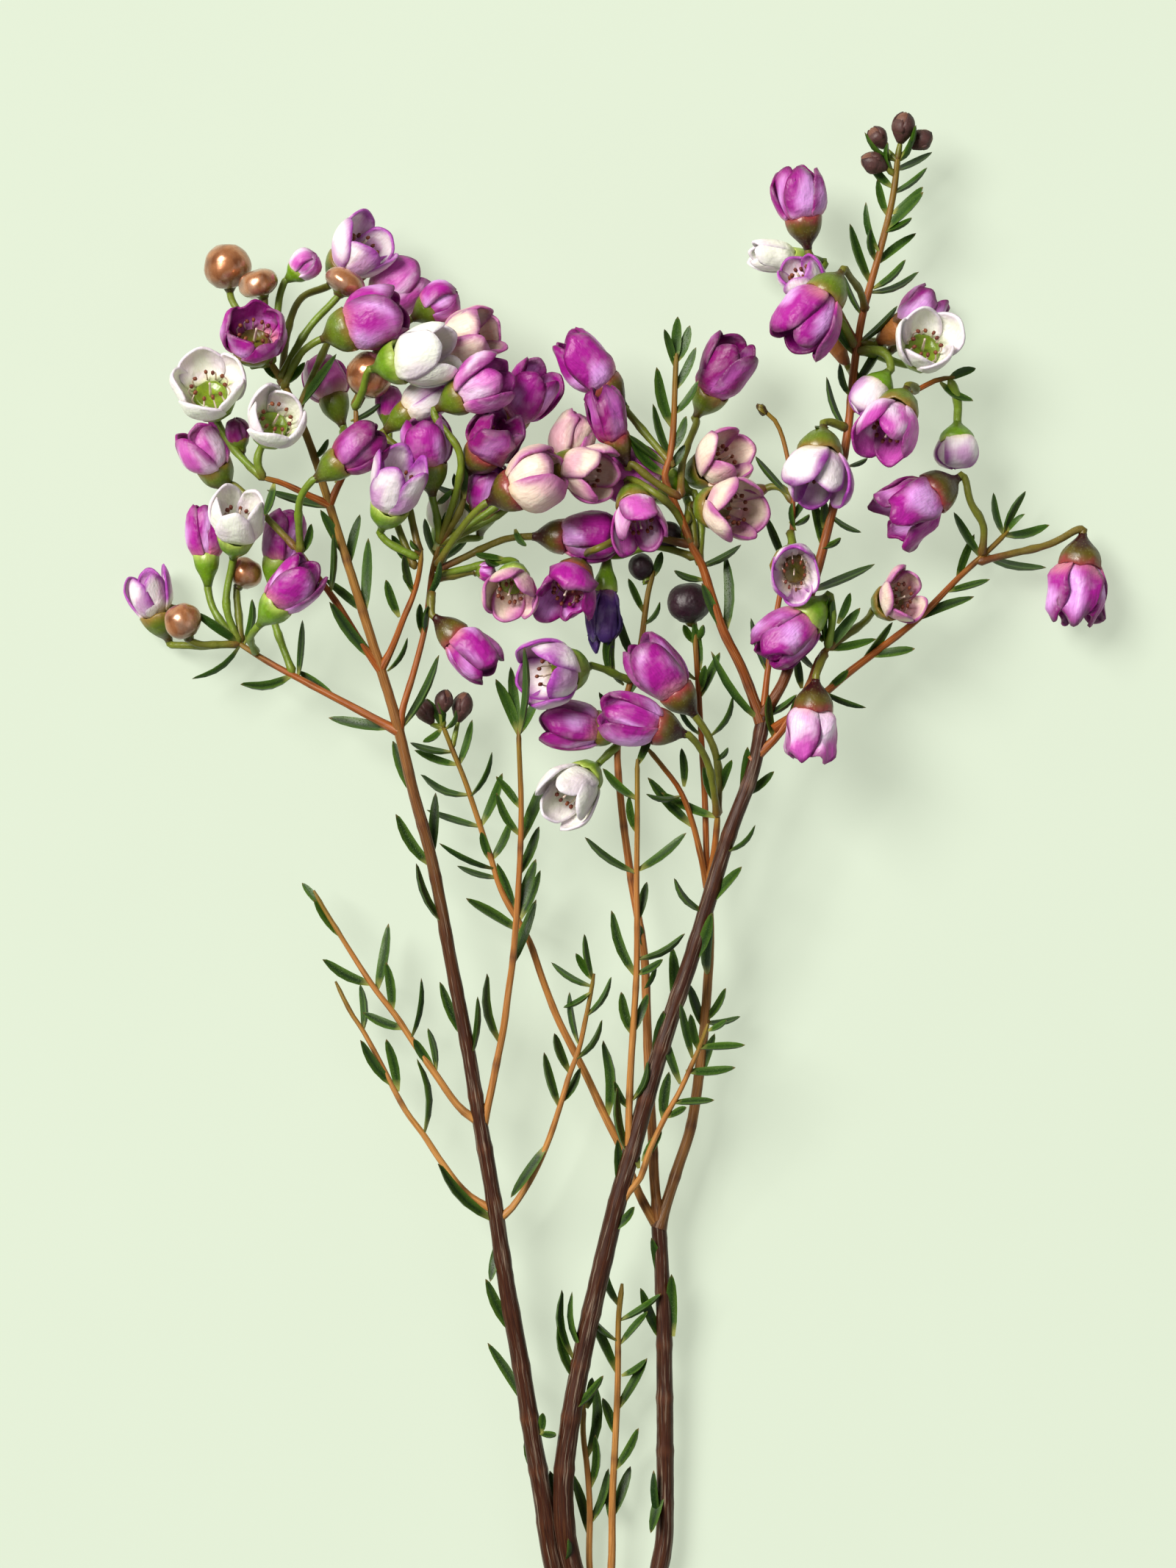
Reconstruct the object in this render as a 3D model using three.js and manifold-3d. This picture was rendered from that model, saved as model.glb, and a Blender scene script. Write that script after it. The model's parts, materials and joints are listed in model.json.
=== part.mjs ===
// A cut stem of waxflower lying on its side: branching woody stems with needle leaves, and
// five-petalled cup flowers, each on its own funnel-shaped calyx at the end of a thin stalk.
// Millimetres. The stem's cut end is at low Y, its flowers at high Y, and it lies on Z = 0.
import * as THREE from "three";
import { mergeVertices } from "three/addons/utils/BufferGeometryUtils.js";
import Module from "manifold-3d";

const wasm = await Module();
wasm.setup();

// ---------------------------------------------------------------- driving dimensions

const CENTRE_X = 4.5; // middle of the spray's width, measured from the trunk
const CENTRE_Y = 138.95; // half of the spray's length, measured from the cut end
const GAP = 0.3; // between a corolla and the calyx that carries it
const CLEAR = 0.45; // kept between anything and a neighbour's corolla
const FLOOR_CLEAR = 0.5; // kept under everything that the stem doesn't rest on

// Woody stems and stalks.
const CUT_LEAN = 2.4; // how far the slanting cut runs along the trunk
const WOOD_SIDES = 5;
const TWIG_SIDES = 4;
const WOOD_RADIUS = 1; // from this radius up a stem has WOOD_SIDES
const STEM_STEP = 16; // length of one straight piece of a stem
const END_INSET = 1; // how far inside a stem's end the last stalks and leaves are rooted
const STALK_RADIUS = 0.6;
const STALK_SIDES = 3; // its calyx or bud has twice as many
const NECK = 1.8; // from the heart of its stem to where a stalk has its full thickness
const SHORTEST_STALK = 0.8; // anything nearer its stem than this stands straight on it
const NEAREST_RING = 3.2; // stalk points nearer than this to the next are left out

// Calyxes and buds. A profile's rows are heights as shares of the length, and radii as shares of the
// rim's or the bud's own radius.
const CALYX_LENGTH = 4.8;
const CALYX_RIM = 0.25; // the rim's radius as a share of the corolla's width
const CALYX_FOOT = 1.2; // the foot's radius as a share of the stalk's
const CALYX_PROFILE = [[0.55, 0.85], [1, 1]];
const BUD_FOOT = 1.1;
const BUD_PROFILE = [[0.32, 1], [0.72, 0.9]];

// Leaves: three-sided needles, thickest near the stem.
const LEAF_WIDTH = 1.75;
const LEAF_KEEL = 1.0; // depth of the section
const LEAF_BACK = 0.4; // share of the depth that lies behind the leaf's middle line
const LEAF_SHOULDER = 0.3; // where along a leaf it reaches its full size
const LEAF_LEAN = 0.9; // spread of the slopes out of the plane
const LEAF_CURL = 0.16; // spread of the bows to one side, as a share of the length
const LEAF_TURN = 1.6; // spread of the turns about the leaf's own length, in radians
const LEAF_TILTS = [0, 0.22, -0.22, 0.45, -0.45, 0.7, -0.7, 1, -1]; // slopes tried to clear a flower
const LEAF_PROBES = 6; // points along a leaf where its clearance is tested

// Petals. A station's height and radius are shares of the corolla's length and half width, each
// changed by its last value times how far the corolla is open; half is half the angle it spans.
const PETALS = 5;
const PETAL_START = 0.3; // turn of the first petal about the corolla's axis, in radians
const PETAL_STATIONS = [
  { height: [0, 0], radius: [0.46, 0], half: 0.5, inset: 0.1, lift: 0.7 },
  { height: [0.55, -0.2], radius: [1, 0], half: 0.46, inset: 0.7, lift: 0.1 },
  { height: [1, 0], radius: [0.45, 0.5], half: 0.34, inset: 0.7, lift: -0.1 },
];

// How flowers part until they are clear of each other.
const FLOWER_REACH = 0.47; // a corolla's room from its middle, as a share of its larger size
const BUD_REACH = 0.5;
const NESTLE = 0.94; // share of their reach that neighbours keep from each other
const CALYX_BALL = 2.3; // the room that a calyx takes
const CALYX_MIDDLE = 0.45; // where along the calyx that room is centred
const BALL_STEP = 3; // between the balls that stand for a stem
const GIVE = 0.25; // share of an overlap that each of two flowers gives way by in one pass
const STEM_GIVE = 0.5; // the same beside a stem, which stays put
const SETTLE_PASSES = 160;
const RESTING_BELOW = 5.5; // flowers whose middle is lower carry the spray and stay where they are
const BEND_PASSES = 40;
const BEND_STEP = 2; // between the points of a stalk that are tested
const BEND_REACH = 9; // how far along a stalk one push is felt

const FLOOR_BLOCK = [400, 800, 10];
const WELD = 1e-4; // corners nearer than this are one
const SEED = 20417;

// ---------------------------------------------------------------- the plant's layout

// Woody stems, each from a point on its parent to its tip. A point is x, y and height z; where
// z is left out it runs evenly from the parent's height to `rise`. r is the radius at each end.
const STEMS = [
  { name: "trunk", r: [2.6, 2.2], path: [[2, 0, 2.08], [2, 10, 2.3], [2.3, 20, 3], [2.2, 27, 3.8]] },
  { name: "left", r: [1.65, 0.55], path: [[2, 17, 3.2], [-0.5, 26, 4], [-4, 34, 5], [-6, 41, 6],
    [-7.3, 50, 7], [-9, 60, 8], [-10.7, 71, 9], [-13.2, 85, 10], [-15.3, 99, 11], [-17.9, 114, 12],
    [-19.7, 125, 12.5], [-22.6, 140, 13], [-25.4, 155, 13.5], [-28.6, 167, 14], [-31.2, 178, 14.5],
    [-34, 187.3, 15], [-37, 197, 15.5], [-39.5, 205, 16], [-42.3, 214, 16.5], [-45.2, 223, 17],
    [-49, 232, 17], [-52, 237, 17]] },
  { name: "middle", r: [1.7, 1.1], path: [[2.2, 19, 3.4], [0.5, 28, 5], [-2, 37, 6.5], [-3.7, 45, 7.5],
    [-4, 54, 8.5], [-2.8, 64, 9.5], [-0.6, 76, 10.5], [2.5, 90, 12], [4.9, 100, 13], [7.7, 110, 13.5],
    [10.5, 120, 14], [13.6, 130, 14.5], [17, 140, 15], [20, 150, 15.5], [23.1, 160, 16],
    [26.8, 170, 16], [28.8, 180, 16]] },
  { name: "right", r: [1.5, 1.15], path: [[3, 16, 3], [6, 24, 3.2], [10, 33, 3.4], [12.4, 42, 3.8],
    [12.7, 50, 4.2], [12.7, 60, 4.8], [12.6, 70, 5.4], [12.5, 80, 6], [12, 90, 6.5], [11.5, 97, 7]] },
  { name: "thin", from: "trunk", rise: 9, r: [0.7, 0.45], path: [[2.3, 25], [3.3, 33], [3.9, 40],
    [4, 50], [4.5, 60], [4.9, 70], [5, 80], [5.6, 86]] },
  { name: "short", from: "trunk", rise: 5.4, r: [0.6, 0.45], path: [[2, 26], [0.8, 34], [0.2, 40],
    [0.3, 48], [-0.1, 55], [-0.8, 61], [-0.7, 66]] },
  { name: "crown", from: "middle", rise: 11, r: [0.9, 0.5], path: [[28.7, 179], [32, 185], [34, 192],
    [36, 198], [38, 205], [39.5, 211], [40.7, 216], [42.5, 226], [43.5, 236], [45, 245], [48, 256],
    [49.9, 264], [50.8, 271]] },
  { name: "inner", from: "middle", rise: 18, r: [0.9, 0.4], path: [[28.4, 178], [25.2, 186.5],
    [22, 193], [20, 199], [18.5, 203.7], [17, 206.5], [15.5, 210.5], [14, 214], [12.5, 218],
    [13.3, 221], [13.9, 226], [14.2, 234], [14.4, 238]] },
  { name: "dead", from: "middle", rise: 12, r: [0.55, 0.35], path: [[28.8, 179.5], [29.4, 187],
    [31, 197], [33, 207], [33.5, 212], [33.3, 217], [32, 224], [30.5, 227.5], [28, 229.5]] },
  { name: "side", from: "middle", rise: 18, r: [0.75, 0.6], path: [[27.4, 171.5], [31, 176],
    [36, 184], [37.5, 188], [39.5, 190.7]] },
  { name: "reach", from: "side", rise: 8, r: [0.7, 0.45], path: [[31, 176.2], [38, 182.3], [43, 186.5],
    [47, 189.5], [54, 195], [61, 202], [66.5, 207], [69, 209.5]] },
  { name: "spur", from: "crown", rise: 12, r: [0.5, 0.4], path: [[42.9, 229], [48, 230.5], [53, 232],
    [57, 234], [60, 234.5]] },
  { name: "low_left", from: "right", rise: 9, r: [0.85, 0.45], path: [[11.5, 97], [10.9, 103],
    [10.6, 110], [10, 120], [9.6, 132], [9.2, 140], [7, 153], [5.2, 167], [4.9, 175], [6.5, 183],
    [8.5, 190], [9.8, 199], [10.8, 203]] },
  { name: "low_right", from: "right", rise: 8, r: [0.95, 0.7], path: [[11.8, 95], [14.8, 105],
    [17, 112], [18.8, 125], [19.5, 133], [20, 143], [19.6, 152]] },
  { name: "fork_a", from: "low_right", rise: 14, r: [0.55, 0.4], path: [[19.6, 151.5], [18.3, 157],
    [17, 162], [15, 167], [12, 171], [9.5, 174]] },
  { name: "fork_b", from: "low_right", rise: 10, r: [0.55, 0.45], path: [[19.6, 151.5], [19.4, 158],
    [19.2, 165], [18.8, 172], [18.2, 182], [17.7, 190], [17.5, 195]] },
  { name: "fork_c", from: "low_right", rise: 12, r: [0.6, 0.5], path: [[19.6, 151.5], [20.7, 157],
    [21.3, 163.5]] },
  { name: "front", from: "middle", rise: 20, r: [0.65, 0.4], path: [[5.2, 101], [6.5, 108], [6.7, 115],
    [7, 122], [7.5, 130], [7.9, 137], [8, 145], [7.9, 152], [8, 160], [8, 166], [8, 172]] },
  { name: "under", from: "right", rise: 10, r: [0.75, 0.4], path: [[11.6, 95], [9.7, 98], [8, 101.5],
    [5.5, 108], [3, 113], [0, 119.5], [-2, 123.5], [-5, 129.5], [-7.5, 136], [-9.8, 142.5],
    [-14, 150], [-16, 156], [-18, 162], [-20, 168], [-22, 173], [-24, 178]] },
  { name: "fern_a", from: "left", rise: 17, r: [0.65, 0.4], path: [[-17.4, 111], [-16, 117], [-15, 122],
    [-13.8, 128], [-13, 134], [-12.3, 139], [-11.7, 146], [-11.3, 152], [-11, 158], [-10.9, 165],
    [-11.2, 173], [-11.3, 177]] },
  { name: "fern_b", from: "left", rise: 14.5, r: [0.6, 0.35], path: [[-14.9, 96.5], [-12.5, 98.5],
    [-9, 104], [-6.5, 109.5], [-4.5, 115.5], [-3, 120.5], [-1.5, 124.5], [-0.5, 129], [0.5, 134],
    [1, 137]] },
  { name: "fern_c", from: "left", rise: 7, r: [0.6, 0.35], path: [[-15.1, 98], [-20, 101], [-24, 106],
    [-27, 110.5], [-30, 114.5], [-34.5, 123], [-37, 127.5], [-39, 130.5], [-41.5, 135.5]] },
  { name: "fern_d", from: "left", rise: 9, r: [0.65, 0.35], path: [[-17.7, 112.5], [-21, 115],
    [-25, 120.5], [-28.5, 125.5], [-31.5, 130], [-35, 134.5], [-38, 139], [-43, 147], [-45, 150.5]] },
  { name: "fern_e", from: "middle", rise: 19, r: [0.6, 0.35], path: [[4.2, 97], [6.5, 101],
    [8.5, 103.5], [10, 108], [12.5, 113.5], [15, 118], [17, 122.5], [18.5, 126], [19.5, 129]] },
  { name: "arm_low", from: "left", rise: 8, r: [0.7, 0.45], path: [[-30.9, 176.5], [-38, 180.3],
    [-46, 184.5], [-53, 188.3], [-58, 191.5]] },
  { name: "arm_mid", from: "left", rise: 17, r: [0.65, 0.45], path: [[-33.8, 186.6], [-37, 191],
    [-41, 197.5], [-45, 203], [-48, 207]] },
  { name: "arm_in", from: "left", rise: 19, r: [0.6, 0.4], path: [[-33.8, 186.6], [-32, 190],
    [-30, 195], [-28.5, 198.5], [-27.5, 202], [-27, 206]] },
  { name: "arm_pale", from: "left", rise: 15, r: [0.6, 0.4], path: [[-30.8, 176.2], [-30.3, 180],
    [-28.5, 186], [-26.6, 193.5], [-25.4, 202.7], [-24, 208]] },
  { name: "tip_left", from: "left", rise: 18, r: [0.55, 0.45], path: [[-42.1, 213.4], [-46, 215.2],
    [-50, 217], [-53.5, 217.9]] },
  { name: "tip_right", from: "left", rise: 15, r: [0.55, 0.4], path: [[-42.1, 213.4], [-41, 216],
    [-39.5, 219], [-38.5, 223], [-37.8, 227], [-38, 230]] },
];

// Leaves of each stem, base x and y then tip x and y, lowest first.
const LEAVES = [
  // left branch
  [-8, 54, -10.3, 60.5], [-11.2, 65.5, -16.5, 76], [-12.3, 77.5, -16.8, 86.8],
  [-15, 93.5, -16, 86.5], [-16, 96, -24.5, 106], [-19, 123, -18, 133.3], [-20.5, 126, -24.3, 135.5],
  [-23.8, 145, -28, 155], [-25.6, 154.5, -31.5, 163], [-25, 155.5, -25, 166.5],
  [-28.6, 166, -32, 175], [-32, 177.2, -42.5, 178.8], [-30.5, 177, -24.3, 189],
  [-39, 203.5, -37.3, 212], [-36.3, 195.5, -35.8, 208], [-37.5, 196, -43, 201.5],
  [-35, 188, -42, 197.5], [-39.5, 205, -43.5, 212.5], [-42.5, 213, -52.5, 216],
  [-47, 229, -41, 238], [-50.3, 234, -53, 236.5],
  // lowest left fern
  [-26.3, 111, -28, 123], [-31.3, 117.5, -33, 126.2], [-32, 118, -37.3, 126],
  [-37, 127.5, -37.5, 135],
  // second left fern
  [-25, 121, -26.2, 128], [-25.5, 121.5, -28.5, 126.3], [-29, 126.4, -27.3, 136.2],
  [-30, 128, -37, 130.4], [-32, 130.6, -33, 138.8], [-34.5, 134.2, -32.8, 145],
  [-35.5, 135, -43.5, 139.2], [-40.5, 142.5, -45, 149], [-43.5, 147.5, -47, 151.7],
  // arms of the left branch
  [-41.5, 182, -47.5, 186.5], [-47.5, 185.4, -46.8, 194.8], [-48.5, 185.6, -56.8, 184.2],
  [-56.7, 190.6, -55, 198.2], [-57.5, 191, -65, 185.2], [-57.8, 191.4, -64.5, 196.2],
  [-42, 199, -41.5, 208.5], [-46.7, 205.5, -45, 210.3], [-30.2, 195, -33, 201.3],
  [-27.5, 203, -32, 208.5], [-51, 217.2, -52.5, 211.5],
  [-37.8, 227, -33.5, 230.5], [-40.6, 216.8, -35, 224.5],
  // tall fern in front of the left branch
  [-14.3, 125.5, -16.5, 137], [-12, 138, -8.5, 149], [-11.6, 146, -8.5, 155.7],
  [-11.2, 153, -8, 161], [-11, 159.5, -15, 166.5], [-10.9, 158.5, -6, 170.5],
  [-11, 164, -15, 169.2], [-11.3, 176.5, -15, 185], [-11.3, 176.8, -12.6, 187],
  [-11.3, 176.8, -10.2, 190], [-11.3, 176.5, -8, 182.5],
  // fern behind the middle branch
  [3.2, 113, 2.5, 126], [-10.8, 144, -20, 149.2], [-15, 152.5, -21.5, 154.5],
  [-15.5, 154, -24.3, 158.3], [-17.8, 161, -26.5, 163.7], [-19.5, 166.2, -27.5, 169.5],
  [-21.5, 171, -28.5, 173.5], [-15.8, 155.5, -12.6, 162], [-17.6, 161, -14, 169.7],
  [-19, 166, -15.7, 173.2], [-21, 171, -19, 178.5], [-23.5, 176.5, -26.5, 182],
  // leafy shoot before the left branch
  [-7, 109, -12.6, 100.5], [-4.8, 115.2, -7.2, 124], [-4.4, 115.8, -1.2, 121.5],
  [-2, 123, 2.3, 129.5], [-1.3, 125.5, -3, 134], [-0.4, 130, 3.8, 136.5],
  [0.6, 135, -6, 138.8], [0.8, 136, -2, 140.3], [1, 137, -0.6, 143.5],
  // right fern
  [9, 104.8, 7, 112], [9.4, 106, 12, 111.5], [12.3, 113, 13.2, 121],
  [14, 116, 20.5, 116.6], [15.4, 119, 12, 128.3], [16.3, 121, 24, 121.8], [17.3, 123.3, 15, 132.3],
  [18, 125, 25.5, 125.6], [19, 127.8, 16.5, 135.2], [19.5, 128.8, 25, 129.8], [19.5, 129, 22.6, 134.5],
  // thin shoot in front of the middle branch
  [7.2, 127, 5.4, 134], [7.3, 127.5, 9.8, 133.8], [7.8, 136.5, 3.8, 147.3],
  [7.9, 137, 12.2, 139.4], [8, 139.5, 15.8, 143.6], [8, 145.5, 9.6, 152], [7.9, 153.5, -0.5, 159.3],
  [8, 153.8, 16, 160], [8, 160, 6.6, 166], [8, 165.5, 2.4, 170.5], [8, 171.5, 10.5, 177.5],
  // middle branch
  [-2, 70, -5, 79.5], [-1, 75, -2.6, 85],
  [11, 122, 12.3, 131], [14, 131.5, 13.8, 141.3], [19, 147, 14, 152.6], [19.5, 148, 25, 154.5],
  [16.5, 138.5, 20.2, 147], [25.4, 166, 30.4, 170], [25.3, 166, 26, 174],
  [28.7, 178, 20, 189.5], [28.8, 179, 34, 182.5],
  // low stems at the cut end
  [-3.8, 46, -6.3, 55], [0.3, 44, -2.6, 54.3], [0.3, 46, 3.4, 55], [3.9, 46, 3.2, 54.5],
  [4, 47.5, 7, 55.5], [4.2, 55, 8.3, 62.3], [4.5, 61, 2.4, 67], [4.7, 65, 9.7, 73.8],
  [4.9, 71, 0, 81.5], [5, 76, 9.8, 81.5], [5, 80, 12, 84.3], [5.2, 82, 2, 91.5],
  [12.4, 76, 8.6, 85.2], [12.5, 84, 10.4, 93.5], [0, 57, 1.2, 69.5], [12.7, 50, 12.3, 58.5],
  [12.7, 54, 10.3, 45], [18, 118, 20.8, 127],
  // forks of the right branch
  [21.1, 162.5, 12, 166.5], [17.2, 161, 9.8, 169], [7.9, 188, 5, 195.6], [5.1, 176, 1.8, 183],
  [18.6, 176, 14.8, 181], [18.2, 182, 21.6, 189.5],
  // leafy tip of the inner shoot
  [18.5, 203.5, 25, 207], [22.4, 192.4, 22.5, 205.5], [12.6, 217.8, 6.7, 224.7],
  [12.5, 218.3, 15.8, 223.2], [13, 220.4, 10.6, 230], [13.4, 222, 16, 227.8],
  [13.9, 226, 11.2, 236], [14, 228, 18, 233.6], [14.1, 232, 17.6, 239], [14.3, 235.5, 12.4, 241.8],
  [14.4, 237, 14.6, 244], [14.4, 236.5, 16.6, 242.6],
  // crown shoot
  [38.4, 206.5, 36.6, 215], [36.4, 199.5, 47, 204], [39.8, 212, 44.6, 209], [42.4, 225.5, 39, 234.5],
  [43.2, 232.5, 49.5, 243], [43.9, 238, 39.6, 245], [44.3, 240, 50.5, 246], [44.9, 244.5, 42, 251],
  [45.9, 248.5, 54.3, 252], [46.2, 249.5, 42.8, 259.5], [47.2, 253, 53.8, 258.3],
  [48.6, 258.5, 54.7, 264.5], [49.2, 261, 47.4, 267],
  [50, 264.5, 55.5, 268.8], [50.2, 265.5, 46, 270.5], [50.6, 268.5, 56.5, 271.7],
  // spur and long arm of the middle branch
  [59, 234.3, 63.5, 236], [57.5, 234, 63, 230.6], [33.2, 210.5, 36.8, 216.5],
  [32.4, 204, 29, 212], [33.4, 215.5, 27.3, 221.4], [38.6, 182.8, 45.3, 180.4], [37, 186.5, 33.3, 191],
  [46, 188.8, 53.3, 190], [44.8, 188, 49.8, 194.4], [53.2, 194.4, 63.3, 198.7],
  [58.6, 199.5, 65.7, 201.4], [60.4, 201.4, 63.5, 209], [64.4, 205.2, 60, 212.5],
  [65, 205.8, 75.5, 203.6], [68.6, 209, 66.6, 215.8], [69, 209.5, 71.8, 216], [69, 209.5, 76, 210.6],
  [39.5, 190.7, 39.2, 198.6], [39.5, 190.7, 44.3, 196.6], [39, 190, 47, 191.6], [28.9, 186, 26.6, 195],
];

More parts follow.
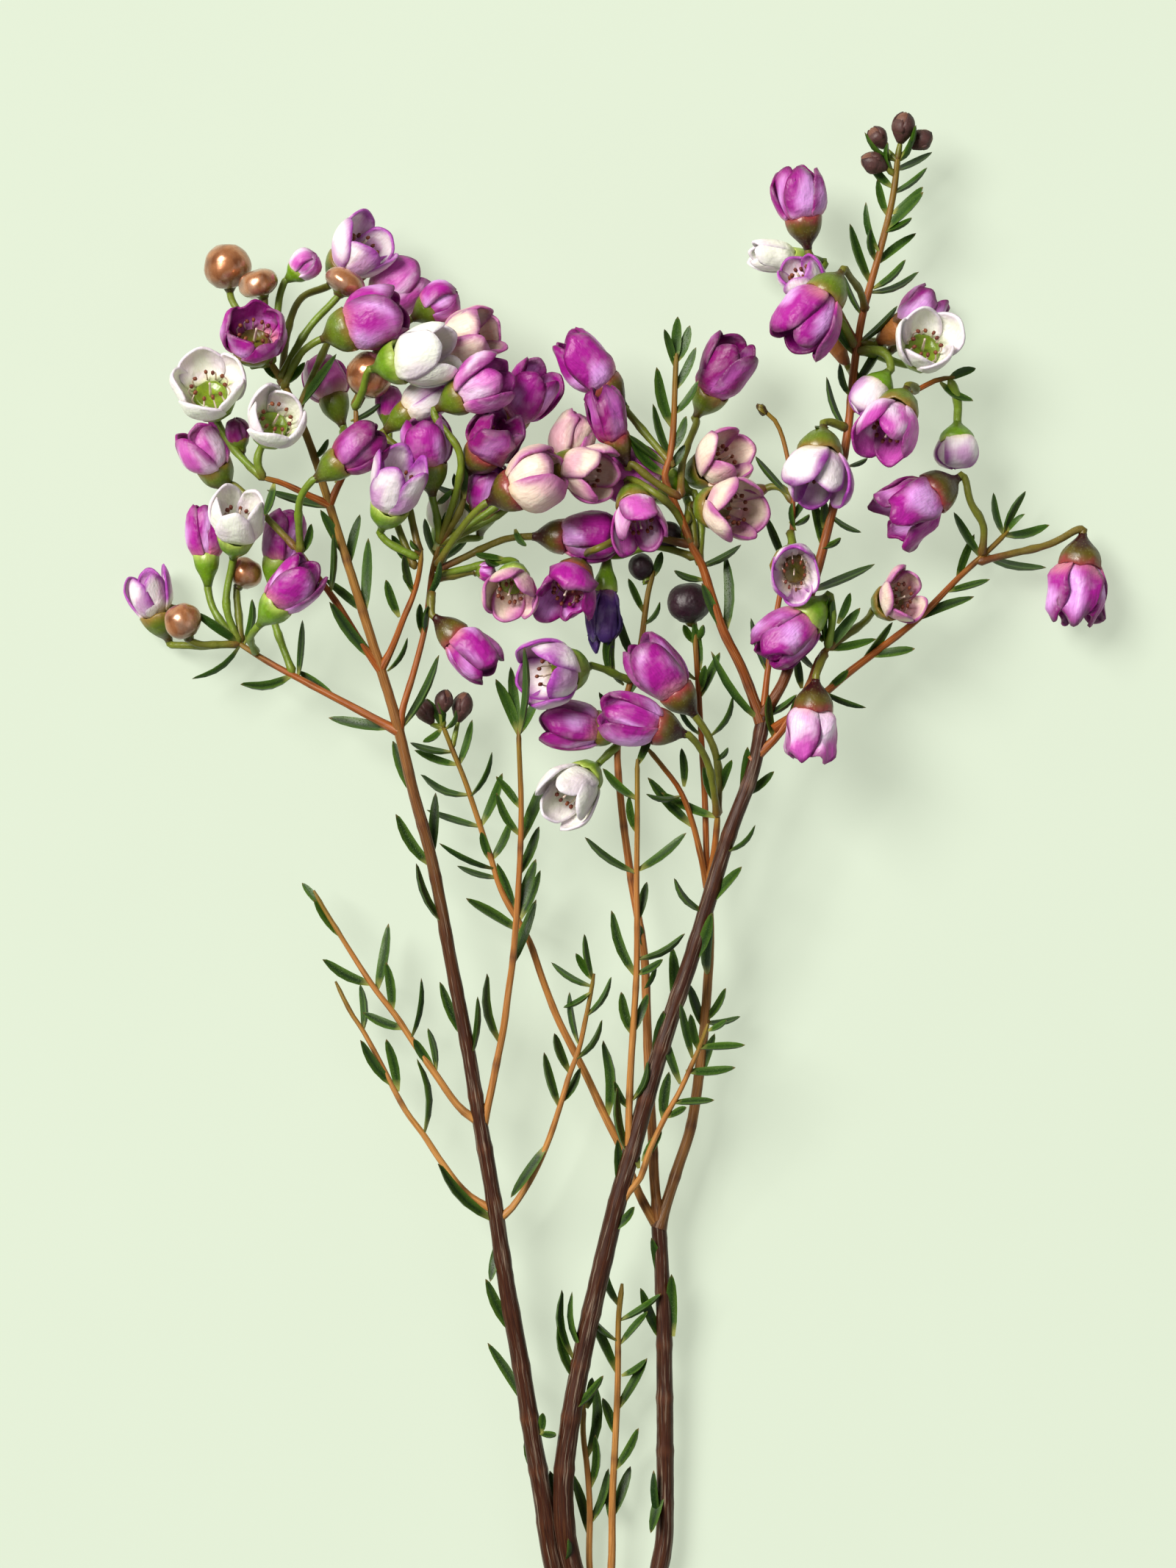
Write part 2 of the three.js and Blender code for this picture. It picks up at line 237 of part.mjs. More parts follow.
// Open flowers: place of the corolla's middle, width across, length along, heading in degrees in
// the XY plane, lift in degrees out of it, how far the petals' tips open (0 shut to 1 flat), tone,
// and the stalk's points from the stem to the calyx.
const FLOWERS = [
  // head of the left branch
  ["L01", [-37, 255.5, 12], 11, 7.5, 45, 30, 0.7, "blush", [[-49.6, 233], [-49, 243], [-46.8, 248.4]]],
  ["L03", [-54, 241, 24], 11, 6, 85, 55, 0.65, "magenta", [[-51.9, 236.8], [-52.4, 237.6]]],
  ["L04", [-34.5, 243.5, 20], 11, 9, 21, 5, 0.45, "magenta", [[-49.2, 232.4], [-46.5, 238.8]]],
  ["L05", [-31, 249.5, 7], 10, 8, 40, -8, 0.5, "magenta", [[-47.4, 228], [-43.5, 238], [-40, 245.4]]],
  ["L07", [-61.5, 232.3, 21], 12, 6, 98, 60, 0.85, "white", [[-53.3, 217.9], [-57.4, 222]]],
  ["L08", [-50.3, 226.8, 27], 10.5, 6, 55, 62, 0.8, "white", [[-53.3, 217.9], [-54.4, 220.4]]],
  ["L09", [-62.8, 223, 13], 9, 7, 118, 20, 0.5, "blush", [[-47.8, 206.8], [-54, 213], [-59, 218]]],
  ["L11", [-43, 234.4, 8], 7.5, 7, 110, -15, 0.4, "blush", [[-38.7, 222], [-40, 227]]],
  ["L12", [-26.2, 237.4, 24], 11, 9, 14, 18, 0.6, "white", [[-38, 230], [-36, 233]]],
  ["L13", [-26, 231, 17], 7, 8, 38, 10, 0.3, "blush", [[-27, 205.8], [-29.5, 215], [-30.4, 223]]],
  ["L14", [-19, 240.8, 15], 10, 8, 20, 28, 0.55, "blush", [[-37.9, 229], [-32, 238]]],
  ["L15", [-16.8, 232.6, 25], 9, 8, 27, 20, 0.45, "magenta", [[-24, 207.9], [-20.4, 221.4]]],
  ["L16", [-9.6, 231.8, 16], 9, 9, 55, 20, 0.6, "magenta", [[-24, 207.8], [-20.8, 213.4], [-19.6, 219.6]]],
  ["L18", [-36.8, 222.3, 24], 8, 8, 34, 5, 0.35, "magenta", [[-46.8, 205.4], [-47, 214]]],
  ["L19", [-26.2, 223.4, 20], 9, 7.5, 96, 10, 0.4, "magenta", [[-24.1, 207.5], [-24.6, 212.5]]],
  ["L20", [-15, 224, 22], 9.5, 6.5, 50, 30, 0.6, "violet", [[-24, 208], [-20, 214]]],
  ["L21", [-16.4, 216.4, 17], 7.5, 7.5, 80, 30, 0.3, "magenta", [[-24.3, 206.6], [-19.5, 208.6]]],
  ["L22", [-30.6, 216.6, 25], 9.5, 9.5, 68, 35, 0.5, "white", [[-27.2, 204.5], [-32, 206.8]]],
  ["L23", [-63, 209.5, 6], 6.5, 8, 93, 0, 0.3, "magenta", [[-57.2, 191], [-61.5, 196]]],
  ["L24", [-57, 211.4, 16], 9.3, 7.5, 80, 42, 0.55, "white", [[-57.4, 191.1], [-59.6, 197]]],
  ["L25", [-50, 208.6, 9], 7.5, 8, 78, 5, 0.3, "magenta", [[-48.4, 185.8], [-51.7, 195]]],
  ["L26", [-47.6, 200.4, 19], 8.5, 8.5, 48, 15, 0.55, "magenta", [[-54.4, 189.1], [-55.4, 191.4]]],
  ["L27", [-72, 199.4, 4.6], 9.5, 7, 110, 12, 0.6, "blush", [[-57.8, 191.4], [-64, 190.6], [-68.8, 191]]],
  ["L28", [-18.6, 189, 18], 8, 8, -44, 10, 0.4, "magenta", [[-25.8, 200], [-25.8, 197]]],
  // heart of the spray
  ["M01", [-0.6, 236.8, 16], 9, 9.5, 132, 8, 0.4, "magenta", [[12.9, 219.4], [9, 225.5], [5.4, 230]]],
  ["M02", [3.1, 228, 21], 6.5, 8, 112, 10, 0.3, "violet", [[13.9, 214.2], [10, 217.5], [6.4, 221]]],
  ["M03", [7.5, 218.5, 14], 10, 9.5, 163, 0, 0.35, "magenta", [[18.5, 203.8], [18.6, 211], [17.4, 214.6]]],
  ["M04", [0.3, 218.3, 23], 9.5, 7.5, -15, 35, 0.5, "blush", [[-24, 208], [-15, 213], [-9, 218]]],
  ["M05", [-2.6, 224.6, 14], 7.5, 7, 65, 0, 0.2, "blush", [[-24, 208], [-15, 211.6], [-7.6, 217]]],
  ["M06", [-8.3, 217.2, 21], 10.5, 8, 25, 15, 0.35, "blush", [[-25.3, 203.4], [-20.5, 209.6]]],
  ["M07", [8.3, 210.4, 22], 9, 7.5, -75, 40, 0.8, "blush", [[17, 206.5], [14.6, 212], [11, 215]]],
  ["M08", [0.2, 208.4, 14], 8.5, 8.5, 0, 5, 0.4, "magenta", [[-25.4, 202.8], [-20, 205], [-13, 208.4]]],
  ["M09", [-12.5, 199.2, 20], 8.5, 6, 262, 55, 0.55, "white", [[-25.5, 202], [-18, 203.5], [-12.6, 204.8]]],
  ["M10", [-3.5, 199, 20], 10, 7, 245, 45, 0.5, "magenta", [[16.8, 206.8], [8, 208.6], [1.6, 206]]],
  ["M11", [2.6, 195.4, 12], 6, 8.5, 267, 5, 0.3, "violet", [[17.8, 204.9], [10, 207], [4.4, 204.6]]],
  ["M13", [-6.4, 186, 20], 11, 7.5, 190, 40, 0.55, "white", [[7.1, 185], [5.4, 185.4]]],
  ["M14", [-3, 177.4, 13], 8.5, 9, 176, 5, 0.35, "magenta", [[4.9, 176.2], [4.2, 176.4]]],
  ["M15", [-3, 166.4, 17], 9.5, 9, 226, 32, 0.55, "white", [[4.9, 174.4], [3.8, 173.4]]],
  ["M16", [6.8, 178.6, 22], 9, 9, 164, 8, 0.4, "magenta", [[21.3, 163.2], [19.6, 171.6], [17.4, 175]]],
  ["M17", [11.3, 187, 15], 9, 10, 128, 8, 0.35, "magenta", [[21.3, 163.4], [21.4, 171], [19.8, 176]]],
  ["M18", [22, 221, 13], 9.5, 7.5, 30, 38, 0.6, "blush", [[15.6, 210.3], [16.6, 214]]],
  ["M19", [23.6, 212.5, 21], 10.5, 7.5, -8, 42, 0.6, "white", [[17.3, 206], [17.4, 210]]],
  ["M20", [22.6, 236, 12], 9, 9.5, 58, 22, 0.55, "magenta", [[14.3, 214.4], [15.4, 221], [18.4, 228.4]]],
  ["M21", [-22.6, 212.6, 6.5], 7.5, 6.5, 80, -10, 0.3, "white", [[-25.2, 203.6], [-24.6, 204.6]]],
  // right side of the spray
  ["R01", [34.6, 264.4, 12], 9, 8, 99, 5, 0.4, "magenta", [[43.9, 239.6], [39.6, 248], [36.6, 254]]],
  ["R02", [30.4, 254.8, 6], 5.5, 7, 175, 18, 0.35, "white", [[43.9, 239.6], [39.6, 247], [37.4, 252]]],
  ["R03", [34.8, 250.4, 17], 8, 5, 120, 30, 0.6, "blush", [[43.8, 239], [40.6, 245]]],
  ["R04", [35.6, 243, 25], 10.5, 9.5, 235, 10, 0.4, "magenta", [[45.1, 245.4], [44, 249], [41.8, 250.4]]],
  ["R05", [55, 246, 3.8], 8, 7, 52, 0, 0.5, "magenta", [[44, 240.2], [48.6, 240.6]]],
  ["R06", [55, 239.5, 17], 10, 6, 60, 68, 0.85, "white", [[43.9, 239], [49.5, 237.4]]],
  ["R08", [48.6, 225.3, 22], 10.5, 8, 245, 32, 0.55, "magenta", [[53.2, 232], [54.2, 231.8]]],
  ["R10", [52.6, 213, 15], 11, 9, 192, 8, 0.55, "magenta", [[64.5, 205.2], [65, 211], [62, 213.8]]],
  ["R11", [37.2, 218, 20], 11, 8, 262, 22, 0.5, "white", [[42.5, 226], [40.6, 226.6]]],
  ["R12", [33.4, 202, 22], 11.5, 4, 270, 62, 0.8, "white", [[33.2, 209.4], [33.3, 208]]],
  ["R13", [32.2, 191.6, 22], 9.5, 9, 226, 8, 0.4, "magenta", [[39.3, 190.4], [40, 195.6], [39.2, 198]]],
  ["R14", [36.2, 176, 21], 9.5, 8, 265, 0, 0.45, "magenta", [[38.6, 189.5], [37.6, 187.4]]],
  ["R15", [51, 198.4, 17], 9, 6.5, 25, 58, 0.6, "blush", [[39.5, 190.7], [46.5, 195.4]]],
  ["R16", [80.4, 199.4, 6], 10.5, 9.5, 278, 0, 0.55, "magenta", [[63.6, 204.4], [70, 205.9], [77, 207.6]]],
];

// Closed buds and caps: place, width across, length along, heading, lift, stalk's points.
const BUDS = [
  ["violet", [-25.3, 246, 13], 6.6, 8, 30, 0, [[-37.9, 229.5], [-34, 240]]],
  ["pink", [46.6, 231.8, 20], 6.6, 8.4, 235, 10, [[43.9, 238.6], [48, 239]]],
  ["green", [-46.8, 252, 16], 5, 6, 40, 10, [[-51.6, 236.4], [-50.6, 244]]],
  ["purple", [-57, 224.6, 14], 4, 5.5, 100, 10, [[-53.4, 217.9], [-55.6, 220]]],
  ["magenta", [-32.6, 229.4, 12], 4.4, 7, 90, 5, [[-27.4, 202.6], [-32, 213], [-32.4, 221]]],
  ["violet", [-17, 202.6, 14], 3.2, 3.4, 0, 10, [[-25.5, 201.6], [-21, 202]]],
  ["pink", [60.4, 223.6, 11], 7.2, 7.6, 268, 5, [[60, 234.5], [60.8, 231.5]]],
  ["cap", [-59, 252.6, 12], 7.8, 7.4, 95, 10, [[-51.8, 236.8], [-57, 245], [-59, 248]]],
  ["cap", [-53.6, 249.4, 18], 6.6, 4.6, 110, 10, [[-51.8, 236.6], [-53, 243.6]]],
  ["cap", [-39.4, 249.6, 18], 7, 4.4, 60, 0, [[-50, 233.8], [-45, 243]]],
  ["cap", [-35.6, 234.6, 16], 7.6, 7.4, 60, 30, [[-37.9, 229.6], [-37.4, 231]]],
  ["cap", [-56.2, 202.6, 7], 5.6, 5, 60, 0, [[-57.2, 191], [-57.4, 197]]],
  ["cap", [-66.4, 194.6, 11], 6.2, 5.8, 110, 10, [[-57.9, 191.4], [-63.6, 190.6]]],
  ["dark", [16.6, 197.6, 10.6], 7.2, 6.6, 95, 10, [[17.5, 194.6]]],
  ["dark", [8.8, 203.6, 8.6], 4.2, 4.4, 110, 0, [[10.4, 201.6]]],
  ["dark", [12.8, 208.6, 14], 4.8, 5.2, 180, 0, [[16.7, 207.2]]],
  ["amber", [41.2, 239, 9], 3.6, 6, 120, 0, [[43.4, 235]]],
  ["amber", [49.3, 241.4, 12], 4.8, 5, 30, 20, [[44.2, 240.4]]],
  ["cup", [27.6, 215.8, 11], 3.6, 4, 200, 0, [[33.4, 213.6], [32.4, 216.6], [30.6, 217.2]]],
  ["tip", [51.6, 275.6, 11.6], 3.8, 4.7, 80, 10, [[50.8, 270.6]]],
  ["tip", [47.4, 274, 10], 3.4, 3.6, 125, 0, [[50.8, 270.4]]],
  ["tip", [54.8, 273.6, 10], 3.6, 3.8, 35, 0, [[50.8, 270.4]]],
  ["tip", [46.6, 269.6, 12], 3.8, 4.2, 160, 10, [[50.4, 267.6]]],
  ["tip", [-26.8, 180, 8], 3.2, 4.2, 120, -10, [[-23.8, 177.4]]],
  ["tip", [-23.6, 181.6, 11], 3, 3.8, 80, 10, [[-23.9, 177.8]]],
  ["tip", [-20.6, 180.8, 9], 3.4, 4.6, 75, 0, [[-22.2, 173.6]]],
];

// ---------------------------------------------------------------- materials

const FINISHES = {
  plant: new THREE.MeshStandardMaterial({ color: 0x5a6b2c, roughness: 0.7, metalness: 0 }),
  white: new THREE.MeshStandardMaterial({ color: 0xf1e6e6, roughness: 0.5, metalness: 0 }),
  blush: new THREE.MeshStandardMaterial({ color: 0xe2b4c4, roughness: 0.5, metalness: 0 }),
  magenta: new THREE.MeshStandardMaterial({ color: 0xb04a96, roughness: 0.5, metalness: 0 }),
  violet: new THREE.MeshStandardMaterial({ color: 0x8a4aa0, roughness: 0.55, metalness: 0 }),
};

// ---------------------------------------------------------------- small helpers

const vec = (x, y, z) => new THREE.Vector3(x, y, z);
const UP = vec(0, 0, 1);

/** A repeatable stream of draws between 0 and 1. */
function draws(seed) {
  let state = seed;
  return () => {
    state = (state * 16807) % 2147483647;
    return (state - 1) / 2147483646;
  };
}

/** The unit vector at a heading in the XY plane and a lift out of it, both in degrees. */
function heading(degrees, lift) {
  const a = THREE.MathUtils.degToRad(degrees);
  const e = THREE.MathUtils.degToRad(lift);
  return vec(Math.cos(a) * Math.cos(e), Math.sin(a) * Math.cos(e), Math.sin(e));
}

/** A smooth route through points, cut into equal straight pieces about `step` long. */
function route(points, step) {
  const curve = new THREE.CatmullRomCurve3(points, false, "catmullrom", 0.5);
  return curve.getSpacedPoints(Math.max(1, Math.round(curve.getLength() / step)));
}

/** A closed solid from shared vertices and triangles, turned to face outwards. */
function solid(vertices, triangles) {
  const places = vertices.flatMap((v) => v.toArray());
  const geometry = new THREE.BufferGeometry();
  geometry.setAttribute("position", new THREE.Float32BufferAttribute(places, 3));
  geometry.setIndex(triangles.flat());
  const merged = mergeVertices(geometry, WELD);
  const build = (index) =>
    new wasm.Manifold(
      new wasm.Mesh({
        numProp: 3,
        vertProperties: merged.attributes.position.array,
        triVerts: new Uint32Array(index),
      }),
    );
  const made = build(merged.index.array);
  if (made.volume() > 0) return made;
  return build(Array.from(merged.index.array).reverse());
}

/** A skin over rings of points, closed at both ends. A ring may have twice as many points as the one
 * before it, and the first and last may be single points. */
function loft(rings) {
  const vertices = rings.flat();
  const triangles = [];
  let start = 0;
  for (let i = 0; i < rings.length - 1; i++) {
    const here = rings[i].length;
    const next = rings[i + 1].length;
    const top = start + here;
    for (let k = 0; k < next && here === 1; k++) triangles.push([start, top + ((k + 1) % next), top + k]);
    for (let k = 0; k < here && here > 1; k++) {
      const a = start + k;
      const b = start + ((k + 1) % here);
      if (next === 1) {
        triangles.push([a, b, top]);
      } else if (next === 2 * here) {
        const before = top + ((2 * k + next - 1) % next);
        triangles.push([a, top + 2 * k, before]);
        triangles.push([a, b, top + 2 * k + 1]);
        triangles.push([a, top + 2 * k + 1, top + 2 * k]);
      } else {
        triangles.push([a, top + ((k + 1) % next), top + k], [a, b, top + ((k + 1) % next)]);
      }
    }
    start = top;
  }
  const cap = (first, count, flip) => {
    for (let k = 1; k < count - 1; k++) {
      triangles.push(flip ? [first, first + k + 1, first + k] : [first, first + k, first + k + 1]);
    }
  };
  cap(0, rings[0].length, true);
  cap(start, rings.at(-1).length, false);
  return solid(vertices, triangles);
}

/** A ring of points round a centre, square to `axis`, with a flat turned away from `side`. */
function ring(centre, axis, side, radius, sides) {
  const u = side.clone().addScaledVector(axis, -side.dot(axis)).normalize();
  const v = axis.clone().cross(u);
  return Array.from({ length: sides }, (_, k) => {
    const a = (2 * Math.PI * (k + (sides % 2 ? 0 : 0.5))) / sides;
    return centre.clone().addScaledVector(u, Math.cos(a) * radius).addScaledVector(v, Math.sin(a) * radius);
  });
}

/** The direction of a route at one of its points. */
function along(line, i) {
  const a = line[Math.max(0, i - 1)];
  const b = line[Math.min(line.length - 1, i + 1)];
  return b.clone().sub(a).normalize();
}

/** The rings of a tapering stem along a route, all parallel, so that the sides between them are flat. */
function stemRings(line, radii) {
  const sides = radii[0] >= WOOD_RADIUS ? WOOD_SIDES : TWIG_SIDES;
  const last = line.length - 1;
  const axis = line[last].clone().sub(line[0]).normalize();
  return line.map((p, i) => ring(p, axis, UP, THREE.MathUtils.lerp(radii[0], radii[1], i / last), sides));
}

// ---------------------------------------------------------------- where the stems run

const stems = new Map(); // name -> { line, r }, the line that its rings stand on and its end radii

/** The point on one stem, or on any stem, that is nearest to a place in the XY plane. */
function nearest(x, y, name) {
  let best = null;
  for (const [key, stem] of stems) {
    if (name && key !== name) continue;
    const last = stem.line.length - 2;
    for (let i = 0; i <= last; i++) {
      const a = stem.line[i];
      const b = stem.line[i + 1];
      const dx = b.x - a.x;
      const dy = b.y - a.y;
      const most = i === last ? 1 - END_INSET / Math.hypot(dx, dy) : 1;
      const t = Math.min(most, Math.max(0, ((x - a.x) * dx + (y - a.y) * dy) / (dx * dx + dy * dy)));
      const p = a.clone().lerp(b, t);
      const d = Math.hypot(p.x - x, p.y - y);
      if (!best || d < best.d) best = { d, point: p };
    }
  }
  return best.point;
}

/** Gives each point of a flat path its height, evenly from z0 to z1 along the path. */
function raise(path, z0, z1) {
  const runs = [0];
  for (let i = 1; i < path.length; i++) {
    runs.push(runs[i - 1] + Math.hypot(path[i][0] - path[i - 1][0], path[i][1] - path[i - 1][1]));
  }
  return path.map(([x, y], i) => vec(x, y, z0 + ((z1 - z0) * runs[i]) / (runs.at(-1) || 1)));
}

for (const { name, from, rise, r, path } of STEMS) {
  let points;
  if (from) {
    const root = nearest(path[0][0], path[0][1], from);
    points = raise([[root.x, root.y], ...path.slice(1)], root.z, rise);
  } else {
    points = path.map((p) => vec(...p));
  }
  stems.set(name, { line: route(points, STEM_STEP), r });
}

/** Balls along every stem, for keeping flowers clear of it. */
function stemBalls() {
  const balls = [];
  for (const { line, r } of stems.values()) {
    const last = line.length - 1;
    for (let i = 0; i < last; i++) {
      const pieces = Math.ceil(line[i].distanceTo(line[i + 1]) / BALL_STEP);
      for (let k = 0; k < pieces; k++) {
        const t = k / pieces;
        const p = line[i].clone().lerp(line[i + 1], t);
        balls.push({ p, r: THREE.MathUtils.lerp(...r, (i + t) / last) });
      }
    }
  }
  return balls;
}

// ---------------------------------------------------------------- where the flowers stand

const flowers = FLOWERS.map(([name, at, across, length, degrees, lift, open, tone, stalk]) => ({
  name, across, length, open, tone, stalk,
  middle: vec(...at),
  facing: heading(degrees, lift),
  reach: Math.max(across, length) * FLOWER_REACH,
  held: at[2] < RESTING_BELOW,
}));

const buds = BUDS.map(([tone, at, across, length, degrees, lift, stalk]) => ({
  across, length, tone, stalk,
  middle: vec(...at),
  facing: heading(degrees, lift),
  reach: Math.max(across, length) * BUD_REACH,
  held: false,
}));

/** The middle of a flower's calyx. */
function calyxMiddle(flower) {
  const behind = flower.length / 2 + CALYX_LENGTH * CALYX_MIDDLE;
  return flower.middle.clone().addScaledVector(flower.facing, -behind);
}

/** How far two balls have to part along Z to be clear of each other, signed for the first. */
function partingZ(a, ra, b, rb) {
  const need = ra + rb + CLEAR;
  const flat = Math.hypot(a.x - b.x, a.y - b.y);
  if (flat >= need) return 0;
  const tall = Math.sqrt(need * need - flat * flat);
  const dz = a.z - b.z;
  if (Math.abs(dz) >= tall) return 0;
  return (dz >= 0 ? 1 : -1) * (tall - Math.abs(dz));
}

/** Parts the corollas from each other, from calyxes and buds, and from the stems, along Z. */
function settle() {
  const balls = stemBalls();
  const all = [...flowers, ...buds];
  for (let pass = 0; pass < SETTLE_PASSES; pass++) {
    for (const f of flowers) {
      for (const g of all) {
        if (f === g) continue;
        const push = partingZ(f.middle, f.reach * NESTLE, g.middle, g.reach * NESTLE);
        shift(f, push * GIVE);
        shift(g, -push * GIVE);
        if (!g.name) continue;
        const touch = partingZ(f.middle, f.reach, calyxMiddle(g), CALYX_BALL);
        shift(f, touch * GIVE);
        shift(g, -touch * GIVE);
      }
      for (const { p, r } of balls) shift(f, partingZ(f.middle, f.reach, p, r) * STEM_GIVE);
    }
  }
}

/** Moves a flower or bud in Z, and keeps it off the floor. */
function shift(f, dz) {
  if (f.held || dz === 0) return;
  f.middle.z = Math.max(f.middle.z + dz, f.reach + FLOOR_CLEAR);
}

settle();

// ---------------------------------------------------------------- stalks that keep clear

/** Moves a stalk's inner points along Z until they are clear of every other flower's corolla. */
function bendClear(points, radius, own) {
  for (let pass = 0; pass < BEND_PASSES; pass++) {
    const fine = route(points, BEND_STEP);
    for (const p of fine) {
      for (const f of flowers) {
        if (f === own) continue;
        const push = partingZ(p, radius, f.middle, f.reach);
        if (push === 0) continue;
        for (let i = 1; i < points.length - 1; i++) {
          const near = 1 - Math.min(1, points[i].distanceTo(p) / BEND_REACH);
          points[i].z = Math.max(points[i].z + push * STEM_GIVE * near, radius + FLOOR_CLEAR);
        }
      }
    }
  }
  return points;
}

/** A stalk's route from its stem to the foot of a flower or bud. */
function stalkRoute(stalk, foot, own) {
  const root = nearest(stalk[0][0], stalk[0][1]);
  const flat = [[root.x, root.y], ...stalk.slice(1), [foot.x, foot.y]];
  const points = raise(flat, root.z, foot.z);
  return bendClear(points, STALK_RADIUS, own);
}

// ---------------------------------------------------------------- the green and woody parts

/** A side for a ring's first point that is never in line with its axis. */
const sideOf = (axis) => (Math.abs(axis.z) > 0.9 ? vec(1, 0, 0) : UP);

/** The rings of a stalk from a point inside its stem up to, but without, the foot of what it carries. */
function stalkRings(points) {
  const root = points[0];
  const foot = points.at(-1);
  if (root.distanceTo(foot) < SHORTEST_STALK) return [];
  if (root.distanceTo(foot) < NEAREST_RING) return [[root]];
  const line = [root, root.clone().lerp(points[1], Math.min(0.5, NECK / root.distanceTo(points[1])))];
  for (const p of points.slice(1, -1)) {
    if (p.distanceTo(line.at(-1)) > NEAREST_RING && p.distanceTo(foot) > NEAREST_RING) line.push(p);
  }
  const rings = line.slice(1).map((p, i) => {
    const axis = along([...line, foot], i + 1);
    return ring(p, axis, sideOf(axis), STALK_RADIUS, STALK_SIDES);
  });
  return [[root], ...rings];
}

/** Rings square to the way that a flower or bud faces, from heights and radii. */
function facingRings(foot, facing, profile) {
  const side = sideOf(facing);
  return profile.map(([height, radius]) =>
    ring(foot.clone().addScaledVector(facing, height), facing, side, radius, 2 * STALK_SIDES),
  );
}

/** A stalk that widens into a funnel-shaped calyx under its corolla. */
function calyxOnStalk(flower) {
  const { middle, facing, length, across, stalk } = flower;
  const foot = middle.clone().addScaledVector(facing, -(length / 2 + GAP + CALYX_LENGTH));
  const rim = across * CALYX_RIM;
  const funnel = CALYX_PROFILE.map(([height, radius]) => [height * CALYX_LENGTH, radius * rim]);
  return loft([
    ...stalkRings(stalkRoute(stalk, foot, flower)),
    ...facingRings(foot, facing, [[0, STALK_RADIUS * CALYX_FOOT], ...funnel]),
  ]);
}

/** A stalk that ends in a closed bud with a blunt tip. */
function budOnStalk(bud) {
  const { middle, facing, length, across, stalk } = bud;
  const foot = middle.clone().addScaledVector(facing, -length / 2);
  const body = BUD_PROFILE.map(([height, radius]) => [height * length, (radius * across) / 2]);
  return loft([
    ...stalkRings(stalkRoute(stalk, foot, bud)),
    ...facingRings(foot, facing, [[0, STALK_RADIUS * BUD_FOOT], ...body]),
    [foot.clone().addScaledVector(facing, length)],
  ]);
}

/** A point on the curve that bends from one point past a second to a third. */
function bent(from, past, to, t) {
  return from.clone().lerp(past, t).lerp(past.clone().lerp(to, t), t);
}

/** A bent three-sided leaf from inside its stem, past its middle, to its tip. */
function leaf(base, middle, tip, face) {
  const axis = tip.clone().sub(base).normalize();
  const across = axis.clone().cross(face).normalize();
  const back = across.clone().cross(axis).normalize();
  const centre = bent(base, middle, tip, LEAF_SHOULDER);
  const edge = (sideways, backwards) =>
    centre.clone().addScaledVector(across, sideways).addScaledVector(back, backwards);
  const section = [
    edge(LEAF_WIDTH / 2, LEAF_KEEL * LEAF_BACK),
    edge(-LEAF_WIDTH / 2, LEAF_KEEL * LEAF_BACK),
    edge(0, -LEAF_KEEL * (1 - LEAF_BACK)),
  ];
  return loft([[base], section, [tip]]);
}

/** True where a leaf keeps clear of every corolla and of the floor. */
function leafIsClear(base, middle, tip) {
  for (let k = 1; k <= LEAF_PROBES; k++) {
    const p = bent(base, middle, tip, k / LEAF_PROBES);
    if (p.z < LEAF_WIDTH / 2 + FLOOR_CLEAR) return false;
    if (flowers.some((f) => p.distanceTo(f.middle) < f.reach + LEAF_WIDTH / 2)) return false;
  }
  return true;
}

/** Every leaf, tilted in or out of the plane by a draw, and tilted further to clear the flowers. */
function leaves() {
  const draw = draws(SEED);
  const made = [];
  for (const [x0, y0, x1, y1] of LEAVES) {
    const base = nearest(x0, y0);
    const lean = (draw() - 0.5) * LEAF_LEAN;
    const curl = (draw() - 0.5) * LEAF_CURL;
    const turn = (draw() - 0.5) * LEAF_TURN;
    const run = Math.hypot(x1 - base.x, y1 - base.y);
    const bow = vec(base.y - y1, x1 - base.x, 0).multiplyScalar(curl);
    for (const extra of LEAF_TILTS) {
      const tip = vec(x1, y1, base.z + run * (lean + extra));
      const middle = base.clone().lerp(tip, 0.5).add(bow);
      if (!leafIsClear(base, middle, tip)) continue;
      made.push(leaf(base, middle, tip, vec(Math.sin(turn), 0, Math.cos(turn))));
      break;
    }
  }
  return made;
}

/** The trunk and every stem, the trunk with its end cut on a slant. */
function wood() {
  return [...stems.entries()].map(([name, { line, r }]) => {
    const rings = stemRings(line, r);
    if (name === "trunk") {
      const low = Math.min(...rings[0].map((p) => p.x));
      for (const p of rings[0]) p.y = (CUT_LEAN * (p.x - low)) / (2 * r[0]);
    }
    return loft(rings);
  });
}

/** The whole woody and green plant as one body, with no sealed hollow in it. */
function plant() {
  const pieces = [...wood(), ...flowers.map(calyxOnStalk), ...buds.map(budOnStalk), ...leaves()];
  const bodies = wasm.Manifold.union(pieces).decompose();
  return bodies.reduce((most, body) => (body.volume() > most.volume() ? body : most));
}

// ---------------------------------------------------------------- the corollas

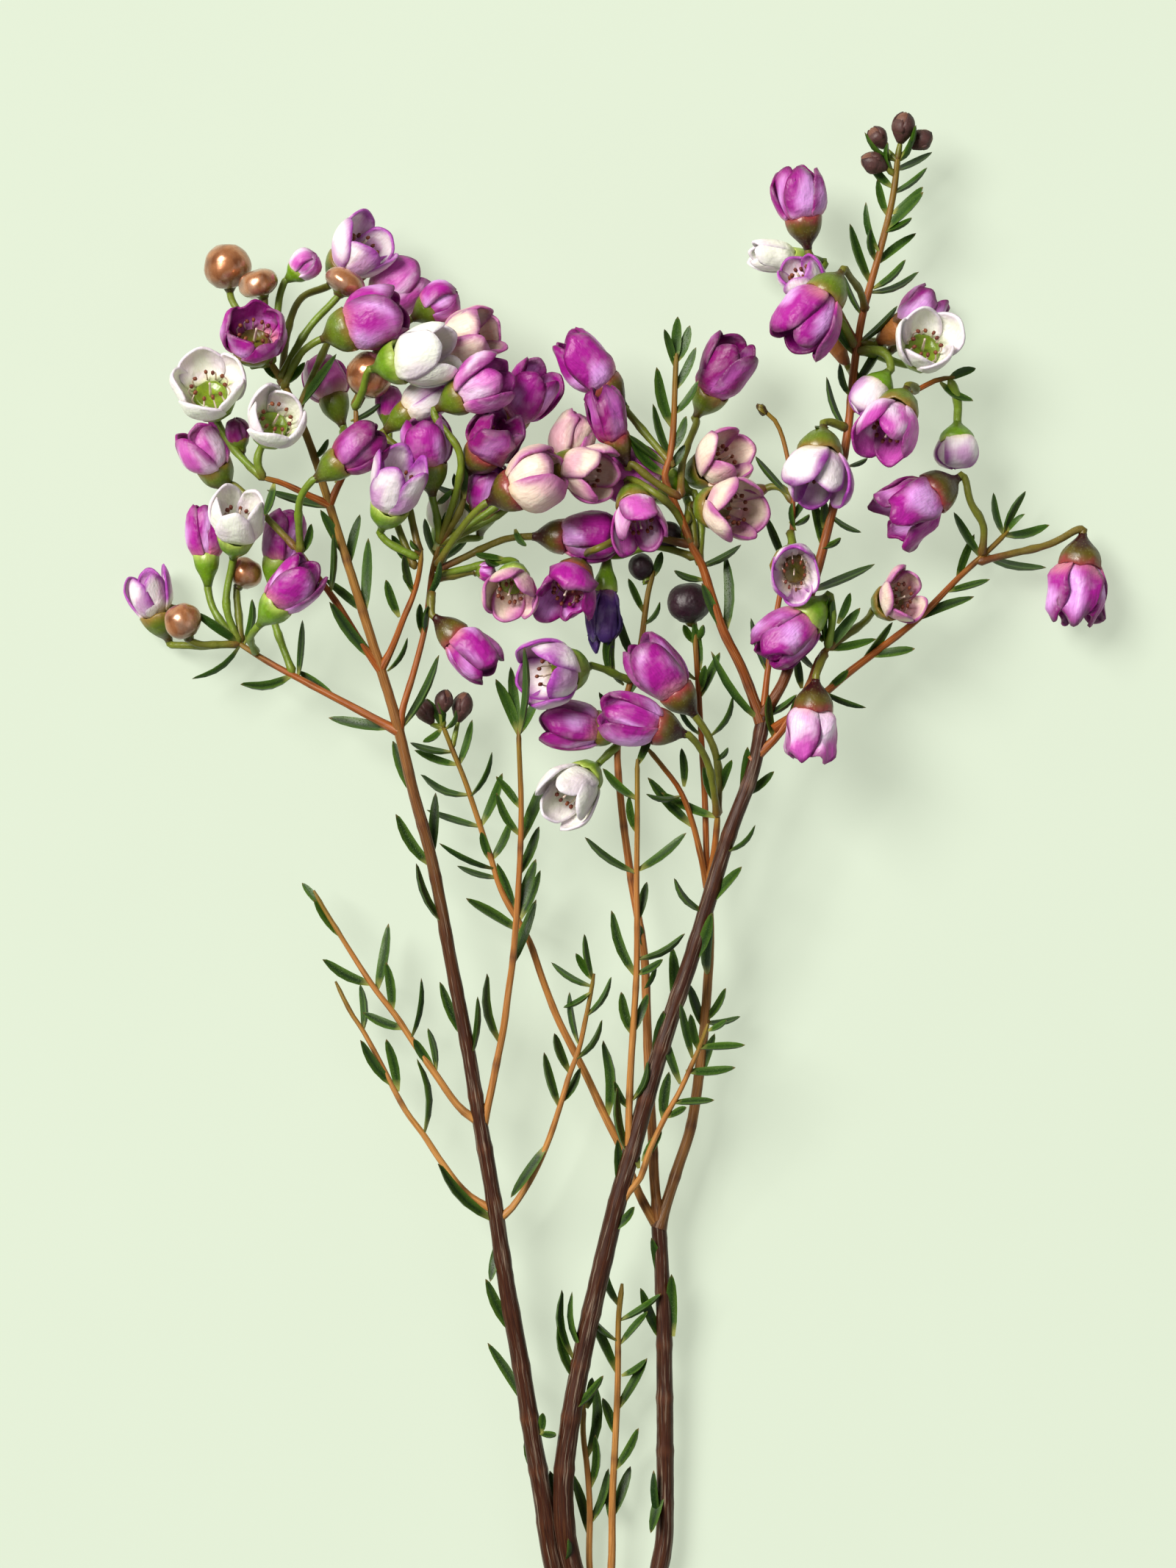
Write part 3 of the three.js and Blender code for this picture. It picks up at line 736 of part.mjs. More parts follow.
/** Five petals standing round a flat floor, as one body. */
function corolla({ middle, facing, across, length, open }) {
  const u = sideOf(facing).clone().addScaledVector(facing, -sideOf(facing).dot(facing)).normalize();
  const v = facing.clone().cross(u);
  const foot = middle.clone().addScaledVector(facing, -length / 2);
  const vertices = [];
  const triangles = [];
  const place = (angle, radius, height) => {
    const out = u.clone().multiplyScalar(Math.cos(angle)).addScaledVector(v, Math.sin(angle));
    return vertices.push(foot.clone().addScaledVector(out, radius).addScaledVector(facing, height)) - 1;
  };
  const quad = (a, b, c, d) => triangles.push([a, b, c], [a, c, d]);
  const outerFeet = [];
  const innerFeet = [];
  for (let k = 0; k < PETALS; k++) {
    const centre = (2 * Math.PI * k) / PETALS + PETAL_START;
    // Each station's corners: outer left and right, inner left and right.
    const corners = PETAL_STATIONS.map(({ height, radius, half, inset, lift }) => {
      const h = length * (height[0] + height[1] * open);
      const r = (across / 2) * (radius[0] + radius[1] * open);
      return [
        place(centre - half, r, h),
        place(centre + half, r, h),
        place(centre - half, r - inset, h + lift),
        place(centre + half, r - inset, h + lift),
      ];
    });
    for (let i = 0; i < corners.length - 1; i++) {
      const [a, b, e, f] = corners[i];
      const [c, d, g, h] = corners[i + 1];
      quad(a, b, d, c);
      quad(f, e, g, h);
      quad(e, a, c, g);
      quad(b, f, h, d);
    }
    const [a, b, e, f] = corners.at(-1);
    quad(a, b, f, e);
    outerFeet.push(corners[0][0], corners[0][1]);
    innerFeet.push(corners[0][2], corners[0][3]);
  }
  const n = outerFeet.length;
  for (let k = 1; k < n; k += 2) {
    quad(outerFeet[k], outerFeet[(k + 1) % n], innerFeet[(k + 1) % n], innerFeet[k]);
  }
  for (let k = 1; k < n - 1; k++) {
    triangles.push([outerFeet[0], outerFeet[k + 1], outerFeet[k]]);
    triangles.push([innerFeet[0], innerFeet[k], innerFeet[k + 1]]);
  }
  return solid(vertices, triangles);
}

// ---------------------------------------------------------------- the part

/** Flattens whatever reaches under the floor, where the spray rests on it. */
function onFloor(body) {
  if (body.boundingBox().min[2] >= 0) return body;
  const block = new THREE.BoxGeometry(...FLOOR_BLOCK).translate(0, 0, -FLOOR_BLOCK[2] / 2);
  const corners = block.getAttribute("position");
  const triangles = Array.from(block.index.array).map((n) => [n]);
  const vertices = Array.from({ length: corners.count }, (_, i) => vec().fromBufferAttribute(corners, i));
  return body.subtract(solid(vertices, triangles));
}

/** A solid as a named mesh, in the part's own frame. */
function meshOf(name, body, finish) {
  const { vertProperties, triVerts } = body.getMesh();
  const geometry = new THREE.BufferGeometry();
  geometry.setAttribute("position", new THREE.BufferAttribute(new Float32Array(vertProperties), 3));
  geometry.setIndex(new THREE.BufferAttribute(new Uint32Array(triVerts), 1));
  geometry.computeVertexNormals();
  const mesh = new THREE.Mesh(geometry, finish);
  mesh.name = name;
  mesh.position.set(-CENTRE_X, -CENTRE_Y, 0);
  return mesh;
}

const part = new THREE.Group();
part.name = "waxflower_stem";
part.add(meshOf("leafy_stem", onFloor(plant()), FINISHES.plant));
for (const flower of flowers) {
  const finish = FINISHES[flower.tone].clone();
  part.add(meshOf(`corolla_${flower.name}`, onFloor(corolla(flower)), finish));
}

export default part;
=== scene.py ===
"""A cut stem of waxflower, lying down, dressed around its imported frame.

Lengths are millimetres in the plant's own layout: x across, y from the cut end to the flowers,
z up from the ground. A finished mesh moves into the frame, which is in metres. Every vertex
carries two attributes: grain, its place in millimetres in the straightened piece, which the
patterns follow, and tint, its own colour, with the age of the bark as alpha.
"""

import json
import logging
import math
import random
from dataclasses import dataclass, field
from enum import Enum
from typing import Callable, Sequence

import bmesh
import bpy
from bmesh.types import BMEdge, BMesh, BMVert
from mathutils import Matrix, Vector, noise


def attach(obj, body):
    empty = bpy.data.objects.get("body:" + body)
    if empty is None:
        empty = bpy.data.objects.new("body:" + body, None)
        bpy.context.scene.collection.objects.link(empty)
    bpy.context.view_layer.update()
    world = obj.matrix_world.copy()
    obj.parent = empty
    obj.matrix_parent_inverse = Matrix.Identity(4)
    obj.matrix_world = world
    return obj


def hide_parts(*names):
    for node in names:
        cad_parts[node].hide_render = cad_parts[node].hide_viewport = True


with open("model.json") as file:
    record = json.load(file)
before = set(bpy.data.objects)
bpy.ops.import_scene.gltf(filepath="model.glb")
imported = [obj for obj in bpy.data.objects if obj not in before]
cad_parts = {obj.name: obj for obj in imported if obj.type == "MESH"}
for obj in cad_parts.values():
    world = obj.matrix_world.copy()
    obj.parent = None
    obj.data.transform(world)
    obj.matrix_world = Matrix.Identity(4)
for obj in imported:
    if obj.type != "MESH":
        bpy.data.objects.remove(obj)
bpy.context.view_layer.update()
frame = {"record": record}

LOG = logging.getLogger("waxflower")
Colour = tuple[float, float, float]
Socket = bpy.types.NodeSocket
BOX_CENTRE = (4.5, 138.95)
TO_FRAME = Matrix.Scale(0.001, 4) @ Matrix.Translation((-BOX_CENTRE[0], -BOX_CENTRE[1], 0.0))
FULL_TURN = 2 * math.pi
PETALS = 5
STAMENS = 10
CALYX_LENGTH = 4.8
CALYX_GAP = 0.3
STALK_RADIUS = 0.6
NOISE_SEED = 7
noise.seed_set(NOISE_SEED)

# The layout follows the frame's solids: heights, and where the leaves spring, are rounded from theirs.

# Each stem: name, radius at its root and at its tip, and the points of its line.
STEMS = (
    ("trunk", 2.6, 2.2, (
        (2, 0, 2.1), (2, 10, 2.3), (2.3, 20, 3), (2.2, 27, 3.8),
    )),
    ("left", 1.65, 0.55, (
        (2, 17, 3.2), (-0.5, 26, 4), (-4, 34, 5), (-6, 41, 6), (-7.3, 50, 7), (-9, 60, 8), (-10.7, 71, 9),
        (-13.2, 85, 10), (-15.3, 99, 11), (-17.9, 114, 12), (-19.7, 125, 12.5), (-22.6, 140, 13),
        (-25.4, 155, 13.5), (-28.6, 167, 14), (-31.2, 178, 14.5), (-34, 187.3, 15), (-37, 197, 15.5),
        (-39.5, 205, 16), (-42.3, 214, 16.5), (-45.2, 223, 17), (-49, 232, 17), (-52, 237, 17),
    )),
    ("middle", 1.7, 1.1, (
        (2.2, 19, 3.4), (0.5, 28, 5), (-2, 37, 6.5), (-3.7, 45, 7.5), (-4, 54, 8.5), (-2.8, 64, 9.5),
        (-0.6, 76, 10.5), (2.5, 90, 12), (4.9, 100, 13), (7.7, 110, 13.5), (10.5, 120, 14), (13.6, 130, 14.5),
        (17, 140, 15), (20, 150, 15.5), (23.1, 160, 16), (26.8, 170, 16), (28.8, 180, 16),
    )),
    ("right", 1.5, 1.15, (
        (3, 16, 3), (6, 24, 3.2), (10, 33, 3.4), (12.4, 42, 3.8), (12.7, 50, 4.2), (12.7, 60, 4.8),
        (12.6, 70, 5.4), (12.5, 80, 6), (12, 90, 6.5), (11.5, 97, 7),
    )),
    ("thin", 0.7, 0.45, (
        (2.2, 25, 3.6), (3.3, 33, 4.3), (3.9, 40, 4.9), (4, 50, 5.8), (4.5, 60, 6.7), (4.9, 70, 7.6),
        (5, 80, 8.5), (5.6, 86, 9),
    )),
    ("short", 0.6, 0.45, (
        (2.2, 26, 3.7), (0.8, 34, 4), (0.2, 40, 4.3), (0.3, 48, 4.6), (-0.1, 55, 4.9), (-0.8, 61, 5.2),
        (-0.7, 66, 5.4),
    )),
    ("crown", 0.9, 0.5, (
        (28.5, 179, 16), (32, 185, 15.6), (34, 192, 15.3), (36, 198, 14.9), (38, 205, 14.5),
        (39.5, 211, 14.2), (40.7, 216, 13.9), (42.5, 226, 13.4), (43.5, 236, 12.9), (45, 245, 12.4),
        (48, 256, 11.8), (49.9, 264, 11.4), (50.8, 271, 11),
    )),
    ("inner", 0.9, 0.4, (
        (28.3, 178, 16), (25.2, 186.5, 16.3), (22, 193, 16.5), (20, 199, 16.7), (18.5, 203.7, 16.9),
        (17, 206.5, 17), (15.5, 210.5, 17.1), (14, 214, 17.2), (12.5, 218, 17.4), (13.3, 221, 17.5),
        (13.9, 226, 17.6), (14.2, 234, 17.9), (14.4, 238, 18),
    )),
    ("dead", 0.55, 0.35, (
        (28.5, 179, 16), (29.4, 187, 15.4), (31, 197, 14.6), (33, 207, 13.8), (33.5, 212, 13.5),
        (33.3, 217, 13.1), (32, 224, 12.5), (30.5, 227.5, 12.2), (28, 229.5, 12),
    )),
    ("side", 0.75, 0.6, (
        (26.6, 171.7, 16), (31, 176, 16.5), (36, 184, 17.3), (37.5, 188, 17.7), (39.5, 190.7, 18),
    )),
    ("reach", 0.7, 0.45, (
        (30.1, 176.8, 16.6), (38, 182.3, 14.9), (43, 186.5, 13.8), (47, 189.5, 13), (54, 195, 11.5),
        (61, 202, 9.8), (66.5, 207, 8.6), (69, 209.5, 8),
    )),
    ("spur", 0.5, 0.4, (
        (42.8, 229, 13.3), (48, 230.5, 12.9), (53, 232, 12.5), (57, 234, 12.2), (60, 234.5, 12),
    )),
    ("low_left", 0.85, 0.45, (
        (11.6, 96, 6.9), (10.9, 103, 7.1), (10.6, 110, 7.2), (10, 120, 7.4), (9.6, 132, 7.6), (9.2, 140, 7.8),
        (7, 153, 8), (5.2, 167, 8.3), (4.9, 175, 8.5), (6.5, 183, 8.6), (8.5, 190, 8.7), (9.8, 199, 8.9),
        (10.8, 203, 9),
    )),
    ("low_right", 0.95, 0.7, (
        (11.6, 95, 6.9), (14.8, 105, 7.1), (17, 112, 7.2), (18.8, 125, 7.5), (19.5, 133, 7.6), (20, 143, 7.8),
        (19.6, 152, 8),
    )),
    ("fork_a", 0.55, 0.4, (
        (19.6, 151, 8), (18.3, 157, 9.4), (17, 162, 10.6), (15, 167, 11.9), (12, 171, 13.1), (9.5, 174, 14),
    )),
    ("fork_b", 0.55, 0.45, (
        (19.6, 151, 8), (19.4, 158, 8.3), (19.2, 165, 8.6), (18.8, 172, 8.9), (18.2, 182, 9.4),
        (17.7, 190, 9.8), (17.5, 195, 10),
    )),
    ("fork_c", 0.6, 0.5, (
        (19.6, 151, 8), (20.7, 157, 9.9), (21.3, 163.5, 12),
    )),
    ("front", 0.65, 0.4, (
        (5.2, 101, 13.1), (6.5, 108, 13.8), (6.7, 115, 14.4), (7, 122, 15.1), (7.5, 130, 15.9),
        (7.9, 137, 16.6), (8, 145, 17.4), (7.9, 152, 18), (8, 160, 18.8), (8, 166, 19.4), (8, 172, 20),
    )),
    ("under", 0.75, 0.4, (
        (11.6, 95, 6.9), (9.7, 98, 7), (8, 101.5, 7.1), (5.5, 108, 7.4), (3, 113, 7.6), (0, 119.5, 7.8),
        (-2, 123.5, 8), (-5, 129.5, 8.2), (-7.5, 136, 8.4), (-9.8, 142.5, 8.7), (-14, 150, 9),
        (-16, 156, 9.2), (-18, 162, 9.4), (-20, 168, 9.6), (-22, 173, 9.8), (-24, 178, 10),
    )),
    ("fern_a", 0.65, 0.4, (
        (-17.4, 111, 11.8), (-16, 117, 12.3), (-15, 122, 12.7), (-13.8, 128, 13.2), (-13, 134, 13.6),
        (-12.3, 139, 14), (-11.7, 146, 14.6), (-11.3, 152, 15), (-11, 158, 15.5), (-10.9, 165, 16.1),
        (-11.2, 173, 16.7), (-11.3, 177, 17),
    )),
    ("fern_b", 0.6, 0.35, (
        (-14.9, 96.5, 10.8), (-12.5, 98.5, 11.1), (-9, 104, 11.6), (-6.5, 109.5, 12.1), (-4.5, 115.5, 12.7),
        (-3, 120.5, 13.1), (-1.5, 124.5, 13.4), (-0.5, 129, 13.8), (0.5, 134, 14.2), (1, 137, 14.5),
    )),
    ("fern_c", 0.6, 0.35, (
        (-15.2, 98, 10.9), (-20, 101, 10.4), (-24, 106, 9.9), (-27, 110.5, 9.4), (-30, 114.5, 9),
        (-34.5, 123, 8.2), (-37, 127.5, 7.8), (-39, 130.5, 7.5), (-41.5, 135.5, 7),
    )),
    ("fern_d", 0.65, 0.35, (
        (-17.6, 112.5, 11.9), (-21, 115, 11.6), (-25, 120.5, 11.2), (-28.5, 125.5, 10.8), (-31.5, 130, 10.5),
        (-35, 134.5, 10.2), (-38, 139, 9.8), (-43, 147, 9.2), (-45, 150.5, 9),
    )),
    ("fern_e", 0.6, 0.35, (
        (4.2, 97, 12.7), (6.5, 101, 13.5), (8.5, 103.5, 14.1), (10, 108, 14.9), (12.5, 113.5, 16),
        (15, 118, 16.9), (17, 122.5, 17.8), (18.5, 126, 18.4), (19.5, 129, 19),
    )),
    ("arm_low", 0.7, 0.45, (
        (-30.9, 176.5, 14.4), (-38, 180.3, 12.8), (-46, 184.5, 10.9), (-53, 188.3, 9.2), (-58, 191.5, 8),
    )),
    ("arm_mid", 0.65, 0.45, (
        (-33.8, 186.6, 15), (-37, 191, 15.4), (-41, 197.5, 16), (-45, 203, 16.6), (-48, 207, 17),
    )),
    ("arm_in", 0.6, 0.4, (
        (-33.8, 186.6, 15), (-32, 190, 15.7), (-30, 195, 16.8), (-28.5, 198.5, 17.5), (-27.5, 202, 18.2),
        (-27, 206, 19),
    )),
    ("arm_pale", 0.6, 0.4, (
        (-30.8, 176.2, 14.4), (-30.3, 180, 14.5), (-28.5, 186, 14.6), (-26.6, 193.5, 14.7),
        (-25.4, 202.7, 14.9), (-24, 208, 15),
    )),
    ("tip_left", 0.55, 0.45, (
        (-42.1, 213.4, 16.5), (-46, 215.2, 17), (-50, 217, 17.6), (-53.5, 217.9, 18),
    )),
    ("tip_right", 0.55, 0.4, (
        (-42.1, 213.4, 16.5), (-41, 216, 16.2), (-39.5, 219, 15.9), (-38.5, 223, 15.6), (-37.8, 227, 15.3),
        (-38, 230, 15),
    )),
)

# Each leaf: its root and its tip.
LEAVES = (
    (-8, 54, 7.4, -10.3, 60.5, 5.3), (-9.9, 65.7, 8.5, -16.5, 76, 5.9), (-11.9, 77.6, 9.5, -16.8, 86.8, 9.6),
    (-14.5, 93.6, 10.6, -16, 86.5, 11.4), (-14.9, 96.2, 10.8, -24.5, 106, 14.8),
    (-19.4, 122.9, 12.4, -18, 133.3, 16), (-19.9, 126.1, 12.5, -24.3, 135.5, 9.7),
    (-23.5, 145.1, 13.2, -28, 155, 16.5), (-25.5, 154.5, 13.5, -31.5, 163, 10.6),
    (-25.7, 155.4, 13.5, -25, 166.5, 9.1), (-28.2, 166.1, 14, -32, 175, 9.8),
    (-32, 177.1, 14.2, -42.5, 178.8, 10.2), (-30.6, 177, 14.4, -24.3, 189, 15.4),
    (-39, 203.5, 15.9, -37.3, 212, 12.9), (-36.5, 195.4, 15.4, -35.8, 208, 16.1),
    (-36.8, 196.2, 15.5, -43, 201.5, 12), (-34.8, 188.1, 15.1, -42, 197.5, 19.6),
    (-39.5, 205, 16, -43.5, 212.5, 18.7), (-42.1, 213.1, 16.5, -52.5, 216, 12.7),
    (-47.9, 228.5, 17, -41, 238, 16.4), (-50.5, 233.9, 17, -53, 236.5, 16.4),
    (-27, 110.6, 9.4, -28, 123, 11.6), (-31.2, 117.5, 8.8, -33, 126.2, 11.7),
    (-31.7, 118.2, 8.7, -37.3, 126, 10.7), (-37, 127.5, 7.8, -37.5, 135, 5.6),
    (-24.9, 121.1, 11.2, -26.2, 128, 11.8), (-25.4, 121.6, 11.2, -28.5, 126.3, 12.9),
    (-29.1, 126.3, 10.8, -27.3, 136.2, 11.6), (-30.2, 127.9, 10.7, -37, 130.4, 7.4),
    (-32.1, 130.5, 10.5, -33, 138.8, 12.2), (-34.6, 134.1, 10.2, -32.8, 145, 6.6),
    (-35.4, 135.1, 10.1, -43.5, 139.2, 10.2), (-40.2, 142.7, 9.6, -45, 149, 9.2),
    (-43.3, 147.7, 9.2, -47, 151.7, 7.3), (-41.4, 182.1, 11.9, -47.5, 186.5, 8.7),
    (-47.5, 185.4, 10.5, -46.8, 194.8, 10.3), (-48.3, 185.9, 10.3, -56.8, 184.2, 13.1),
    (-56.6, 190.7, 8.3, -55, 198.2, 11), (-57.1, 191, 8.2, -65, 185.2, 8.6),
    (-57.1, 191, 8.2, -64.5, 196.2, 10.2), (-42.1, 198.9, 16.2, -41.5, 208.5, 18.3),
    (-46.8, 205.4, 16.8, -45, 210.3, 17.4), (-30.8, 195.2, 16.8, -33, 201.3, 14.1),
    (-28, 203.2, 18.4, -32, 208.5, 16.6), (-51.1, 216.9, 17.7, -52.5, 211.5, 19.7),
    (-38.7, 227.2, 15.2, -33.5, 230.5, 13.5), (-41.2, 217, 16.2, -35, 224.5, 16.9),
    (-14.3, 125.5, 13, -16.5, 137, 13.8), (-12.6, 138.1, 14, -8.5, 149, 10.2),
    (-11.7, 146, 14.6, -8.5, 155.7, 14.9), (-11.4, 153, 15.1, -8, 161, 12.1),
    (-11, 159.5, 15.6, -15, 166.5, 15.2), (-11, 158.5, 15.6, -6, 170.5, 10.7),
    (-11, 164, 16, -15, 169.2, 15.1), (-11.3, 176, 16.9, -15, 185, 18), (-11.3, 176, 16.9, -12.6, 187, 16.6),
    (-11.3, 176, 16.9, -10.2, 190, 31), (-11.3, 176, 16.9, -8, 182.5, 13.9), (3.1, 113, 7.6, 2.5, 126, 12.3),
    (-11.1, 143.8, 8.7, -20, 149.2, 9), (-14.8, 152.6, 9.1, -21.5, 154.5, 7.4),
    (-15.3, 154.1, 9.1, -24.3, 158.3, 13.6), (-17.7, 161, 9.4, -26.5, 163.7, 7.2),
    (-19.5, 166.2, 9.6, -27.5, 169.5, 7), (-21.4, 171.1, 9.7, -28.5, 173.5, 8),
    (-15.8, 155.5, 9.2, -12.6, 162, 10.2), (-17.6, 161, 9.4, -14, 169.7, 12),
    (-19.4, 165.9, 9.6, -15.7, 173.2, 12.9), (-21.3, 170.9, 9.7, -19, 178.5, 8.8),
    (-23.4, 176.5, 9.9, -26.5, 182, 8.3), (-6.8, 108.9, 12.1, -12.6, 100.5, 15.1),
    (-4.7, 115.2, 12.6, -7.2, 124, 10.6), (-4.5, 115.8, 12.7, -1.2, 121.5, 11.5),
    (-2.1, 123, 13.3, 2.3, 129.5, 15.5), (-1.5, 125.6, 13.5, -3, 134, 14.8),
    (-0.5, 130, 13.9, 3.8, 136.5, 15.7), (0.6, 135, 14.3, -6, 138.8, 13), (0.8, 136, 14.4, -2, 140.3, 14.5),
    (0.8, 136, 14.4, -0.6, 143.5, 16.1), (8.3, 105.2, 14.3, 7, 112, 14.1),
    (8.9, 106.3, 14.5, 12, 111.5, 15.5), (12.3, 113, 15.9, 13.2, 121, 15),
    (13.7, 116.1, 16.5, 20.5, 116.6, 19.4), (15, 119.2, 17.1, 12, 128.3, 13),
    (15.9, 121.2, 17.5, 24, 121.8, 17.7), (17, 123.4, 17.9, 15, 132.3, 19.3),
    (17.7, 125.1, 18.2, 25.5, 125.6, 20.6), (19, 127.8, 7.5, 16.5, 135.2, 9.1),
    (19.1, 128.8, 7.6, 25, 129.8, 8.6), (19.1, 129, 7.6, 22.6, 134.5, 10.4), (7.3, 127, 15.6, 5.4, 134, 13.9),
    (7.4, 127.5, 15.7, 9.8, 133.8, 16), (7.9, 136.5, 16.5, 3.8, 147.3, 14.1),
    (7.9, 137, 16.6, 12.2, 139.4, 17.8), (7.9, 139.5, 16.8, 15.8, 143.6, 16.6),
    (7.9, 145.5, 17.4, 9.6, 152, 16.5), (7.9, 153.5, 18.2, -0.5, 159.3, 21.2),
    (7.9, 153.8, 18.2, 16, 160, 17.3), (7.9, 160, 18.8, 6.6, 166, 18.2), (8, 165.5, 19.4, 2.4, 170.5, 16.2),
    (8, 171, 19.9, 10.5, 177.5, 18), (-1.7, 69.9, 10, -5, 79.5, 12.2), (-0.7, 74.9, 10.5, -2.6, 85, 13.4),
    (11.2, 121.9, 14.1, 12.3, 131, 15.8), (14.1, 131.5, 14.6, 13.8, 141.3, 12),
    (19.1, 147, 15.3, 14, 152.6, 18.3), (19.4, 148, 15.4, 25, 154.5, 18.4),
    (16.4, 138.5, 14.9, 20.2, 147, 18.4), (25.1, 166.1, 16, 30.4, 170, 13.5), (25.1, 166, 16, 26, 174, 17),
    (28.3, 178.1, 16, 20, 189.5, 19.7), (28.6, 179.1, 16, 34, 182.5, 16.9), (-3.2, 46.1, 7.6, -6.3, 55, 6.1),
    (0.2, 44, 4.5, -2.6, 54.3, 2.8), (0.2, 46, 4.6, 3.4, 55, 2.7), (4, 46, 5.5, 3.2, 54.5, 1.8),
    (4.1, 47.5, 5.6, 7, 55.5, 4), (4.2, 55, 6.3, 8.3, 62.3, 9.2), (4.5, 61, 6.8, 2.4, 67, 6.4),
    (4.7, 65, 7.1, 9.7, 73.8, 9.2), (4.9, 71, 7.7, 0, 81.5, 8.4), (5.2, 76, 8.1, 9.8, 81.5, 9.4),
    (5.3, 80, 8.5, 12, 84.3, 8.1), (5.4, 82, 8.6, 2, 91.5, 8.1), (12.5, 76, 5.8, 8.6, 85.2, 8.1),
    (12.3, 84, 6.2, 10.4, 93.5, 8.8), (-0.2, 57, 5, 1.2, 69.5, 2.7), (12.7, 50, 4.2, 12.3, 58.5, 5.6),
    (12.7, 54, 4.5, 10.3, 45, 8.3), (17.7, 118, 7.3, 20.8, 127, 8.7), (21.2, 162.5, 11.7, 12, 166.5, 10.3),
    (17.1, 161, 10.4, 9.8, 169, 10.2), (8, 188, 8.7, 5, 195.6, 7.8), (5.5, 175.9, 8.5, 1.8, 183, 8.6),
    (18.6, 176, 9.1, 14.8, 181, 11.3), (18.2, 182, 9.4, 21.6, 189.5, 10.6),
    (18.1, 203.4, 16.9, 25, 207, 14.3), (22.3, 192.3, 16.5, 22.5, 205.5, 13.3),
    (14.4, 218.2, 17.4, 6.7, 224.7, 19.4), (14.3, 218.7, 17.4, 15.8, 223.2, 16.6),
    (13.8, 220.6, 17.4, 10.6, 230, 14.3), (13.5, 222, 17.5, 16, 227.8, 18.1),
    (13.7, 226, 17.6, 11.2, 236, 13.8), (13.8, 228, 17.7, 18, 233.6, 17.4),
    (14.1, 232, 17.8, 17.6, 239, 17.6), (14.3, 235.5, 17.9, 12.4, 241.8, 19.9),
    (14.3, 237, 18, 14.6, 244, 17.6), (14.3, 236.5, 18, 16.6, 242.6, 16.9),
    (38.3, 206.5, 14.5, 36.6, 215, 13.3), (36.3, 199.5, 14.8, 47, 204, 9.9),
    (39.6, 212, 14.2, 44.6, 209, 14.7), (42.4, 225.5, 13.4, 39, 234.5, 12.6),
    (43.2, 232.5, 13.1, 49.5, 243, 11), (43.8, 238, 12.8, 39.6, 245, 14), (44.1, 240, 12.7, 50.5, 246, 14.4),
    (45.1, 244.4, 12.4, 42, 251, 12.1), (46.1, 248.4, 12.2, 54.3, 252, 8.5),
    (46.4, 249.5, 12.2, 42.8, 259.5, 13), (47.2, 253, 12, 53.8, 258.3, 9.1),
    (48.4, 258.5, 11.7, 54.7, 264.5, 15.1), (48.9, 261.1, 11.5, 47.4, 267, 10.5),
    (49.6, 264.6, 11.3, 55.5, 268.8, 11.8), (49.8, 265.6, 11.3, 46, 270.5, 9.1),
    (50.3, 268.5, 11.1, 56.5, 271.7, 8), (59, 234.2, 12.1, 63.5, 236, 11),
    (57.6, 233.7, 12.2, 63, 230.6, 12.3), (33, 210.5, 13.6, 36.8, 216.5, 12.9),
    (32.1, 204.1, 14.1, 29, 212, 11.9), (32.9, 215.3, 13.2, 27.3, 221.4, 15.3),
    (38.4, 183.1, 14.8, 45.3, 180.4, 16.6), (36.8, 186.7, 17.6, 33.3, 191, 15.1),
    (45.9, 188.9, 13.2, 53.3, 190, 15.8), (44.8, 188, 13.4, 49.8, 194.4, 12.9),
    (53, 194.6, 11.7, 63.3, 198.7, 9.5), (58.6, 199.5, 10.4, 65.7, 201.4, 12.3),
    (60.5, 201.3, 10, 63.5, 209, 6.9), (64.5, 205.1, 9.1, 60, 212.5, 9.4),
    (65.1, 205.7, 8.9, 75.5, 203.6, 4.6), (68.3, 208.8, 8.2, 66.6, 215.8, 7.3),
    (68.3, 208.8, 8.2, 71.8, 216, 9), (68.3, 208.8, 8.2, 76, 210.6, 4.8),
    (38.9, 189.9, 17.9, 39.2, 198.6, 21.3), (38.9, 189.9, 17.9, 44.3, 196.6, 17.8),
    (38.9, 189.9, 17.9, 47, 191.6, 15), (29.5, 185.9, 15.5, 26.6, 195, 15),
)

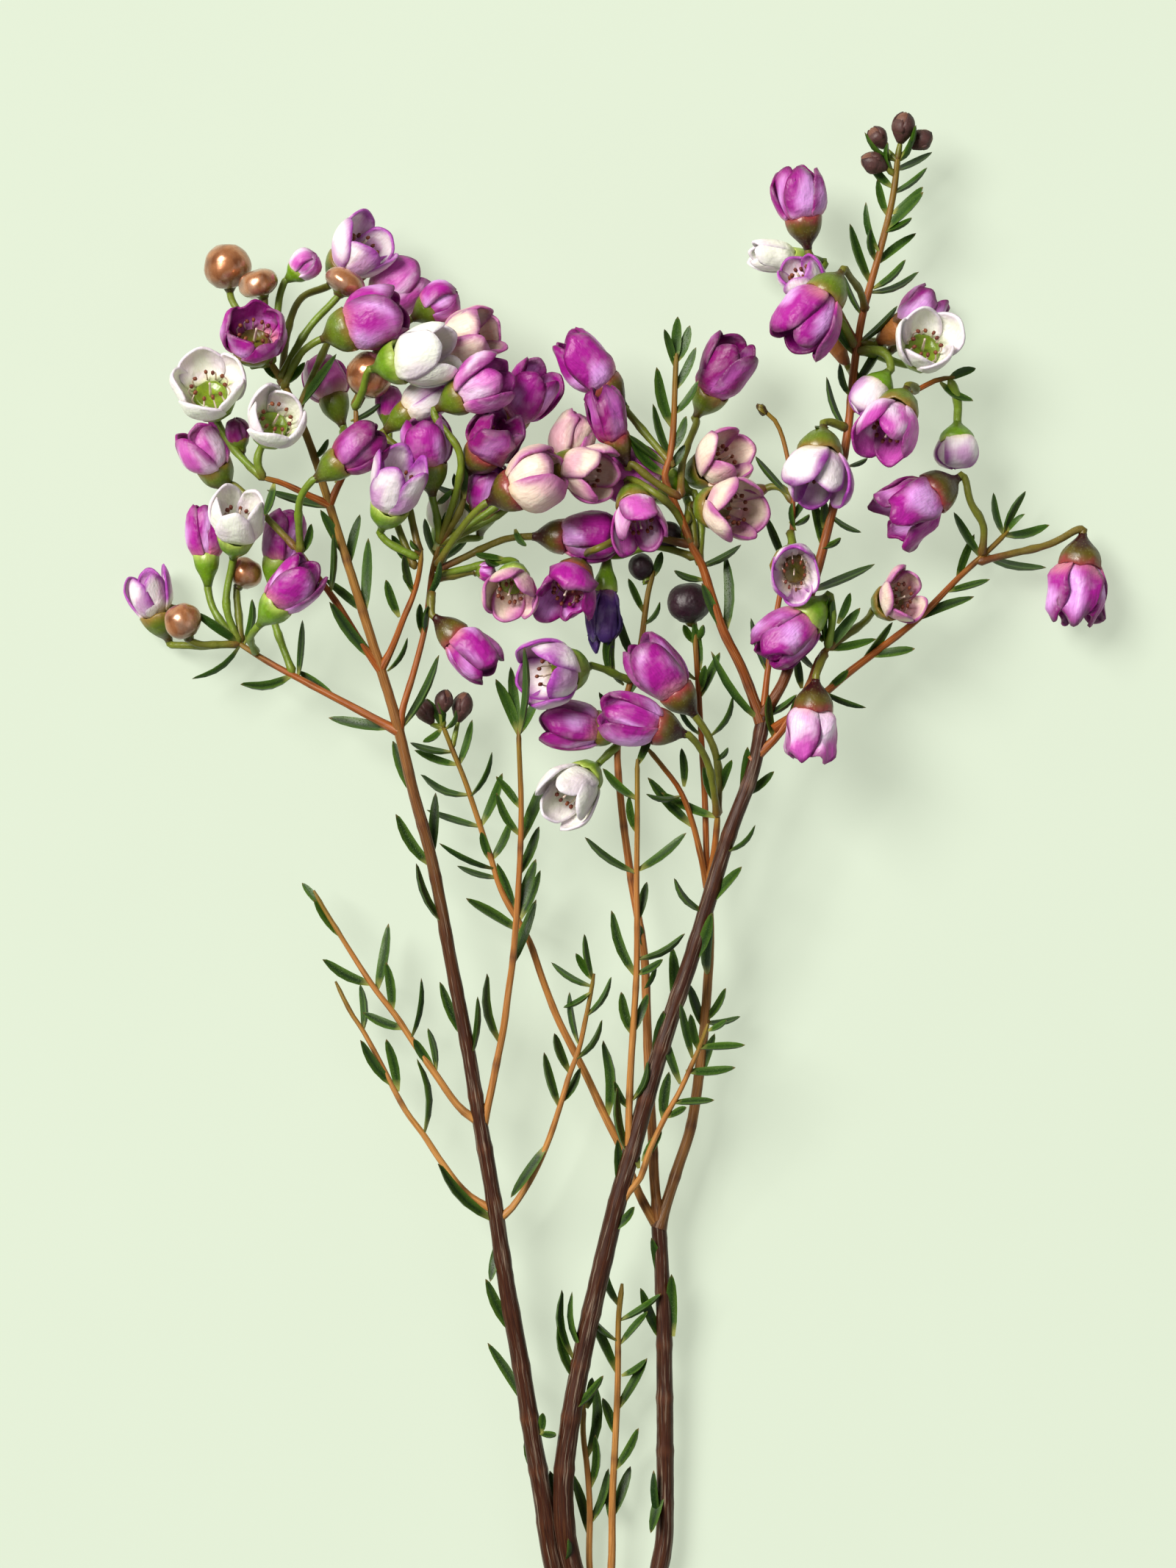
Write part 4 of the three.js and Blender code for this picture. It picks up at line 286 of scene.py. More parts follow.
# Each flower: name, middle, width, length, turn and lift of its axis, openness, look, calyx and stalk.
FLOWERS = (
    ("L01", (-37, 255.5, 11.7), 11, 7.5, (45, 30), 0.8, "lilac", "olive",
     ((-50, 232.8, 17), (-49, 243, 12.2), (-46.8, 248.4, 9.4))),
    ("L03", (-54, 241, 24), 11, 6, (85, 55), 0.65, "orchid", "olive",
     ((-51.6, 236.1, 17), (-52.4, 237.6, 17.2))),
    ("L04", (-34.5, 243.5, 21), 11, 9, (21, 5), 0.5, "orchid", "olive",
     ((-49.7, 232.2, 17), (-46.5, 238.8, 19.2))),
    ("L05", (-31, 249.5, 6.9), 10, 8, (40, -8), 0.6, "rose", "wine",
     ((-47.6, 227.9, 17), (-43.5, 238, 12.6), (-40, 245.4, 9.3))),
    ("L07", (-61.5, 232.3, 21), 12, 6, (98, 60), 0.85, "snow", "lime",
     ((-52.6, 217.5, 17.9), (-57.4, 222, 16))),
    ("L08", (-50.3, 226.8, 27), 10.5, 6, (55, 62), 0.8, "snow", "lime",
     ((-52.6, 217.5, 17.9), (-54.4, 220.4, 18.8))),
    ("L09", (-62.8, 223, 11.7), 9, 7, (118, 20), 0.5, "rose", "olive",
     ((-47.4, 206.2, 16.9), (-54, 213, 11.7), (-59, 218, 9.6))),
    ("L11", (-43, 234.4, 8), 7.5, 7, (110, -15), 0.4, "rose", "olive",
     ((-39.9, 222.3, 15.7), (-40, 227, 10.7))),
    ("L12", (-26.2, 237.4, 24), 11, 9, (14, 18), 0.7, "snow", "lime", ((-38.2, 229, 15.1), (-36, 233, 19))),
    ("L13", (-26, 231, 17), 7, 8, (38, 10), 0.3, "lilac", "olive",
     ((-27.3, 205.1, 18.8), (-29.5, 215, 17.2), (-30.4, 223, 16))),
    ("L14", (-19, 240.8, 15.4), 10, 8, (20, 28), 0.55, "shell", "olive",
     ((-38.2, 229, 15.1), (-32, 238, 12.4))),
    ("L15", (-16.8, 232.6, 25), 9, 8, (27, 20), 0.45, "rose", "olive",
     ((-24.2, 207, 15), (-20.4, 221.4, 22.7))),
    ("L16", (-9.6, 231.8, 16), 9, 9, (55, 20), 0.7, "orchid", "olive",
     ((-24.2, 207, 15), (-20.8, 213.4, 13.5), (-19.6, 219.6, 12.9))),
    ("L18", (-36.8, 222.3, 24), 8, 8, (34, 5), 0.35, "plum", "olive",
     ((-46.8, 205.4, 16.8), (-47, 214, 21.1))),
    ("L19", (-26.2, 223.4, 20), 9, 7.5, (96, 10), 0.4, "orchid", "olive",
     ((-24.2, 207, 15), (-24.6, 212.5, 17.4))),
    ("L20", (-15, 224, 22.8), 9.5, 6.5, (50, 30), 0.6, "plum", "wine", ((-24.2, 207, 15), (-20, 214, 18.6))),
    ("L21", (-16.4, 216.4, 15.5), 7.5, 7.5, (80, 30), 0.3, "orchid", "olive",
     ((-24.3, 206.6, 15), (-19.5, 208.6, 12.1))),
    ("L22", (-30.6, 216.6, 25), 9.5, 9.5, (68, 35), 0.7, "lilac", "lime",
     ((-27.5, 204.6, 18.7), (-32, 206.8, 19.1))),
    ("L23", (-63, 209.5, 6), 6.5, 8, (93, 0), 0.3, "orchid", "lime", ((-57.1, 191, 8.2), (-61.5, 196, 6.9))),
    ("L24", (-57, 211.4, 16), 9.3, 7.5, (80, 42), 0.7, "snow", "lime", ((-57.1, 191, 8.2), (-59.6, 197, 9))),
    ("L25", (-50, 208.6, 9), 7.5, 8, (78, 5), 0.3, "orchid", "lime",
     ((-48.3, 185.9, 10.3), (-51.7, 195, 8.9))),
    ("L26", (-47.6, 200.4, 19.9), 8.5, 8.5, (48, 15), 0.55, "orchid", "lime",
     ((-54.3, 189.3, 8.9), (-55.4, 191.4, 12.8))),
    ("L27", (-72, 199.4, 4.6), 9.5, 7, (110, 12), 0.75, "lilac", "olive",
     ((-57.1, 191, 8.2), (-64, 190.6, 5.2), (-68.8, 191, 3.1))),
    ("L28", (-18.6, 189, 18), 8, 8, (-44, 10), 0.4, "orchid", "wine",
     ((-25.5, 199.9, 14.9), (-25.8, 197, 15.8))),
    ("M01", (-0.6, 236.8, 15.4), 9, 9.5, (132, 8), 0.4, "orchid", "wine",
     ((14, 219.6, 17.4), (9, 225.5, 15.6), (5.4, 230, 14.2))),
    ("M02", (3.1, 228, 19.7), 6.5, 8, (112, 10), 0.3, "plum", "wine",
     ((15.1, 214.5, 17.2), (10, 217.5, 18.5), (6.4, 221, 19.1))),
    ("M03", (7.5, 218.5, 12.6), 10, 9.5, (163, 0), 0.35, "rose", "lime",
     ((18, 203.6, 16.9), (18.6, 211, 14.3), (17.4, 214.6, 13))),
    ("M04", (0.3, 218.3, 21.8), 9.5, 7.5, (-15, 35), 0.65, "shell", "olive",
     ((-24.2, 207, 15), (-15, 213, 18.3), (-9, 218, 17.1))),
    ("M05", (-2.6, 224.6, 14), 7.5, 7, (65, 0), 0.2, "shell", "olive",
     ((-24.2, 207, 15), (-15, 211.6, 14.5), (-7.6, 217, 14.1))),
    ("M06", (-8.3, 217.2, 25.1), 10.5, 8, (25, 15), 0.35, "shell", "wine",
     ((-24.9, 203.3, 14.9), (-20.5, 209.6, 19.4))),
    ("M07", (8.3, 210.4, 23.1), 9, 7.5, (-75, 40), 0.8, "rose", "olive",
     ((17, 206.5, 17), (14.6, 212, 17.2), (11, 215, 22.5))),
    ("M08", (0.2, 208.4, 13.6), 8.5, 8.5, (0, 5), 0.4, "orchid", "wine",
     ((-25, 202.7, 14.9), (-20, 205, 14.2), (-13, 208.4, 13.2))),
    ("M09", (-12.5, 199.2, 20), 8.5, 6, (262, 55), 0.75, "shell", "lime",
     ((-25.1, 201.9, 14.9), (-18, 203.5, 14.1), (-12.6, 204.8, 13.5))),
    ("M10", (-3.5, 199, 20.4), 10, 7, (245, 45), 0.65, "orchid", "wine",
     ((16.9, 206.8, 17), (8, 208.6, 16.6), (1.6, 206, 24.1))),
    ("M11", (2.6, 195.4, 12), 6, 8.5, (267, 5), 0.3, "wilted", "lime",
     ((17.6, 204.8, 16.9), (10, 207, 14), (4.4, 204.6, 11.7))),
    ("M13", (-6.4, 186, 20), 11, 7.5, (190, 40), 0.62, "lilac", "lime",
     ((7.3, 184.9, 8.6), (5.4, 185.4, 10.2))),
    ("M14", (-3, 177.4, 13), 8.5, 9, (176, 5), 0.35, "orchid", "olive",
     ((5.5, 176.1, 8.5), (4.2, 176.4, 9.8))),
    ("M15", (-3, 166.4, 17), 9.5, 9, (226, 48), 0.65, "snow", "lime",
     ((5.1, 174.4, 8.4), (3.8, 173.4, 10.2))),
    ("M16", (6.8, 178.6, 22), 9, 9, (164, 8), 0.4, "orchid", "wine",
     ((21.2, 162.5, 11.7), (19.6, 171.6, 17.2), (17.4, 175, 19.6))),
    ("M17", (11.3, 187, 15), 9, 10, (128, 8), 0.35, "orchid", "wine",
     ((21.2, 162.5, 11.7), (21.4, 171, 12.6), (19.8, 176, 13.2))),
    ("M18", (22, 221, 13), 9.5, 7.5, (30, 38), 0.75, "shell", "olive",
     ((16, 210.4, 17.1), (16.6, 214, 12.3))),
    ("M19", (23.6, 212.5, 21), 10.5, 7.5, (-8, 42), 0.75, "shell", "olive",
     ((17.2, 206, 17), (17.4, 210, 15.9))),
    ("M20", (22.6, 236, 12), 9, 9.5, (58, 22), 0.55, "plum", "olive",
     ((15.1, 214.6, 17.2), (15.4, 221, 13.4), (18.4, 228.4, 8.7))),
    ("M21", (-22.6, 212.6, 6.5), 7.5, 6.5, (80, -10), 0.3, "snow", "lime",
     ((-24.8, 203.5, 14.9), (-24.6, 204.6, 10.4))),
    ("R01", (34.6, 264.4, 12), 9, 8, (99, 5), 0.4, "orchid", "wine",
     ((44, 239.6, 12.7), (39.6, 248, 11.9), (36.6, 254, 11.3))),
    ("R02", (30.4, 254.8, 6), 5.5, 7, (175, 18), 0.35, "snow", "lime",
     ((44, 239.6, 12.7), (39.6, 247, 7.8), (37.4, 252, 4.7))),
    ("R03", (34.8, 250.4, 17), 8, 5, (120, 30), 0.75, "lilac", "wine",
     ((43.9, 239, 12.7), (40.6, 245, 13.1))),
    ("R04", (35.6, 243, 25), 10.5, 9.5, (235, 10), 0.4, "orchid", "olive",
     ((45.4, 245.3, 12.4), (44, 249, 18.2), (41.8, 250.4, 22))),
    ("R05", (55, 246, 3.8), 8, 7, (52, 0), 0.5, "orchid", "olive", ((44.1, 240.2, 12.7), (48.6, 240.6, 6.3))),
    ("R06", (55, 239.5, 17), 10, 6, (60, 68), 0.85, "snow", "lime", ((43.9, 239, 12.7), (49.5, 237.4, 10.8))),
    ("R08", (48.6, 225.3, 24), 10.5, 8, (245, 32), 0.7, "rose", "olive",
     ((53.1, 232.3, 12.5), (54.2, 231.8, 14.7))),
    ("R10", (52.6, 213, 15), 11, 9, (212, 8), 0.85, "orchid", "wine",
     ((64.5, 205.2, 9), (65, 211, 11.5), (62, 213.8, 13.2))),
    ("R11", (37.2, 218, 20), 11, 8, (262, 22), 0.6, "lilac", "olive",
     ((42.4, 226, 13.4), (40.6, 226.6, 14.9))),
    ("R12", (33.4, 202, 24.8), 11.5, 4, (270, 62), 0.8, "lilac", "olive",
     ((32.9, 209.4, 13.7), (33.3, 208, 15.4))),
    ("R13", (32.2, 191.6, 20.9), 9.5, 9, (226, 8), 0.4, "orchid", "lime",
     ((38.9, 189.9, 17.9), (40, 195.6, 19), (39.2, 198, 19.5))),
    ("R14", (36.2, 176, 21), 9.5, 8, (265, 0), 0.45, "rose", "wine",
     ((38.7, 189.5, 17.9), (37.6, 187.4, 19.4))),
    ("R15", (51, 198.4, 17), 9, 6.5, (25, 58), 0.8, "shell", "olive",
     ((38.9, 189.9, 17.9), (46.5, 195.4, 10.8))),
    ("R16", (80.4, 199.4, 6), 10.5, 9.5, (264, 2), 0.55, "orchid", "wine",
     ((63.7, 204.3, 9.2), (70, 205.9, 7.9), (77, 207.6, 6.5))),
)

# Each bud or cap: kind, middle, width, length, turn and lift of its axis, and stalk.
BUDS = (
    ("violet", (-25.3, 246, 12.6), 6.6, 8, (30, 0), ((-38.2, 229, 15.1), (-34, 240, 13.5))),
    ("pink", (46.6, 231.8, 18), 6.6, 8.4, (235, 10), ((43.9, 238.6, 12.7), (48, 239, 15.1))),
    ("green", (-46.8, 252, 16), 5, 6, (40, 10), ((-51.6, 236.1, 17), (-50.6, 244, 16.1))),
    ("purple", (-57, 224.6, 15.3), 4, 5.5, (100, 10), ((-52.6, 217.5, 17.9), (-55.6, 220, 15.9))),
    ("violet", (-32.6, 229.4, 12), 4.4, 7, (90, 5),
     ((-28.1, 202.9, 18.3), (-32, 213, 15.3), (-32.4, 221, 13.1))),
    ("violet", (-17, 202.6, 14), 3.2, 3.4, (0, 10), ((-25.2, 201.5, 14.9), (-21, 202, 14.1))),
    ("pink", (60.4, 223.6, 11), 7.2, 7.6, (268, 5), ((59, 234.2, 12.1), (60.8, 231.5, 11.5))),
    ("cap", (-59, 252.6, 12), 7.8, 7.4, (95, 10), ((-51.6, 236.1, 17), (-57, 245, 13.1), (-59, 248, 11.7))),
    ("cap", (-53.6, 249.4, 18), 6.6, 4.6, (110, 10), ((-51.6, 236.1, 17), (-53, 243.6, 17.4))),
    ("cap", (-39.4, 249.6, 17.4), 7, 4.4, (60, 0), ((-50.4, 233.6, 17), (-45, 243, 17.3))),
    ("cap", (-35.6, 234.6, 16), 7.6, 7.4, (60, 30), ((-38.2, 229, 15.1), (-37.4, 231, 14.4))),
    ("cap", (-56.2, 202.6, 7), 5.6, 5, (60, 0), ((-57.1, 191, 8.2), (-57.4, 197, 7.4))),
    ("cap", (-66.4, 194.6, 11), 6.2, 5.8, (110, 10), ((-57.1, 191, 8.2), (-63.6, 190.6, 9.9))),
    ("dark", (16.6, 197.6, 10.6), 7.2, 6.6, (95, 10), ((17.6, 194, 10),)),
    ("dark", (8.8, 203.6, 8.6), 4.2, 4.4, (110, 0), ((10.5, 201.6, 9),)),
    ("dark", (12.8, 208.6, 14), 4.8, 5.2, (180, 0), ((16.7, 207.2, 17),)),
    ("amber", (41.2, 239, 9), 3.6, 6, (120, 0), ((43.5, 235, 12.9),)),
    ("amber", (49.3, 241.4, 12), 4.8, 5, (30, 20), ((44.2, 240.4, 12.6),)),
    ("husk", (27.6, 215.8, 11), 3.6, 4, (200, 0),
     ((33.5, 213.6, 13.3), (32.4, 216.6, 12.2), (30.6, 217.2, 11.5))),
    ("tip", (51.6, 275.6, 11.6), 3.8, 4.7, (80, 10), ((50.6, 270, 11.1),)),
    ("tip", (47.4, 274, 10), 3.4, 3.6, (125, 0), ((50.6, 270, 11.1),)),
    ("tip", (54.8, 273.6, 10), 3.6, 3.8, (35, 0), ((50.6, 270, 11.1),)),
    ("tip", (46.6, 269.6, 12), 3.8, 4.2, (160, 10), ((50.2, 267.6, 11.2),)),
    ("tip", (-26.8, 180, 8), 3.2, 4.2, (120, -10), ((-23.6, 177.1, 10),)),
    ("tip", (-23.6, 181.6, 11), 3, 3.8, (80, 10), ((-23.6, 177.1, 10),)),
    ("tip", (-20.6, 180.8, 9), 3.4, 4.6, (75, 0), ((-22.3, 173.6, 9.8),)),
)

# Each leaf that the frame's solids leave out: its root and its tip across the layout.
SMALL_LEAVES = (
    (-44.5, 221, -42.2, 224), (-49.5, 233, -46, 236.5), (-2.5, 65.5, 2.5, 71.3), (3.8, 95, 7.6, 99),
    (22.6, 157, 27.2, 161.3), (6.7, 115, 4.2, 119.5), (0.4, 134, -4, 131.5), (-28.5, 199, -30, 205),
    (5.6, 100, 4.8, 110), (47.7, 255, 45.4, 263), (6.2, 182, 10, 187.5), (-3, 120.8, -5.5, 127.3),
    (49.6, 270, 45.2, 274.4), (51.2, 270.5, 53.6, 275.6), (50, 268, 49, 272.8), (51, 270, 52.6, 273.4),
    (-24, 177, -27, 174.8), (-23.4, 177, -21.6, 180), (-24, 177.4, -24.6, 181.4), (-24.5, 213.6, -22, 215.8),
    (-26, 205.9, -26.6, 211.2), (-25.2, 206.1, -22.9, 212.4), (-24.6, 204.5, -19.4, 208.5),
    (-27.2, 206.1, -28.8, 207.5), (-20.1, 214.3, -20.1, 220.7), (-13.7, 204.8, -18.5, 205.4),
    (-13.2, 201.6, -16.8, 204.5), (5.6, 196.4, 6.6, 201.6), (9.1, 194.1, 11.8, 197.8),
    (17.6, 185.1, 11.8, 191.8), (8.2, 188.6, 11, 191.5), (5.9, 184.2, 3.6, 188.3), (3.5, 186, 2.9, 192.2),
    (4.3, 186, 4.2, 192), (18.3, 183.1, 19.2, 187.4), (15.7, 167.5, 15.3, 173.8), (14.3, 165.6, 9.5, 166.3),
    (12.4, 220.1, 6.6, 224.6), (49.8, 261.3, 54.7, 265.4), (48.5, 258.3, 52.9, 260.4),
    (47, 253.6, 46.1, 258.6), (46.6, 249, 51.9, 253.6), (42.8, 231.4, 41, 236.5), (38.5, 223.7, 36.9, 226),
    (42.5, 219.9, 45.6, 221.1), (38.4, 209.7, 38.5, 214.4), (34, 209.4, 33.3, 213.9),
    (37.8, 206.5, 41.2, 208), (40.6, 194, 42.6, 199), (69, 209.4, 71.6, 212.2), (53, 194.8, 53.3, 197.4),
    (-11.9, 146.5, -14.9, 155), (-16.2, 155.6, -17.5, 160.1), (-10.4, 145.9, -7.8, 153.8),
    (9.1, 134.1, 11.1, 138.6), (9.4, 141, 8.5, 144.8), (7.2, 116.4, 9.8, 122.8), (6.6, 107.5, 4.7, 118.5),
    (18.1, 124.5, 16.6, 130.6), (20, 175.9, 23.6, 182.3), (20.8, 171.9, 22.9, 173.9),
    (21.6, 166.5, 23.5, 171.9), (21.5, 164.2, 18.8, 170.9), (30.4, 175.2, 29.3, 182.5),
    (34.8, 183.5, 34, 188.6), (38.4, 184.6, 42.4, 186.5), (33.1, 179.2, 34.4, 182.2),
    (19.6, 136.6, 20.1, 145.6), (19.5, 127.9, 22.5, 129.6), (18.3, 186.5, 17.3, 194.5),
    (-23.3, 172.8, -29.1, 174.7), (-7.9, 61.5, -5.2, 61.4), (-7.7, 61.5, -7.4, 64.9),
    (-2.4, 73.9, -4.3, 85.3), (1.5, 52.5, 1.2, 60.9), (-0.2, 65.2, 0.7, 70.5), (4.7, 76.7, -0.2, 81.5),
    (5.5, 70.8, 9.6, 73.6), (11.6, 46.6, 10.8, 55.2), (-3.8, 40.4, -3.3, 44.4), (13.7, 113.5, 16, 115.4),
    (14, 77.1, 13.7, 87.5), (-27, 198.8, -24, 204.4), (-28, 199.5, -30.1, 202), (-32.8, 186.4, -29.4, 191.8),
    (-28.1, 192.3, -27.4, 197.3), (-26.5, 192.6, -26, 197), (-20.2, 215, -21.8, 218.6),
    (-20.5, 215.6, -24.8, 216.6), (-20.5, 214.2, -18.4, 212.1), (-6.2, 209.1, -5.4, 210.6),
    (-11.9, 209.6, -10.1, 206.7), (22.1, 192.9, 18.5, 200.6), (15.5, 200.1, 14, 202.6),
    (12, 202.2, 12.1, 206), (7.2, 186, 6.1, 188.9), (16.7, 191.4, 15.6, 194), (18.1, 191.8, 18.8, 194),
    (40.1, 194, 39.7, 197.8), (38.2, 191.1, 36.7, 193.8), (34.7, 210.4, 36.1, 211.8),
)


# ---- numbers and lines


def rgb(red: float, green: float, blue: float) -> Colour:
    """A linear colour from display values of 0 to 255."""
    return tuple(((c / 255 + 0.055) / 1.055) ** 2.4 for c in (red, green, blue))


def fade(a: Colour, b: Colour, t: float) -> Colour:
    """A colour between a, at a t of 0, and b, at a t of 1."""
    t = min(max(t, 0.0), 1.0)
    return tuple(p + (q - p) * t for p, q in zip(a, b))


def ease(low: float, high: float, value: float) -> float:
    """A smooth step that leaves 0 at low and reaches 1 at high."""
    t = min(max((value - low) / (high - low), 0.0), 1.0)
    return t * t * (3 - 2 * t)


def hump(offset: float, width: float) -> float:
    """A smooth hump, 1 in its middle."""
    return math.exp(-((offset / width) ** 2))


def heading(turn: float, lift: float) -> Vector:
    """A unit vector from its degrees of turn, from +x towards +y, and of lift above the ground."""
    t, up = math.radians(turn), math.radians(lift)
    return Vector((math.cos(t) * math.cos(up), math.sin(t) * math.cos(up), math.sin(up)))


def curve(stops: Sequence[tuple[float, ...]], t: float) -> Vector:
    """A point on a smooth line through unevenly spaced points.

    Args:
        stops: Points, each with its own t first.
        t: Where the line is read.

    Returns:
        The point, without its t.
    """
    i = 0
    while i < len(stops) - 2 and t > stops[i + 1][0]:
        i += 1
    knots = [stops[max(i - 1, 0)], stops[i], stops[i + 1], stops[min(i + 2, len(stops) - 1)]]
    p0, p1, p2, p3 = (Vector(k[1:]) for k in knots)
    t0, t1, t2, t3 = (k[0] for k in knots)
    gap = t2 - t1
    slope_1 = (p2 - p0) / max(t2 - t0, 1e-6) * gap
    slope_2 = (p3 - p1) / max(t3 - t1, 1e-6) * gap
    u = min(max((t - t1) / gap, 0.0), 1.0)
    return (
        p1 * (2 * u**3 - 3 * u**2 + 1)
        + slope_1 * (u**3 - 2 * u**2 + u)
        + p2 * (3 * u**2 - 2 * u**3)
        + slope_2 * (u**3 - u**2)
    )


def level(stops: Sequence[tuple[float, float]], t: float) -> float:
    """A value on a smooth line through stops of a position and a value each."""
    return curve([(*stop, 0.0) for stop in stops], t)[0]


def smooth_line(points: Sequence[Sequence[float]], step: float) -> list[Vector]:
    """A smooth line through points, as evenly spaced stations.

    Args:
        points: The points it passes.
        step: About how far apart the stations are.

    Returns:
        The stations.
    """
    places = [Vector(p) for p in points]
    stops = [(0.0, *places[0])]
    for a, b in zip(places, places[1:]):
        if (b - a).length > 0.05:
            stops.append((stops[-1][0] + (b - a).length, *b))
    count = max(3, round(stops[-1][0] / step))
    return [curve(stops, stops[-1][0] * k / count) for k in range(count + 1)]


def relaxed(line: Sequence[Vector], passes: int) -> list[Vector]:
    """A line with its kinks eased out. Its first point and its last two stay.

    Args:
        line: The points.
        passes: How often each inner point moves towards its neighbours.

    Returns:
        The points.
    """
    for _ in range(passes):
        inner = [b / 2 + (a + c) / 4 for a, b, c in zip(line, line[1:], line[2:])]
        line = [line[0], *inner[:-1], *line[-2:]]
    return list(line)


def stations(line: Sequence[Vector]) -> list[Matrix]:
    """Frames along a line that turn as little as they can, each with its z axis along the line.

    Args:
        line: The line's points.

    Returns:
        One placing matrix for each point.
    """
    frames = []
    side = Vector((1.0, 0.0, 0.0))
    for k, place in enumerate(line):
        along = (line[min(k + 1, len(line) - 1)] - line[max(k - 1, 0)]).normalized()
        if abs(side.dot(along)) > 0.95:
            side = Vector((0.0, 1.0, 0.0))
        side = (side - along * side.dot(along)).normalized()
        up = along.cross(side)
        frames.append(Matrix.Translation(place) @ Matrix((side, up, along)).transposed().to_4x4())
    return frames


def facing_frame(place: Vector, facing: Vector, spin: float) -> Matrix:
    """A placing matrix with its z axis along facing, turned on it by spin radians."""
    turn = facing.to_track_quat("Z", "Y").to_matrix().to_4x4()
    return Matrix.Translation(place) @ turn @ Matrix.Rotation(spin, 4, "Z")


def rounded(stops: Sequence[tuple[float, float, float]], count: int) -> list[tuple[float, float]]:
    """A smooth profile of radius and height, from stops that each have their own position first."""
    line = [curve(stops, k / count) for k in range(count + 1)]
    return [(max(p[0], 0.0), p[1]) for p in line]


def on_disc(corner: Vector) -> tuple[float, float]:
    """A corner of a square grid of half-width 1, moved onto a disc of radius 1."""
    return corner.x * math.sqrt(1 - corner.y**2 / 2), corner.y * math.sqrt(1 - corner.x**2 / 2)


# ---- mesh work


def blank() -> BMesh:
    """An empty mesh with the two attributes.

    Returns:
        The mesh.
    """
    bm = bmesh.new()
    bm.verts.layers.float_vector.new("grain")
    bm.verts.layers.float_color.new("tint")
    return bm


def marks(bm: BMesh) -> tuple:
    """The layers of a mesh that hold its grain and its tint."""
    return bm.verts.layers.float_vector["grain"], bm.verts.layers.float_color["tint"]


def stain(bm: BMesh, rule: Callable[[Vector], tuple[float, ...]]) -> None:
    """Colours a mesh by its grain.

    Args:
        bm: The mesh.
        rule: The linear colour, with or without an alpha, at a grain position.
    """
    grain, tint = marks(bm)
    for v in bm.verts:
        shade = rule(v[grain])
        v[tint] = (*shade, 1.0) if len(shade) == 3 else shade


def note_grain(bm: BMesh, offset: Vector) -> None:
    """Records where every vertex now stands as its grain.

    Args:
        bm: The mesh.
        offset: Added, so that no two pieces share a pattern.
    """
    grain, _ = marks(bm)
    for v in bm.verts:
        v[grain] = v.co + offset


def next_ring(bm: BMesh, edges: Sequence[BMEdge]) -> tuple[list[BMVert], list[BMEdge]]:
    """Extrudes a ring of edges in place.

    Args:
        bm: The mesh.
        edges: The ring.

    Returns:
        The new ring's corners and edges.
    """
    made = bmesh.ops.extrude_edge_only(bm, edges=edges)["geom"]
    ring = [g for g in made if isinstance(g, BMVert)]
    fresh = set(ring)
    return ring, [g for g in made if isinstance(g, BMEdge) and fresh.issuperset(g.verts)]


def tube(line: Sequence[Vector], radii: Sequence[float], sides: int, start: float = 0.0) -> BMesh:
    """A closed tube along a line, extruded ring by ring. Its grain is x and y round it and z along it.

    Args:
        line: Its stations.
        radii: Its radius at each station.
        sides: How many sides it has.
        start: Added to the grain along it.

    Returns:
        The mesh.
    """
    bm = blank()
    grain, _ = marks(bm)
    frames = stations(line)
    width = max(radii)
    ring = bmesh.ops.create_circle(bm, cap_ends=True, radius=1.0, segments=sides)["verts"]
    for v in ring:
        v[grain] = (v.co.x * width, v.co.y * width, start)
    here = frames[0] @ Matrix.Scale(radii[0], 4)
    bmesh.ops.transform(bm, matrix=here, verts=ring)
    edges = bm.edges[:]
    travelled = 0.0
    for k in range(1, len(line)):
        ring, edges = next_ring(bm, edges)
        there = frames[k] @ Matrix.Scale(radii[k], 4)
        bmesh.ops.transform(bm, matrix=there @ here.inverted(), verts=ring)
        here = there
        travelled += (line[k] - line[k - 1]).length
        for v in ring:
            v[grain] = (v[grain].x, v[grain].y, start + travelled)
    bmesh.ops.holes_fill(bm, edges=edges, sides=sides)
    bmesh.ops.recalc_face_normals(bm, faces=bm.faces)
    return bm


def moved(bm: BMesh, matrix: Matrix) -> BMesh:
    """A whole mesh, moved by a matrix."""
    bmesh.ops.transform(bm, matrix=matrix, verts=bm.verts)
    return bm


def thicken(bm: BMesh, sample: int, thickness: float) -> None:
    """Gives a sheet that stands round the z axis a thickness, with its faces pointing away from the axis.

    Args:
        bm: The sheet.
        sample: The number of the face whose side is looked at.
        thickness: How thick it gets.
    """
    bmesh.ops.recalc_face_normals(bm, faces=bm.faces)
    face = bm.faces[sample]
    if face.normal.dot(face.calc_center_median() * Vector((1, 1, 0))) < 0:
        bmesh.ops.reverse_faces(bm, faces=bm.faces)
    bmesh.ops.solidify(bm, geom=bm.faces[:], thickness=thickness)


def spun(profile: Sequence[tuple[float, float]], segments: int) -> BMesh:
    """A body spun from a profile about its z axis.

    Args:
        profile: Radius and height of each point, from the foot up.
        segments: How many parts go round.

    Returns:
        The mesh, with its grain noted.
    """
    bm = blank()
    corners = [bm.verts.new((radius, 0.0, height)) for radius, height in profile]
    edges = [bm.edges.new(pair) for pair in zip(corners, corners[1:])]
    bmesh.ops.spin(
        bm, geom=corners + edges, cent=(0, 0, 0), axis=(0, 0, 1), dvec=(0, 0, 0),
        angle=FULL_TURN, steps=segments, use_merge=True,
    )
    bmesh.ops.remove_doubles(bm, verts=bm.verts, dist=1e-4)
    rims = [e for e in bm.edges if e.is_boundary]
    if rims:
        bmesh.ops.holes_fill(bm, edges=rims, sides=segments)
    bmesh.ops.recalc_face_normals(bm, faces=bm.faces)
    note_grain(bm, Vector())
    return bm


